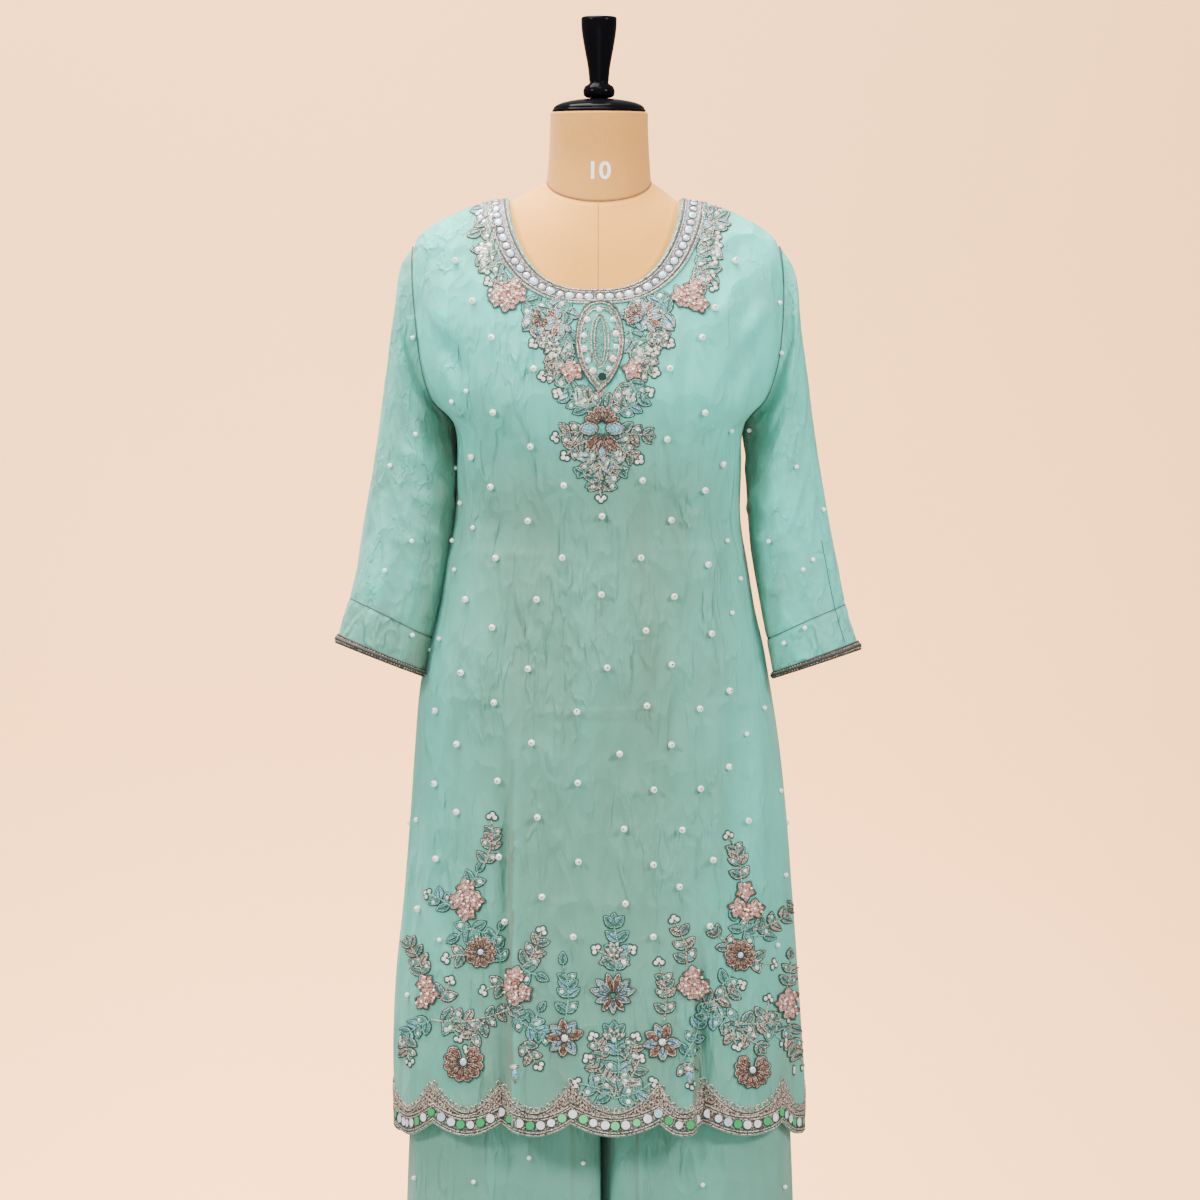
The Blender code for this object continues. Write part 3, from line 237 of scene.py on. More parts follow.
LEFT_SLEEVE = table(SleeveRow, "outer_x outer_z inner_x inner_z depth y bow",
    (219.6, 1388, 175.2, 1176, 47, 2, 30), (229.2, 1348, 174.8, 1141.6, 51, 1, 24),
    (238.2, 1304.8, 175.2, 1114, 53, 0, 17), (247.2, 1252, 176.8, 1081.6, 53.5, -2, 11),
    (255.6, 1186, 180, 1042, 52, -6, 6), (264, 1129.6, 185.2, 1008.4, 51, -10, 3),
    (275.4, 1063.6, 191.6, 973.6, 50, -16, 1), (284.4, 1016.8, 196.4, 947.2, 49, -21, 0),
    (293.4, 971.2, 201, 925.6, 47, -26, 0), (301.2, 943.6, 205, 904, 45.5, -30, 0),
    (310.8, 916, 208.6, 882.4, 44, -33, 0))
TROUSER_ROWS = table(TrouserRow, "z outer front back", (1034.2, 126.2, 93.7, 85.7, 0),
    (990, 144, 103, 98, 0), (940, 162, 108, 106, 0), (890, 178, 111, 113, 0), (840, 189, 113, 115, 0),
    (795, 198, 114, 115, 0), (770, 202, 114, 114, 0.3), (740, 203, 108, 106, 0.7), (710, 204, 102, 100, 1),
    (580, 212, 96, 94, 1), (440, 222, 95, 92, 1), (330, 227.5, 97, 94, 1), (190, 232.5, 102, 99, 1),
    (47, 238, 106, 103, 1))
LEG_INSIDES = {Side.LEFT: (0.0158, -0.0370), Side.RIGHT: (-0.0014, -0.0425)}
LEG_CORNER = 0.0200
# Where two scallops of the hem meet on the front, across.
FRONT_CUSPS = (-0.2060, -0.1200, -0.0340, 0.0710, 0.1290, 0.2360)
BACK_SCALLOPS = 8
# How far a painted shadow reaches beyond a leaf, petal or sequin.
SHADOW_MARGIN = 0.0022
MEDALLION_X, MEDALLION_Z = -0.0001, 1.2818
SHOULDER_TIP = 3
UNDERARM = 7
FRONT_FOLDS = table(Fold, "u_top u_hem z_top height width", (Lie.PRESSED, -104, -112, 900, 8.5, 10),
    (Lie.PRESSED, 117, 124, 700, 8.5, 10), (Lie.WAVE, -190, -215, 760, 5, 26),
    (Lie.WAVE, 190, 212, 800, 5, 26), (Lie.WAVE, 45, 50, 620, 3, 30), (Lie.WAVE, -45, -50, 560, 2.5, 30))
BACK_FOLDS = table(Fold, "u_top u_hem z_top height width", (Lie.PRESSED, -118, -126, 820, 8, 12),
    (Lie.PRESSED, 112, 121, 780, 8, 12), (Lie.WAVE, -195, -215, 760, 5, 26),
    (Lie.WAVE, 192, 212, 800, 5, 26), (Lie.WAVE, 10, 12, 700, 5, 32))
NECK_ROWS = ((0.45, 0.0600, 0.0530), (0.85, 0.0588, 0.0520), (1.0, 0.0586, 0.0518))
NECK_TOP_Z = 1.5610
NECK_CENTRE = (-0.0012, 0.0040)

# Creases of the front: packing folds across, drag lines at the armholes, fine vertical ones.
FRONT_CREASES = table(Crease, "x0 z0 x1 z1 width height", (-192, 859.6, -105.6, 856, 3, 1.2),
    (-96, 841.6, 108, 836.8, 3, 1.3), (114, 850, 210, 856, 3, 1.1), (-225.6, 620.8, -120, 618.4, 2.8, 1.3),
    (-84, 616, 108, 610, 3, 0.9), (-165.6, 1033.6, -48, 1028.8, 3, 0.9),
    (48, 1033.6, 168, 1038.4, 2.8, 0.8), (0, 1072, 0, 616, 5, 0.8), (-206.4, 1336, -165.6, 1282, 9, 3.4),
    (-199.2, 1300, -148.8, 1225.6, 11, -3), (-187.2, 1273.6, -156, 1180, 8, 3.6),
    (204, 1336, 162, 1273.6, 9, 3.2), (192, 1294, 146.4, 1216, 11, -2.8),
    (182.4, 1264, 153.6, 1186, 8, 3.4), (-156, 1180, -120, 1072, 9, 2),
    (-129.6, 1180, -146.4, 1024, 8, -1.8), (-105.6, 1192, -114, 928, 9, 1.8),
    (-72, 1168, -86.4, 976, 7, -1.4), (-40.8, 1132, -52.8, 868, 8, 1.2), (48, 1132, 57.6, 856, 8, 1.3),
    (86.4, 1180, 96, 976, 8, -1.6), (120, 1192, 124.8, 928, 8, 2), (146.4, 1168, 139.2, 1024, 7, -1.8),
    (156, 1132, 165.6, 928, 7, 2), (-148.8, 1024, -177.6, 784, 10, 2.2), (-120, 976, -136.8, 736, 9, -2),
    (-66, 832, -72, 616, 7, 1.3), (-18, 784, -21.6, 520, 9, -1.2), (33.6, 808, 40.8, 544, 8, 1.4),
    (66, 856, 76.8, 616, 8, -1.6), (96, 868, 105.6, 640, 8, 2.2), (134.4, 856, 139.2, 568, 9, 2.4),
    (156, 868, 170.4, 544, 10, -2.4), (182.4, 856, 194.4, 580, 9, 2.4), (-201.6, 784, -211.2, 496, 12, 2),
    (-174, 784, -182.4, 520, 11, -1.8), (-66, 508, -72, 364, 11, 1.6), (48, 508, 57.6, 364, 11, 1.4),
    (-144, 496, -148.8, 364, 12, 1.6), (162, 520, 177.6, 364, 12, 1.8), (-120, 1150, -48, 1180, 4, 0.8),
    (-96, 1096, -30, 1141.6, 4, 0.8), (48, 1180, 126, 1132, 4, 0.8), (-48, 976, 48, 1024, 3.5, 0.6),
    (-180, 1396, -120, 1300, 6, 1), (182.4, 1390, 138, 1300, 6, 1.2), (120, 1300, 180, 1336, 4.5, 1.2),
    (-96, 712, -30, 748, 3.5, 0.7), (36, 688, 108, 736, 3.5, 0.7), (-84, 928, 0, 889.6, 3.5, 0.6),
    (121.2, 556, 120, 100, 6.2, -5), (106.8, 580, 108, 100, 4.8, 3.6), (-112.8, 856, -114, 100, 7.5, -2.6),
    (-97.2, 856, -99.6, 100, 5.2, 2.2), (-96, 1300, -105.6, 1156, 4.5, 1.2),
    (-67.2, 1216, -76.8, 1072, 4.5, 1.2), (-139.2, 1276, -134.4, 1132, 5, 1.4),
    (-48, 1096, -57.6, 952, 4.5, 1), (72, 1192, 76.8, 1048, 4.5, 1.2), (108, 1264, 110.4, 1132, 5, 1.4),
    (26.4, 1096, 33.6, 928, 4.5, 1), (-160.8, 1168, -139.2, 1072, 5, 1.4),
    (-177.6, 928, -184.8, 760, 6, 1.4), (189.6, 976, 199.2, 784, 6, 1.5), (0, 640, 4.8, 484, 6, 1),
    (-40.8, 664, -45.6, 508, 6, 1))
# Pressed layers' edges that stand out, with painted shade beside them; and streaks of painted shade and
# painted highlight over the front.
FRONT_STEPS = table(Step, "x0 z0 x1 z1 width height", (-102, 868, -104.4, 100, 1, 15, 1.2, 0.24),
    (110.4, 610, 111.6, 100, -1, 17, 1.8, 0.38))
FRONT_PAINTED_LIGHT = table(Crease, "x0 z0 x1 z1 width", (146.4, 484, 141.6, 100, 15, -0.12),
    (-126, 496, -128.4, 100, 15, -0.12), (-228, 1390, -218.4, 1144, 8, -0.2),
    (216, 1390, 196.8, 1144, 8, -0.2), (-196.8, 1240, -165.6, 1156, 11, -0.26),
    (187.2, 1240, 165.6, 1156, 11, -0.24), (-180, 1156, -204, 832, 11, 0.12),
    (170.4, 1156, 201.6, 832, 6, 0.12), (-72, 1192, -79.2, 784, 17, -0.03),
    (-16.8, 1168, -19.2, 616, 10, 0.05), (48, 1192, 55.2, 736, 15, -0.07),
    (91.2, 1024, 100.8, 568, 9, 0.06), (134.4, 1024, 148.8, 580, 11, -0.08),
    (177.6, 928, 199.2, 544, 9, 0.08), (-156, 1024, -172.8, 568, 13, -0.03),
    (-196.8, 616, -216, 100, 15, -0.06), (216, 616, 232.8, 100, 11, -0.12),
    (-48, 568, -52.8, 100, 15, -0.07), (48, 568, 55.2, 100, 15, -0.06), (-192, 859.6, -96, 854.8, 4, -0.1),
    (-225.6, 619.6, -120, 617.2, 4, -0.1), (-96, 841.6, 108, 836.8, 4, -0.06))
# The back is creased in the same way, with its packing folds a little higher.
BACK_CREASES = tuple(Crease(-c.x0 * 0.97, c.z0 + 0.018, -c.x1 * 0.97, c.z1 + 0.018, c.width, c.height * 0.9)
    for c in FRONT_CREASES) + (Crease(-0.090, 1.330, 0.010, 1.300, 0.0100, 0.0020),
    Crease(0.100, 1.330, -0.010, 1.296, 0.0100, 0.0018), Crease(-0.020, 1.250, -0.030, 1.080, 0.0110,
    0.0022), Crease(0.040, 1.240, 0.032, 1.060, 0.0110, 0.0020),)
# A sleeve's creases, by turn round it (degrees, 0 outside, 90 front, 180 inside, 270 back) and by
# share of its length.
SLEEVE_CREASES = table(Crease, "height", (150, 0.03, 100, 0.2, 13, 3.6), (165, 0.08, 118, 0.3, 12, 3),
    (172, 0.13, 130, 0.42, 13, 2.8), (60, 0.02, 75, 0.22, 11, 1.8), (88, 0.06, 60, 0.3, 9, 1.4),
    (40, 0.1, 82, 0.34, 7, 1.2), (120, 0.3, 64, 0.44, 8, 1.7), (140, 0.36, 84, 0.52, 8, 2),
    (60, 0.34, 100, 0.5, 7, 1.2), (30, 0.3, 62, 0.46, 7, 1.3), (150, 0.46, 96, 0.58, 8, 2),
    (52, 0.5, 98, 0.6, 8, 1.6), (120, 0.56, 70, 0.68, 7, 1.6), (30, 0.55, 66, 0.7, 8, 1.3),
    (142, 0.66, 100, 0.74, 8, 1.6), (60, 0.66, 92, 0.8, 8, 1.4), (120, 0.72, 112, 0.86, 8, 1.3),
    (40, 0.72, 60, 0.86, 8, 1.2), (78, 0.46, 74, 0.95, 6, 1), (100, 0.05, 104, 0.95, 20, 1.6),
    (205, 0.05, 250, 0.24, 13, 3.2), (195, 0.14, 240, 0.36, 12, 2.6), (300, 0.06, 270, 0.3, 11, 1.6),
    (220, 0.34, 285, 0.48, 8, 1.8), (320, 0.34, 262, 0.54, 8, 1.5), (212, 0.5, 272, 0.62, 8, 1.8),
    (300, 0.58, 250, 0.72, 8, 1.5), (228, 0.68, 284, 0.82, 8, 1.4), (330, 0.6, 300, 0.84, 9, 1.3),
    (10, 0.2, 350, 0.5, 9, 1.2))


# ---- small tools
def smoothstep(low: float, high: float, value: float) -> float:
    """Rise from 0 at low to 1 at high, with soft ends."""
    share = min(max((value - low) / (high - low), 0.0), 1.0)
    return share * share * (3.0 - 2.0 * share)


def bell(away: float, width: float) -> float:
    """Fall from 1 in the middle towards 0, smoothly, a width away."""
    return math.exp(-(away / width) ** 2)


def through(stations: Sequence[float], values: Sequence[float], at: float) -> float:
    """Read a smooth curve through a table's values.

    Args:
        stations: where the values stand.
        values: the table's values.
        at: where to read.

    Returns:
        The value there, by cubic pieces with averaged slopes.
    """
    last = len(stations) - 1
    k = 0
    while k < last - 1 and at > stations[k + 1]:
        k += 1

    def slope(i: int) -> float:
        """Give the averaged slope at a station."""
        low, high = max(i - 1, 0), min(i + 1, last)
        return (values[high] - values[low]) / (stations[high] - stations[low])

    step = stations[k + 1] - stations[k]
    t = min(max((at - stations[k]) / step, 0.0), 1.0)
    t2, t3 = t * t, t * t * t
    return ((2 * t3 - 3 * t2 + 1) * values[k] + (t3 - 2 * t2 + t) * step * slope(k) + (3 * t2 - 2 * t3)
        * values[k + 1] + (t3 - t2) * step * slope(k + 1))


def even(low: float, high: float, count: int) -> list[float]:
    """Give count even steps from low to high, both ends included."""
    return [low + (high - low) * k / count for k in range(count + 1)]


def around(count: int, start: float = 0.0) -> list[float]:
    """Give count even turns of a circle, the first one a share of a step on."""
    return [2 * math.pi * (k + start) / count for k in range(count)]


def crease_lift(x: float, z: float, creases: Iterable[Crease], down: float = 1.0) -> float:
    """Add up the creases at a place.

    Args:
        x: place across.
        z: place along, multiplied by down before it is measured.
        creases: the table to read.
        down: scale of the second column, where the two columns' units differ.

    Returns:
        How far the cloth stands out there.
    """
    lift = 0.0
    for crease in creases:
        reach = crease.width * 2.6
        if not min(crease.x0, crease.x1) - reach < x < max(crease.x0, crease.x1) + reach:
            continue
        dx, dz = crease.x1 - crease.x0, (crease.z1 - crease.z0) * down
        px, pz = x - crease.x0, (z - crease.z0) * down
        length2 = dx * dx + dz * dz
        t = (px * dx + pz * dz) / length2
        if not 0.0 < t < 1.0:
            continue
        away = abs(px * dz - pz * dx) / math.sqrt(length2)
        if away < reach:
            ends = smoothstep(0.0, 0.3, t) * (1.0 - smoothstep(0.7, 1.0, t))
            lift += crease.height * ends * bell(away, crease.width)
    return lift


def step_share(x: float, z: float, step: Step) -> float:
    """Give a pressed layer's share at a place: 1 on its edge, below 0 in the shade beside it."""
    down = (z - step.z0) / (step.z1 - step.z0)
    away = (x - step.x0 - (step.x1 - step.x0) * down) * step.side
    if down <= 0.0 or not -step.width < away < step.width:
        return 0.0
    share = -(1.0 + away / step.width) if away < 0.0 else 0.6 * (1.0 - away / step.width)
    return share * smoothstep(0.0, 0.35, down)


def crumple(x: float, z: float, seed: float) -> float:
    """Give the fine unevenness of hanging georgette: long soft streaks and short crinkles."""
    streaks = noise.noise(Vector((x * 46.0, z * 5.0, seed)))
    crinkles = noise.noise(Vector((x * 70.0 + z * 22.0, z * 34.0 - x * 18.0, seed + 7.0)))
    patches = smoothstep(-0.2, 0.5, noise.noise(Vector((x * 9.0, z * 7.0, seed + 3.0))))
    return 0.00170 * streaks + 0.00060 * patches * (1.0 - 2.0 * abs(crinkles))


# ---- finishes
class Shades(Enum):
    """Colours of the suit and its form, as linear red, green and blue."""

    # MINT_LIGHT and MINT_DEEP are the georgette's painted lit and painted shaded ends, mixed by each
    # point's painted tone; MINT_DEEP also gives the random streaks.
    MINT = (0.105, 0.420, 0.330)
    MINT_DEEP = (0.125, 0.190, 0.130)
    MINT_LIGHT = (0.075, 0.660, 0.540)
    SILVER = (0.80, 0.64, 0.52)
    SILVER_DARK = (0.060, 0.040, 0.032)
    BRONZE = (0.430, 0.190, 0.115)
    BRONZE_DARK = (0.050, 0.022, 0.016)
    PINK = (0.86, 0.48, 0.40)
    PINK_DARK = (0.20, 0.070, 0.055)
    SEAFOAM = (0.115, 0.36, 0.31)
    SEAFOAM_DARK = (0.026, 0.095, 0.078)
    SHADE = (0.012, 0.046, 0.036)
    SKY = (0.27, 0.60, 0.72)
    SKY_DARK = (0.060, 0.150, 0.220)
    LILAC = (0.700, 0.640, 0.720)
    TAUPE = (0.62, 0.44, 0.34)
    LILAC_DARK = (0.170, 0.145, 0.175)
    MINT_CORD = (0.290, 0.680, 0.560)
    # The neck's linen: a darker, tanner copy of the form's linen, partly painted shade.
    LINEN_NECK = (0.670, 0.305, 0.057)
    CRYSTAL = (0.940, 0.930, 0.900)
    PEARL = (0.950, 0.920, 0.840)
    GREEN_GLASS = (0.020, 0.500, 0.130)
    DARK_GLASS = (0.002, 0.050, 0.040)
    LINEN = (0.950, 0.420, 0.068)
    LINEN_DARK = (0.780, 0.340, 0.055)
    LINEN_DEEP = (0.560, 0.245, 0.055)
    BLACK = (0.003, 0.003, 0.004)
    STEEL = (0.560, 0.560, 0.570)
    PRINT = (0.950, 0.900, 0.820)


class Nodes:
    """A material under construction, with its node tree at hand."""

    def __init__(self, name: str) -> None:
        """Start a material with a Principled shader and object coordinates."""
        self.material = bpy.data.materials.new(name)
        self.material.use_nodes = True
        self.tree = self.material.node_tree
        self.shader = self.tree.nodes["Principled BSDF"]
        self.place = self.tree.nodes.new("ShaderNodeTexCoord")

    def add(self, kind: str, **values: object) -> bpy.types.Node:
        """Add a node and set its properties and its unlinked sockets by name."""
        node = self.tree.nodes.new(kind)
        for key, value in values.items():
            if hasattr(node, key):
                setattr(node, key, value)
            else:
                node.inputs[key.replace("_", " ").title()].default_value = value
        return node

    def link(self, source: Socket, target: Socket) -> None:
        """Join two sockets."""
        self.tree.links.new(source, target)

    def set(self, **values: object) -> None:
        """Set the shader's sockets by their names, with underscores."""
        for key, value in values.items():
            name = key.replace("_", " ").title().replace("Ior", "IOR")
            self.shader.inputs[name].default_value = value

    def dress(self, colour: Socket, normal: Socket | None = None) -> None:
        """Give the shader its colour and, where there is one, its bump."""
        self.link(colour, self.shader.inputs["Base Color"])
        if normal is not None:
            self.link(normal, self.shader.inputs["Normal"])

    def texture(self, kind: str, vector: Socket, **values: object) -> bpy.types.Node:
        """Add a texture, read at a vector."""
        made = self.add(kind, **values)
        self.link(vector, made.inputs["Vector"])
        return made

    def stretched(self, stretch: Sequence[float]) -> Socket:
        """Give the piece's own coordinates, stretched along its axes."""
        mapping = self.texture("ShaderNodeMapping", self.place.outputs["Object"])
        mapping.inputs["Scale"].default_value = stretch
        return mapping.outputs["Vector"]

    def noise(self, scale: float, detail: float = 3.0, stretch: Sequence[float] = (1, 1, 1)) -> Socket:
        """Give a noise on the stretched coordinates."""
        return self.texture("ShaderNodeTexNoise", self.stretched(stretch), scale=scale,
            detail=detail).outputs["Fac"]

    def ramp(self, source: Socket, low: float, high: float) -> Socket:
        """Stretch a value from low..high to 0..1."""
        made = self.add("ShaderNodeMapRange", from_min=low, from_max=high)
        self.link(source, made.inputs["Value"])
        return made.outputs["Result"]

    def sum(self, operation: str, one: Socket, two: Socket | float = 0.5) -> Socket:
        """Work out a sum on one value or two."""
        made = self.add("ShaderNodeMath", operation=operation)
        self.link(one, made.inputs[0])
        if isinstance(two, float):
            made.inputs[1].default_value = two
        else:
            self.link(two, made.inputs[1])
        return made.outputs[0]

    def ridges(self, scale: float, stretch: Sequence[float]) -> Socket:
        """Give fine sharp creases: the lines along which a noise passes its middle value."""
        centred = self.sum("SUBTRACT", self.noise(scale, 3.0, stretch))
        line = self.ramp(self.sum("ABSOLUTE", centred), 0.045, 0.0)
        return self.sum("MULTIPLY", line, self.ramp(self.noise(scale * 0.30, 2.0), 0.46, 0.62))

    def facets(self, scale: float, stretch: Sequence[float]) -> Socket:
        """Give the flat facets of crumpled cloth, which meet in crisp creases."""
        place = self.stretched(stretch)
        sway = self.texture("ShaderNodeTexNoise", place, scale=scale * 0.6, detail=2.0)
        moved = self.add("ShaderNodeVectorMath", operation="MULTIPLY_ADD")
        self.link(sway.outputs["Color"], moved.inputs[0])
        moved.inputs[1].default_value = (1.6 / scale,) * 3
        self.link(place, moved.inputs[2])
        cells = self.texture("ShaderNodeTexVoronoi", moved.outputs["Vector"], scale=scale)
        return self.ramp(cells.outputs["Distance"], 0.14, 0.95)

    def mix(self, share: Socket, one: object, two: object) -> Socket:
        """Mix two colours, each a colour or another node's output."""
        made = self.add("ShaderNodeMix", data_type="RGBA")
        self.link(share, made.inputs["Factor"])
        for socket, value in ((made.inputs[6], one), (made.inputs[7], two)):
            if isinstance(value, tuple):
                socket.default_value = (*value, 1.0)
            else:
                self.link(value, socket)
        return made.outputs[2]

    def blend(self, share: float, one: object, two: object) -> Socket:
        """Mix two colours by the same share all over."""
        made = self.add("ShaderNodeMix", data_type="RGBA", factor=share)
        self.link(one, made.inputs[6])
        made.inputs[7].default_value = (*two, 1.0)
        return made.outputs[2]

    def bump(self, height: Socket, strength: float, distance: float, under: Socket | None = None) -> Socket:
        """Give a bump of a height, over another one where it is named."""
        made = self.add("ShaderNodeBump", strength=strength, distance=distance)
        self.link(height, made.inputs["Height"])
        if under is not None:
            self.link(under, made.inputs["Normal"])
        return made.outputs["Normal"]


@dataclass(frozen=True)
class Finish:
    """A finish: its name, its colours, its slot and how its material is made."""

    name: str
    light: Shades
    dark: Shades
    roughness: float = 0.5
    metallic: float = 0.0
    slot: str = "embroidered_lace"

    def material(self) -> bpy.types.Material:
        """Give the finish's material, made at its first use."""
        return bpy.data.materials.get(self.name) or self.make()

    def make(self) -> bpy.types.Material:
        """Make the material."""
        nodes = Nodes(self.name)
        nodes.set(roughness=self.roughness, metallic=self.metallic)
        self.dress(nodes)
        return nodes.material

    def shade(self, nodes: Nodes, share: Socket) -> Socket:
        """Mix the finish's dark colour with its light one."""
        return nodes.mix(share, self.dark.value, self.light.value)

    def dress(self, nodes: Nodes) -> None:
        """Give the surface its colour and grain."""
        nodes.dress(self.shade(nodes, nodes.ramp(nodes.noise(420.0), 0.35, 0.65)))


@dataclass(frozen=True)
class Georgette(Finish):
    """Crepe georgette over its lining: pebbled, mottled, with the marks of fine creases, and painted light
    and shade in its colour.
    """

    slot: str = "georgette"
    mottle: float = 0.30
    marks: tuple[tuple, ...] = ()
    crumples: tuple[tuple, ...] = ()
    # Share by which the crumples' facets are painted darker than the creases between them: painted shade.
    facet_shade: float = 0.14

    def dress(self, nodes: Nodes) -> None:
        """Give the cloth its painted light and shade, mottle, pebbles and creases, with painted shade on
        its crumpled facets.
        """
        # How pale each point is painted, painted light and painted shade included, as the pieces give it.
        tone = nodes.add("ShaderNodeAttribute", attribute_name="tone").outputs["Fac"]
        base = self.shade(nodes, tone)
        streak = nodes.ramp(nodes.noise(60.0, 4.0, (1.0, 1.0, 0.12)), 0.30, 0.72)
        cloud = nodes.ramp(nodes.noise(11.0, 5.0), 0.34, 0.70)
        streaked = nodes.mix(streak, self.dark.value, Shades.MINT.value)
        cloth = nodes.mix(nodes.sum("MULTIPLY", cloud, self.mottle), base, streaked)
        # Painted shade on the first crumples: their facets darker, the crease lines between them paler.
        scale, stretch, _ = self.crumples[0]
        fold = nodes.ramp(nodes.facets(scale, stretch), 0.52, 0.86)
        lit = nodes.mix(fold, nodes.blend(self.facet_shade, cloth, self.dark.value), cloth)
        surface = nodes.bump(nodes.noise(1900.0, 2.0), 0.30, 0.0004)
        surface = nodes.bump(nodes.noise(240.0, 3.0, (1.0, 1.0, 0.35)), 0.22, 0.0012, surface)
        for scale, stretch, strength in self.crumples:
            surface = nodes.bump(nodes.facets(scale, stretch), strength, 0.60 / scale, surface)
        for scale, stretch, strength in self.marks:
            surface = nodes.bump(nodes.ridges(scale, stretch), strength, 0.0030, surface)
        nodes.dress(lit, surface)
        nodes.set(sheen_weight=0.12, sheen_roughness=0.45, specular_ior_level=0.24)


@dataclass(frozen=True)
class Thread(Finish):
    """Twisted or satin-laid thread: fine light and dark strands, partly painted glints and painted shade
    between the strands.
    """

    fineness: float = 1500.0

    def dress(self, nodes: Nodes) -> None:
        """Give the thread its strands."""
        # Light and dark strands at random: partly painted glints and painted shade between strands.
        strands = nodes.ramp(nodes.noise(self.fineness, 2.0), 0.40, 0.62)
        nodes.dress(self.shade(nodes, strands), nodes.bump(nodes.noise(self.fineness, 2.0), 0.7, 0.0007))


@dataclass(frozen=True)
class Stone(Finish):
    """Glass, crystal, pearl or mirror: clear coat over a slightly clouded colour."""

    coat: float = 1.0

    def dress(self, nodes: Nodes) -> None:
        """Give the stone its cloudiness and its coat."""
        nodes.dress(self.shade(nodes, nodes.ramp(nodes.noise(260.0, 2.0), 0.30, 0.75)))
        nodes.set(coat_weight=self.coat, coat_roughness=0.08)


@dataclass(frozen=True)
class LaceGround(Finish):
    """Net ground of the borders, closely worked with short stitches."""

    def dress(self, nodes: Nodes) -> None:
        """Give the ground its stitches over mint."""
        cells = nodes.texture("ShaderNodeTexVoronoi", nodes.place.outputs["Object"],
            scale=420.0).outputs["Distance"]
        worked = nodes.ramp(cells, 0.30, 0.62)
        stitched = self.shade(nodes, nodes.ramp(nodes.noise(700.0), 0.4, 0.6))
        nodes.dress(nodes.mix(worked, stitched, self.dark.value), nodes.bump(cells, 0.8, 0.0006))


@dataclass(frozen=True)
class Linen(Finish):
    """Smooth plain-woven linen, stretched over the padded form."""

    slot: str = "form_linen"

    def dress(self, nodes: Nodes) -> None:
        """Give the linen its weave and its faint clouds."""
        warp = nodes.noise(900.0, 2.0, (1.0, 1.0, 0.14))
        weft = nodes.noise(900.0, 2.0, (0.14, 0.14, 1.0))
        cloth = self.shade(nodes, nodes.ramp(warp, 0.30, 0.70))
        cloud = nodes.ramp(nodes.noise(11.0, 4.0), 0.25, 0.80)
        nodes.dress(nodes.mix(cloud, cloth, self.light.value), nodes.bump(weft, 0.25, 0.0004,
            nodes.bump(warp, 0.25, 0.0004)))
        nodes.set(sheen_weight=0.15, specular_ior_level=0.25)


@dataclass(frozen=True)
class Lacquer(Finish):
    """Glossy lacquer with faint polishing swirls."""

    slot: str = "black_gloss"

    def dress(self, nodes: Nodes) -> None:
        """Give the lacquer its depth and its fine scratches."""
        nodes.set(base_color=(*self.light.value, 1.0), ior=1.10)
        swirls = nodes.noise(90.0, 5.0, (1.0, 1.0, 0.2))
        nodes.link(nodes.ramp(swirls, -0.1, 6.0), nodes.shader.inputs["Roughness"])


GEORGETTE = Georgette("mint georgette", Shades.MINT_LIGHT, Shades.MINT_DEEP, 0.60,
    marks=((17.0, (1.0, 1.0, 0.30), 0.80), (36.0, (1.0, 1.0, 0.25), 0.55)), crumples=((15.0,
    (1.0, 1.0, 0.30), 0.28), (34.0, (1.0, 1.0, 0.45), 0.28)))
SHEER = Georgette("sheer mint georgette", Shades.MINT_LIGHT, Shades.MINT_DEEP, 0.56, mottle=0.50,
    marks=((24.0, (1.0, 1.0, 0.40), 0.85), (52.0, (1.0, 1.0, 0.50), 0.50)), crumples=((36.0,
    (1.0, 1.0, 0.40), 0.32), (70.0, (1.0, 1.0, 0.55), 0.20)), facet_shade=0.20)
SILVER = Thread("silver cord", Shades.SILVER, Shades.SILVER_DARK, 0.36, 0.25, fineness=640.0)
BRONZE = Thread("bronze cord", Shades.BRONZE, Shades.BRONZE_DARK, 0.42, 0.2, fineness=560.0)
PINK = Thread("pink satin stitch", Shades.PINK, Shades.PINK_DARK, 0.46, fineness=640.0)
PINK_EDGE = Thread("pale pink cord", Shades.SILVER, Shades.PINK_DARK)
SEAFOAM = Thread("seafoam cord", Shades.SEAFOAM, Shades.SEAFOAM_DARK, 0.46, fineness=640.0)
SKY = Thread("blue satin stitch", Shades.SKY, Shades.SKY_DARK, 0.42, fineness=620.0)
# Dark green cords, and painted shadow: dark sheets and rings round leaves, petals, sequins, stones and
# mirrors.
SHADE = Thread("deep green underlay", Shades.SEAFOAM_DARK, Shades.SHADE, 0.7)
CRYSTAL = Stone("clear crystal", Shades.CRYSTAL, Shades.SILVER, 0.14, 0.2)
# The round mirror's pale lilac-white is a painted reflection on a plain glass, not a reflecting metal.
MIRROR = Stone("round mirror", Shades.CRYSTAL, Shades.LILAC, 0.22, 0.1)
GREEN_MIRROR = Stone("green mirror", Shades.GREEN_GLASS, Shades.GREEN_GLASS, 0.10, 0.35)
DARK_MIRROR = Stone("dark green mirror", Shades.DARK_GLASS, Shades.DARK_GLASS, 0.08, 0.3)
BLUE_STONE = Stone("pale blue stone", Shades.SKY, Shades.LILAC, 0.16, 0.1)
ROSE_STONE = Stone("pale rose stone", Shades.PINK, Shades.LILAC, 0.18, 0.1)
PEARL = Stone("white bead", Shades.PEARL, Shades.PEARL, 0.30, coat=0.7)
DARK_SILVER = Thread("dark silver cord", Shades.TAUPE, Shades.BRONZE_DARK, 0.5, 0.2, fineness=700.0)
MINT_CORD = Thread("pale mint cord", Shades.MINT_CORD, Shades.SEAFOAM_DARK, fineness=900.0)
UMBER = Thread("umber cord", Shades.BRONZE_DARK, Shades.SHADE, 0.6)
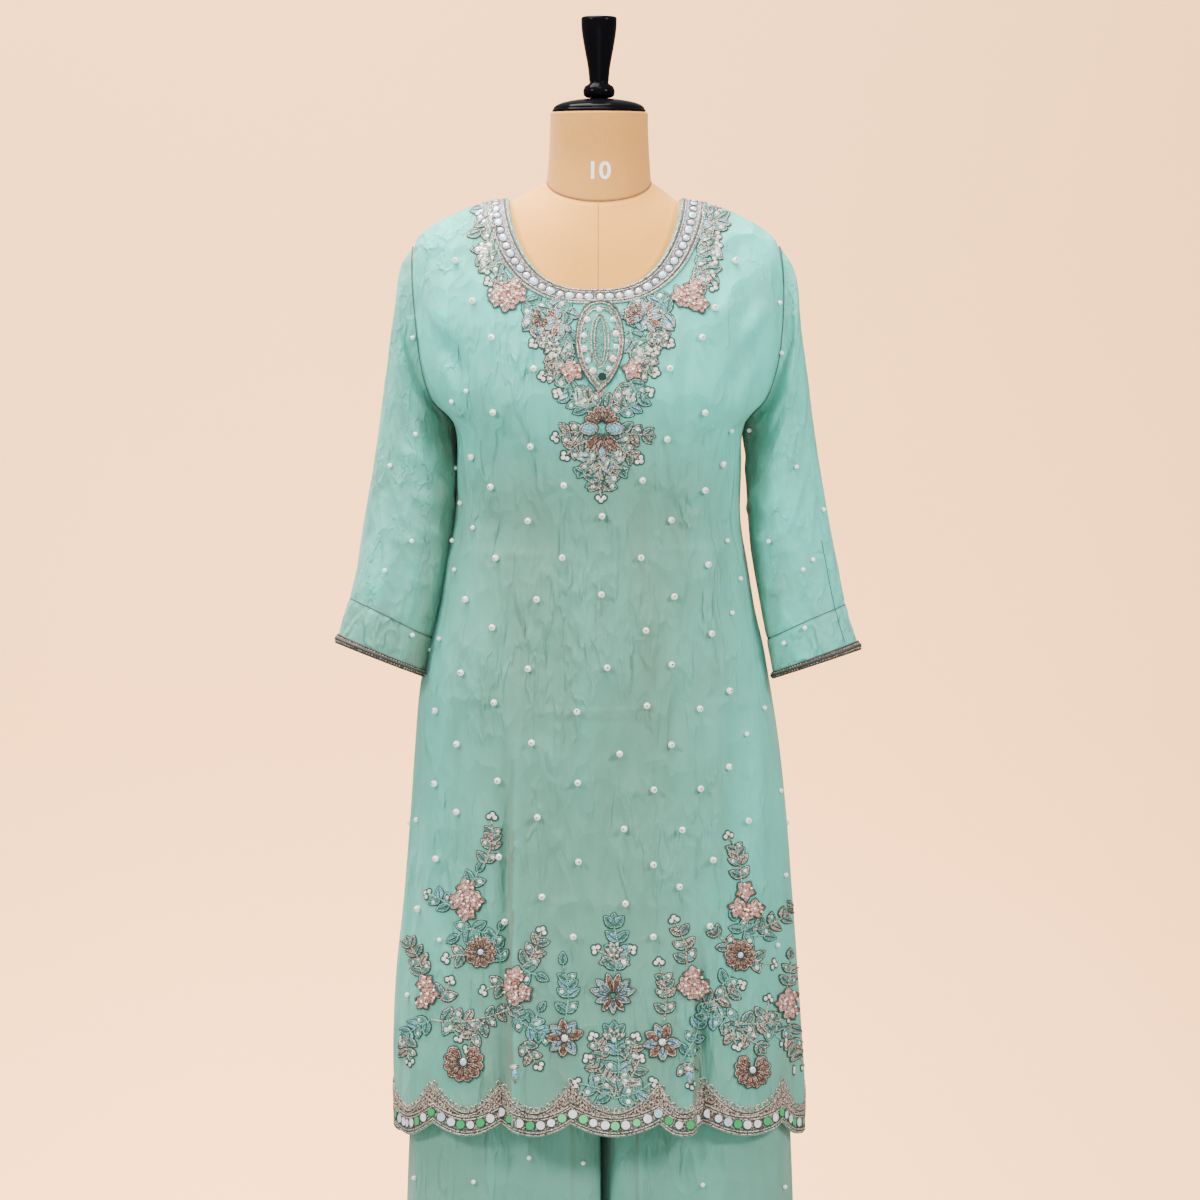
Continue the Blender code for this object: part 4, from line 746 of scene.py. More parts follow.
# Dark cords of painted shadow along the sleeves' seams and folds.
FOLD_SHADOW = Thread("fold shadow", Shades.SEAFOAM_DARK, Shades.SEAFOAM_DARK, 0.85, slot="georgette")
NECK_GROUND = LaceGround("neck band ground", Shades.LILAC, Shades.LILAC_DARK)
GROUND = LaceGround("lace ground", Shades.SILVER, Shades.SILVER_DARK, 0.55)
LINEN = Linen("form linen", Shades.LINEN, Shades.LINEN_DARK, 0.85)
# The neck's linen is darker than the torso's: partly painted shade for the less lit neck, partly a tanner
# tint.
SHADED_NECK_LINEN = Linen("neck linen", Shades.LINEN_NECK, Shades.LINEN_DEEP, 0.85)
SEAM = Thread("form seam", Shades.BRONZE, Shades.BRONZE_DARK, 0.8, slot="form_linen")
PRINT = Finish("white print", Shades.PRINT, Shades.CRYSTAL, 0.6, slot="form_linen")
BLACK = Lacquer("black lacquer", Shades.BLACK, Shades.BLACK, 0.2)
STEEL = Finish("satin steel", Shades.STEEL, Shades.CRYSTAL, 0.32, 1.0, "pole_steel")


# ---- making pieces
def make_piece(name: str, points: Sequence[Vector], faces: Sequence[Sequence[int]], finish: Finish,
        flat: Sequence[Plan] | None = None, tones_and_painted_light: Sequence[float] | None = None) -> Piece:
    """Make one piece of the suit from its mesh.

    Args:
        name: the piece's name.
        points: its points.
        faces: its faces, turned outwards.
        finish: the finish it takes.
        flat: where each point lies on the flat pattern, for a UV map in metres.
        tones_and_painted_light: how pale the cloth is painted at each point, painted light and painted
            shade included.

    Returns:
        The piece, riding on the body.
    """
    mesh = bpy.data.meshes.new(name)
    mesh.from_pydata([tuple(p) for p in points], [], [tuple(f) for f in faces])
    mesh.shade_smooth()
    if flat is not None:
        layer = mesh.uv_layers.new(name="flat")
        for loop in mesh.loops:
            layer.data[loop.index].uv = flat[loop.vertex_index]
    if tones_and_painted_light is not None:
        attribute = mesh.attributes.new("tone", "FLOAT", "POINT")
        attribute.data.foreach_set("value", list(tones_and_painted_light))
    piece = bpy.data.objects.new(name, mesh)
    bpy.context.collection.objects.link(piece)
    dress_piece(piece, finish)
    LOG.info("%s: %d faces", name, len(mesh.polygons))
    return piece


def dress_piece(piece: Piece, finish: Finish) -> None:
    """Give a piece its finish and its body."""
    piece.data.materials.clear()
    piece.data.materials.append(finish.material())
    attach(piece, "root")


def pick(piece: Piece) -> None:
    """Make a piece the only one that operators work on."""
    bpy.ops.object.select_all(action="DESELECT")
    bpy.context.view_layer.objects.active = piece
    piece.select_set(True)


def thicken(piece: Piece, thickness: float = SHELL) -> None:
    """Give a cloth sheet its thickness, inwards from its outer side."""
    pick(piece)
    solidify = piece.modifiers.new("wall", "SOLIDIFY")
    solidify.thickness = thickness
    solidify.offset = -1.0
    solidify.use_even_offset = False
    bpy.ops.object.modifier_apply(modifier=solidify.name)
    piece.select_set(False)


def outward(piece: Piece) -> None:
    """Turn a closed piece's faces outwards."""
    pick(piece)
    bpy.ops.object.mode_set(mode="EDIT")
    bpy.ops.mesh.select_all(action="SELECT")
    bpy.ops.mesh.normals_make_consistent(inside=False)
    bpy.ops.object.mode_set(mode="OBJECT")
    piece.select_set(False)


def grid(rows: int, columns: int, closed: bool = False, flip: bool = False) -> list[tuple]:
    """Give the quads of a grid of points, its columns open or running round."""
    faces = []
    for i in range(rows - 1):
        for j in range(columns if closed else columns - 1):
            k = (j + 1) % columns
            face = (i * columns + j, i * columns + k, (i + 1) * columns + k, (i + 1) * columns + j)
            faces.append(tuple(reversed(face)) if flip else face)
    return faces


def cap_ends(points: list[Vector], faces: list[tuple], columns: int) -> None:
    """Close the first and the last ring of a closed grid with a fan each."""
    for start in (0, len(points) - columns):
        points.append(sum(points[start:start + columns], Vector()) / columns)
        faces += [(start + k, start + (k + 1) % columns, len(points) - 1) for k in range(columns)]


def raised(spot: Spot, lift: float) -> Spot:
    """Give a place over another one."""
    return spot[0] + spot[1] * lift, spot[1]


def nowhere(x: float, z: float) -> Spot:
    """Give no place: for a needle that is told where the cloth is."""
    return Vector((x, 0.0, z)), Vector()


def along(x: float, z: float, angle: float, reach: float) -> Plan:
    """Give the place at an angle in degrees and a reach from another."""
    turn = math.radians(angle)
    return x + math.cos(turn) * reach, z + math.sin(turn) * reach


def directions(normal: Vector, aim: Vector | None = None) -> tuple[Vector, Vector]:
    """Give two directions on the cloth, the first towards an aim."""
    east = aim or Vector((1.0, 0.0, 0.0))
    east = (east - normal * east.dot(normal)).normalized()
    return east, normal.cross(east)


# ---- how the kameez hangs
@dataclass
class KameezDrape:
    """The surface on which both panels hang, read at (across, level)."""

    hem_z: float = 0.337
    cusps: list[float] = field(default_factory=list)
    scallop_depth: float = 0.016
    border: float = 0.034
    border_peak: float = 0.026
    bite: float = 0.170
    binding: float = 0.004
    trim: float = 0.015
    samples: int = 48
    levels: list[float] = field(default_factory=list)
    rings: dict[float, Ring] = field(default_factory=dict)
    arcs: dict[tuple, list[float]] = field(default_factory=dict)

    def __post_init__(self) -> None:
        """Measure the levels of the table's rings down the centre front."""
        self.levels = [0.0]
        for upper, lower in zip(KAMEEZ_RINGS, KAMEEZ_RINGS[1:]):
            self.levels.append(self.levels[-1] + math.hypot(lower.z_front - upper.z_front, lower.front
                - upper.front))
        self.hem = self.levels[-1]
        self.round = 2 * (self.girth(self.hem, FRONT) + self.girth(self.hem, BACK))
        first, last = FRONT_CUSPS[0], FRONT_CUSPS[-1]
        self.cusps = list(FRONT_CUSPS) + [last + (self.round + first - last) * k / BACK_SCALLOPS for k
            in range(1, BACK_SCALLOPS + 1)]

    def ring(self, level: float) -> Ring:
        """Give the ring at a level."""
        key = round(level, 6)
        if key not in self.rings:
            self.rings[key] = Ring(*(through(self.levels, column, level) for column in zip(*KAMEEZ_RINGS)))
        return self.rings[key]

    def ring_point(self, ring: Ring, facing: Facing, turn: float) -> Vector:
        """Give a ring's point at a turn from its centre to its left side."""
        across = abs(math.sin(turn)) ** ring.side * math.copysign(1.0, turn)
        fore = max(math.cos(turn), 0.0)
        depth, centre = (ring.front, ring.z_front) if facing == FRONT else (ring.back, ring.z_back)
        return Vector((ring.shift + (ring.half - CLOTH) * across, facing * (depth - CLOTH)
            * fore ** ring.face, ring.z_side - (ring.z_side - centre) * fore ** ring.drop))

    def arc(self, level: float, facing: Facing) -> list[float]:
        """Give the cloth's lengths from the centre to the side at a level."""
        key = (round(level, 6), facing)
        if key not in self.arcs:
            ring = self.ring(level)
            places = [self.ring_point(ring, facing, k / self.samples * math.pi / 2) for k
                in range(self.samples + 1)]
            lengths = [0.0]
            for one, two in zip(places, places[1:]):
                lengths.append(lengths[-1] + (two - one).length)
            self.arcs[key] = lengths
        return self.arcs[key]

    def girth(self, level: float, facing: Facing) -> float:
        """Give the cloth's length from its centre to its side seam."""
        return self.arc(level, facing)[-1]

    def turn_at(self, across: float, level: float, facing: Facing) -> float:
        """Give the turn round the ring at a length of cloth from the centre."""
        lengths = self.arc(level, facing)
        reach = min(abs(across), lengths[-1])
        k = 1
        while k < self.samples and lengths[k] < reach:
            k += 1
        share = (reach - lengths[k - 1]) / (lengths[k] - lengths[k - 1])
        return math.copysign((k - 1 + share) / self.samples * math.pi / 2, across)

    def fold_lift(self, across: float, z: float, facing: Facing) -> float:
        """Give how far the vertical folds push the cloth out."""
        lift = 0.0
        for fold in FRONT_FOLDS if facing == FRONT else BACK_FOLDS:
            grow = smoothstep(fold.z_top, fold.z_top - 0.28, z)
            if grow == 0.0:
                continue
            down = (fold.z_top - z) / (fold.z_top - self.hem_z)
            centre = fold.u_top + (fold.u_hem - fold.u_top) * down
            if fold.lie is Lie.PRESSED:
                outward = (across - centre) * math.copysign(1.0, centre)
                lift -= fold.height * grow * smoothstep(-fold.width / 2, fold.width / 2, outward)
            else:
                lift += fold.height * grow * bell(across - centre, fold.width)
        return lift

    def hang(self, across: float, level: float, facing: Facing) -> Vector:
        """Give where the solid's inside lies: the ring's point, moved out by the folds."""
        ring = self.ring(level)
        turn = self.turn_at(across, level, facing)
        point = self.ring_point(ring, facing, turn)
        reach = self.girth(level, facing)
        lift = self.fold_lift(across, point.z, facing)
        lift *= 1.0 - smoothstep(reach - 0.05, reach - 0.01, abs(across))
        if lift:
            out = Vector((math.sin(turn) / ring.half, facing * math.cos(turn) / ring.front, 0.0))
            point += out.normalized() * lift
        return point

    def spot(self, across: float, level: float, facing: Facing, lift: float = 0.0) -> Spot:
        """Give the cloth's outer point and normal, raised by a lift.

        Args:
            across: length of cloth from the panel's centre.
            level: level down the panel.
            facing: the panel, FRONT or BACK.
            lift: how far over the cloth.

        Returns:
            The point and the cloth's normal there.
        """
        step = 0.003
        reach = self.girth(level, facing)
        wide = max(min(across + step, reach), -reach), max(min(across - step, reach), -reach)
        east = self.hang(wide[0], level, facing) - self.hang(wide[1], level, facing)
        high, low = max(level - step, 0.0), min(level + step, self.hem)
        south = self.hang(across, low, facing) - self.hang(across, high, facing)
        normal = (south.cross(east) if facing == FRONT else east.cross(south)).normalized()
        point = self.hang(across, level, facing)
        seam = 1.0 - 0.7 * smoothstep(reach - 0.03, reach, abs(across))
        seam *= smoothstep(0.0, 0.03, level)
        table = FRONT_CREASES if facing == FRONT else BACK_CREASES
        wrinkle = 1.5 * crease_lift(point.x, point.z, table)
        wrinkle += crumple(point.x, point.z, 1.0 if facing == FRONT else 20.0)
        wrinkle += sum(step.height * step_share(point.x * -facing, point.z, step) for step in FRONT_STEPS)
        return point + normal * (CLOTH + wrinkle * seam + lift), normal

    def scallop(self, across: float, facing: Facing) -> float:
        """Give 0 at the middle of a scallop and 1 between two, all round the hem."""
        place = self.round / 2 - across if facing == BACK else across
        place += self.round if place < self.cusps[0] else 0.0
        k = max(i for i in range(len(self.cusps) - 1) if self.cusps[i] <= place)
        share = min((place - self.cusps[k]) / (self.cusps[k + 1] - self.cusps[k]), 1.0)
        return 1.0 - abs(math.sin(math.pi * share)) ** 0.85

    def hem_level(self, across: float, facing: Facing) -> float:
        """Give the level of the scalloped hem."""
        return self.hem - self.scallop_depth * self.scallop(across, facing)

    def border_level(self, across: float, facing: Facing) -> float:
        """Give the level of the lace's upper edge."""
        climb = self.border_peak + self.scallop_depth * 0.6
        return self.hem - self.border - climb * self.scallop(across, facing)

    def edge(self, level: float, facing: Facing) -> float:
        """Give a panel's half width at a level: to the seam or to the armhole's edge."""
        top, bottom = self.levels[SHOULDER_TIP], self.levels[UNDERARM]
        share = min(max((level - top) / (bottom - top), 0.0), 1.0)
        bite = self.bite * math.sin(math.pi * share) ** 0.6 if 0.0 < share < 1.0 else 0.0
        return self.girth(level, facing) * (1.0 - bite) - SEAM_GAP / 2


# ---- needlework
@dataclass
class Bundle:
    """Mesh of all the work in one finish."""

    points: list[Vector] = field(default_factory=list)
    faces: list[tuple] = field(default_factory=list)

    def add(self, points: Sequence[Vector], faces: Iterable[Sequence[int]]) -> None:
        """Add one small shape."""
        start = len(self.points)
        self.points += points
        self.faces += [tuple(start + i for i in face) for face in faces]


@dataclass
class Needle:
    """Lays cords, petals, stones and beads on a cloth, one bundle for each finish."""

    region: str
    find: Callable[[float, float], Spot] = nowhere
    crisp: float = 75.0
    bundles: dict[Finish, Bundle] = field(default_factory=dict)

    def bundle(self, finish: Finish) -> Bundle:
        """Give a finish's bundle."""
        return self.bundles.setdefault(finish, Bundle())

    def cord_along(self, spots: Sequence[Spot], finish: Finish, radius: float = 0.0006,
            closed: bool = False, sides: int = 5) -> None:
        """Lay a cord along places on the cloth.

        Args:
            spots: points and normals of the cloth along the cord's way.
            finish: the cord's thread.
            radius: half the cord's thickness.
            closed: whether its ends meet.
            sides: faces round the cord.
        """
        count = len(spots)
        turns = around(sides)
        points = []
        for k, (point, normal) in enumerate(spots):
            ahead = spots[(k + 1) % count][0] if closed or k < count - 1 else point
            behind = spots[k - 1][0] if closed or k > 0 else point
            tangent = (ahead - behind).normalized()
            aside = tangent.cross(normal).normalized()
            centre = point + normal * radius * 0.8
            points += [centre + (aside * math.cos(turn) + normal * math.sin(turn)) * radius for turn
                in turns]
        faces = [(k * sides + s, (k + 1) % count * sides + s, (k + 1) % count * sides + t, k * sides + t)
            for k in range(count if closed else count - 1) for s, t in zip(range(sides),
            [*range(1, sides), 0])]
        if not closed:
            faces.append(tuple(range(sides)))
            faces.append(tuple(reversed(range((count - 1) * sides, count * sides))))
        self.bundle(finish).add(points, faces)

    def cord(self, plan: Sequence[Plan], finish: Finish, radius: float = 0.0006, closed: bool = False,
            lift: float = 0.0) -> None:
        """Lay a cord along places drawn on the plan."""
        self.cord_along([raised(self.find(x, z), lift) for x, z in plan], finish, radius, closed)

    def stem(self, start: Plan, end: Plan, bend: float, finish: Finish,
            radius: float = 0.0006) -> list[Plan]:
        """Lay a bowed stem and give its places."""
        dx, dz = end[0] - start[0], end[1] - start[1]
        way = [(start[0] + dx * t - dz * bend * math.sin(math.pi * t), start[1] + dz * t + dx * bend
            * math.sin(math.pi * t)) for t in even(0, 1, 7)]
        self.cord(way, finish, radius)
        return way

    @staticmethod
    def petal_outline(x: float, z: float, angle: float, length: float, width: float, count: int = 10,
            point: float = 0.8) -> list[Plan]:
        """Give the outline of a petal or leaf that grows from a place at an angle in degrees."""
        ux, uz = along(0.0, 0.0, angle, 1.0)
        outline = []
        for k in range(count):
            t = (1 - math.cos(2 * math.pi * k / count)) / 2
            half = width / 2 * math.sin(math.pi * t ** point) ** 0.7 if 0.0 < t < 1.0 else 0.0
            half = half if k <= count / 2 else -half
            outline.append((x + ux * length * t - uz * half, z + uz * length * t + ux * half))
        return outline

    def loop(self, x: float, z: float, angle: float, length: float, width: float, finish: Finish,
            radius: float = 0.0008, lift: float = 0.0, point: float = 0.8) -> None:
        """Lay a closed loop of cord, shaped as a petal or leaf."""
        self.cord(self.petal_outline(x, z, angle, length, width, 10, point), finish, radius, True, lift)

    def satin(self, x: float, z: float, angle: float, length: float, width: float, finish: Finish,
            rise: float = 0.0011, edge: Finish | None = None, point: float = 0.8,
            foot: float = 0.0001) -> None:
        """Lay a filled, domed petal, with a corded edge where one is named."""
        outline = self.petal_outline(x, z, angle, length, width, 12, point)
        cx = sum(p[0] for p in outline) / len(outline)
        cz = sum(p[1] for p in outline) / len(outline)
        points = []
        for share, lift in ((1.0, foot), (0.72, rise * 0.8), (0.0, rise)):
            for px, pz in outline if share else outline[:1]:
                spot, normal = self.find(cx + (px - cx) * share, cz + (pz - cz) * share)
                points.append(spot + normal * lift)
        count = len(outline)
        faces = grid(2, count, closed=True)
        faces += [(count + k, count + (k + 1) % count, 2 * count) for k in range(count)]
        self.bundle(finish).add(points, [self.turned_up(points, f, x, z) for f in faces])
        if edge is not None:
            self.cord(outline, edge, 0.00075, True, rise * 0.45)

    def turned_up(self, points: Sequence[Vector], face: Sequence[int], x: float, z: float) -> Sequence[int]:
        """Turn a face so that it looks away from the cloth."""
        a, b, c = (points[i] for i in face[:3])
        normal = self.find(x, z)[1]
        return face if (b - a).cross(c - a).dot(normal) > 0 else tuple(reversed(face))

    def jewel_at(self, spot: Spot, profile: Sequence[Plan], finish: Finish, sides: int = 8,
            aspect: float = 1.0, aim: Vector | None = None) -> None:
        """Set a round piece on the cloth.

        Args:
            spot: where it stands.
            profile: its radii and heights from the cloth up.
            finish: what it is made of.
            sides: faces round it.
            aspect: length over width.
            aim: the direction of its length.
        """
        point, normal = spot
        east, north = directions(normal, aim)
        points = []
        for radius, height in profile:
            points += [point + east * radius * aspect * math.cos(turn) + north * radius * math.sin(turn)
                + normal * height for turn in around(sides, 0.5)]
        faces = grid(len(profile), sides, closed=True)
        last = (len(profile) - 1) * sides
        faces.append(tuple(range(last, last + sides)))
        faces.append(tuple(reversed(range(sides))))
        self.bundle(finish).add(points, faces)

    def stone_at(self, spot: Spot, radius: float, finish: Finish, aspect: float = 1.0, aim: Vector
            | None = None) -> None:
        """Set a rounded stone with a thin rim of cord round it."""
        self.jewel_at(spot, ((radius, 0.0), (radius, 0.0006), (radius * 0.8, 0.0013),
            (radius * 0.4, 0.0017)), finish, 10, aspect, aim)

    def mirror_at(self, spot: Spot, radius: float, finish: Finish, rim: Finish = SILVER) -> None:
        """Set a flat round mirror in a ring of cord."""
        self.jewel_at(spot, ((radius * 0.92, 0.0), (radius * 0.92, 0.0012)), finish, 12)
        east, north = directions(spot[1])
        ring = [(spot[0] + (east * math.cos(a) + north * math.sin(a)) * radius, spot[1]) for a
            in around(10)]
        self.cord_along(ring, rim, 0.0007, True)

    def bead_at(self, spot: Spot, radius: float, finish: Finish = PEARL, sides: int = 10,
            rows: int = 5) -> None:
        """Sew on a round bead."""
        profile = []
        for k in range(rows + 1):
            turn = math.radians(-72 + 144 * k / rows)
            profile.append((radius * math.cos(turn), radius * (0.85 + math.sin(turn))))
        self.jewel_at(spot, profile, finish, sides)

    def pieces(self) -> list[Piece]:
        """Make one piece of each bundle."""
        made = []
        for finish, bundle in self.bundles.items():
            name = f"{self.region}_{finish.name.replace(' ', '_')}"
            piece = make_piece(name, bundle.points, bundle.faces, finish)
            pick(piece)
            bpy.ops.object.shade_smooth_by_angle(angle=math.radians(self.crisp))
            piece.select_set(False)
            made.append(piece)
        return made


# ---- cloth pieces
@dataclass
class Kameez:
    """The kameez's two panels and its neck binding."""

    drape: KameezDrape
    columns: int = 204
    back_columns: int = 144
    row_step: float = 0.0056
    scallop_rows: int = 16

    def panel(self, facing: Facing, name: str) -> Piece:
        """Make a panel as one thin shell on the pattern's grid."""
        drape = self.drape
        start = drape.binding + SEAM_GAP
        level_end = drape.hem - drape.scallop_depth - 0.045
        plain = even(start, level_end, round((level_end - start) / self.row_step))
        shares = even(-1.0, 1.0, self.columns if facing == FRONT else self.back_columns)
        rows = [[(share * drape.edge(level, facing), level) for share in shares] for level in plain]
        reach = drape.edge(drape.hem, facing)
        for k in range(1, self.scallop_rows + 1):
            row = []
            for share in shares:
                level = drape.hem_level(share * reach, facing)
                level = level_end + (level - level_end) * k / self.scallop_rows
                row.append((share * drape.edge(level, facing), level))
            rows.append(row)
        flat = [place for row in rows for place in row]
        spots = [drape.spot(u, v, facing) for u, v in flat]
        faces = grid(len(rows), len(shares), flip=facing == BACK)
        tones_and_painted_light = [self.tone(point) for point, _ in spots]
        piece = make_piece(name, [point for point, _ in spots], faces, GEORGETTE, flat, tones_and_painted_light)
        thicken(piece)
        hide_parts(name.replace("_cloth", ""))
        return piece

    @staticmethod
    def tone(point: Vector) -> float:
        """Tell how pale the cloth is painted: paler at the sides, painted light over the upper body, darker
        low at the sides, and painted shade and highlight beside the pressed edges and along the folds.
        """
        # Paler at the sides; painted light over the upper body, less of it just under the neck; darker low
        # at the sides.
        side = smoothstep(0.08, 0.20, abs(point.x + 0.01))
        top = smoothstep(1.08, 1.26, point.z) - 0.25 * smoothstep(1.34, 1.42, point.z)
        low = smoothstep(0.62, 0.42, point.z) * smoothstep(0.08, 0.20, abs(point.x))
        flat = 0.27 + 0.37 * side + 0.67 * top * (1.0 - 0.3 * side) - 0.24 * low
        # Painted shade beside the pressed layers' edges, and streaks of painted shade and painted
        # highlight, mirrored on the back.
        x = point.x if point.y < 0.0 else -point.x
        flat += sum(step.tone * step_share(x, point.z, step) for step in FRONT_STEPS)
        return flat + crease_lift(x, point.z, FRONT_PAINTED_LIGHT)

    def declare(self, facing: Facing) -> None:
        """Work out a panel's area from its levels, and keep nothing of it; the panel is cut 0.62 m wide and
        1.13 m long before its shaping.
        """
        drape = self.drape
        levels = even(drape.binding, drape.hem, 60)
        area = sum(2 * drape.edge(v, facing) * (levels[1] - levels[0]) for v in levels[:-1])

    def binding(self) -> Piece:
        """Make the rounded binding round the whole neckline."""
        drape = self.drape
        rows = []
        for angle in range(0, 360, 36):
            turn = math.radians(angle)
            level = drape.binding * 0.5 + drape.binding * 0.5 * math.cos(turn)
            lift = 0.0009 * math.sin(turn) + 0.0002
            row = []
            for facing, shares in ((FRONT, even(-1, 1, 90)), (BACK, even(1, -1, 90))):
                row += [drape.spot(s * drape.girth(level, facing), level, facing, lift)[0] for s
                    in shares[:-1]]
            rows.append(row)
        count = len(rows[0])
        points = [p for row in rows for p in row]
        faces = [tuple((i % (len(rows) * count)) for i in face) for face in grid(len(rows) + 1, count,
            closed=True)]
        piece = make_piece("neck_binding_cloth", points, faces, GEORGETTE, tones_and_painted_light=[0.6] * len(points))
        outward(piece)
        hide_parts("neck_binding")
        return piece


@dataclass
class Sleeve:
    """One sleeve, from the armhole's edge to its cuff."""

    side: Side
    table: Sequence[SleeveRow]
    drape: KameezDrape
    rows: int = 118
    columns: int = 100
    hem_share: float = 0.885
    points: list[Vector] = field(default_factory=list)
    normals: list[Vector] = field(default_factory=list)

    @property
    def name(self) -> str:
        """Give the side's name."""
        return self.side.name.lower()

    def ring_point(self, row: SleeveRow, turn: float) -> Vector:
        """Give a table ring's outer point at a turn: outside, front, inside, back."""
        outer = Vector((row.outer_x, 0.0, row.outer_z))
        inner = Vector((row.inner_x, 0.0, row.inner_z))
        reach = (outer - inner) / 2
        away = Vector((reach.z, 0.0, -reach.x)).normalized()
        if away.x * row.outer_x < 0:
            away = -away
        return ((outer + inner) / 2 + Vector((0.0, row.y, 0.0)) + reach * math.cos(turn) + away * row.bow
            * abs(math.sin(turn)) + Vector((0.0, -row.depth * math.sin(turn), 0.0)))

    def armhole_points(self, turn: float) -> list[Vector]:
        """Give the seam's lap at a turn: just inside the panel's edge, and on it."""
        facing = FRONT if turn <= math.pi else BACK
        top, bottom = self.drape.levels[SHOULDER_TIP], self.drape.levels[UNDERARM]
        level = top + (bottom - top) * (1.0 - math.cos(turn)) / 2
        edge = self.drape.edge(level, facing)
        lap = 0.004 * math.sin(math.pi * min(max((level - top) / (bottom - top), 0.0), 1.0))
        return [self.drape.spot(self.side * (edge - lap), level, facing, 0.0012)[0],
            self.drape.spot(self.side * edge, level, facing, 0.0022)[0]]

    def lay_out(self) -> None:
        """Lay out the sleeve's points, smooth along its length, and crease them."""
        columns = []
        for turn in around(self.columns):
            way = self.armhole_points(turn) + [self.ring_point(row, turn) for row in self.table]
            stations = [0.0]
            for one, two in zip(way, way[1:]):
                stations.append(stations[-1] + max((two - one).length, 0.004))
            columns.append([Vector([through(stations, [p[i] for p in way], stations[-1] * t) for i
                in range(3)]) for t in even(0, 1, self.rows)])
        base = [[column[i] for column in columns] for i in range(self.rows + 1)]
        for i in range(self.rows + 1):
            share = i / self.rows
            for j in range(self.columns):
                across = base[i][(j + 1) % self.columns] - base[i][j - 1]
                down = base[min(i + 1, self.rows)][j] - base[max(i - 1, 0)][j]
                normal = across.cross(down).normalized()
                centre = sum(base[i], Vector()) / self.columns
                if normal.dot(base[i][j] - centre) < 0:
                    normal = -normal
                self.points.append(base[i][j] + normal * self.lift(j, share, base[i][j]))
                self.normals.append(normal)

    def lift(self, column: int, share: float, point: Vector) -> float:
        """Give how far the creases and the turned hem raise the sleeve."""
        degrees = 360.0 * column / self.columns
        left = self.side is Side.LEFT
        turn, place = (degrees - 7.0, share * 0.97 + 0.015) if left else (degrees, share)
        wrinkle = crease_lift(turn, place, SLEEVE_CREASES, 600.0) * 1.5
        wrinkle += crumple(point.x + point.y, point.z, 40.0 + self.side) * 1.3
        calm = smoothstep(0.0, 0.05, share) * (1.0 - smoothstep(0.93, 0.99, share))
        turned = self.hem_at(degrees)
        hem = 0.0008 * smoothstep(turned - 0.004, turned + 0.004, share)
        inner = smoothstep(110.0, 170.0, 180.0 - abs(degrees - 180.0)) * smoothstep(0.0, 0.03, share)
        fuller = 0.0052 if self.side < 0 else 0.0050 * smoothstep(0.16, 0.05, share)
        return wrinkle * calm + hem - 0.0012 * bell(share - turned, 0.006) + fuller * inner

    def hem_at(self, degrees: float) -> float:
        """Tell how far down the sleeve its turned hem ends, a little higher on the inner side."""
        return self.hem_share - 0.018 * (1.0 - math.cos(math.radians(degrees)))

    def tone(self, degrees: float, share: float) -> float:
        """Tell how pale the sheer sleeve is painted: painted shade on its inner side and at the armhole
        seam, the left sleeve paler than the right, random mottle, and deeper where it is double, with a
        dark line at the hem's turned edge.
        """
        # Painted shade on the inner side, towards the body, more of it high up, and at the armhole seam.
        inner = smoothstep(92.0, 160.0, 180.0 - abs(degrees - 180.0))
        high = smoothstep(0.55, 0.10, share)
        flat = 0.84 - (0.44 + 0.34 * high) * inner - 0.16 * smoothstep(0.05, 0.0, share)
        # The left sleeve paler than the right, the more so towards the cuff.
        flat += self.side * (0.10 + 0.16 * smoothstep(0.70, 0.95, share))
        cloud = noise.noise(Vector((degrees * 0.05, share * 9.0, 11.0 + self.side)))
        turned = self.hem_at(degrees)
        hem = 0.10 * smoothstep(turned - 0.003, turned + 0.003, share)
        return flat + 0.16 * cloud - hem - 0.36 * bell(share - turned, 0.0045)

    def make(self) -> Piece:
        """Make the sleeve's shell."""
        self.lay_out()
        faces = grid(self.rows + 1, self.columns, closed=True)
        a, b, c = (self.points[i] for i in faces[self.columns * 20][:3])
        if (b - a).cross(c - a).dot(self.normals[self.columns * 20]) < 0:
            faces = [tuple(reversed(face)) for face in faces]
        tones_and_painted_light = [self.tone(360.0 * (k % self.columns) / self.columns, k // self.columns / self.rows) for k
            in range(len(self.points))]
        piece = make_piece(f"sleeve_{self.name}_cloth", self.points, faces, SHEER,
            [(0.42 * (k % self.columns) / self.columns, 0.52 * (k // self.columns) / self.rows) for k
            in range(len(self.points))], tones_and_painted_light)
        thicken(piece)
        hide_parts(f"sleeve_{self.name}")
        return piece

    def spot(self, degrees: float, share: float, lift: float = 0.0) -> Spot:
        """Give the sleeve's point and normal at a turn and a share of its length."""
        j = degrees / 360.0 * self.columns
        i = min(share * self.rows, self.rows - 0.001)
        i0, j0 = int(i), int(j)
        di, dj = i - i0, j - j0
        point, normal = Vector(), Vector()
        for ii, jj, weight in ((i0, j0, (1 - di) * (1 - dj)), (i0, j0 + 1, (1 - di) * dj),
                (i0 + 1, j0, di * (1 - dj)), (i0 + 1, j0 + 1, di * dj)):
            index = min(ii, self.rows) * self.columns + jj % self.columns
            point += self.points[index] * weight
            normal += self.normals[index] * weight
        normal.normalize()
        return point + normal * lift, normal

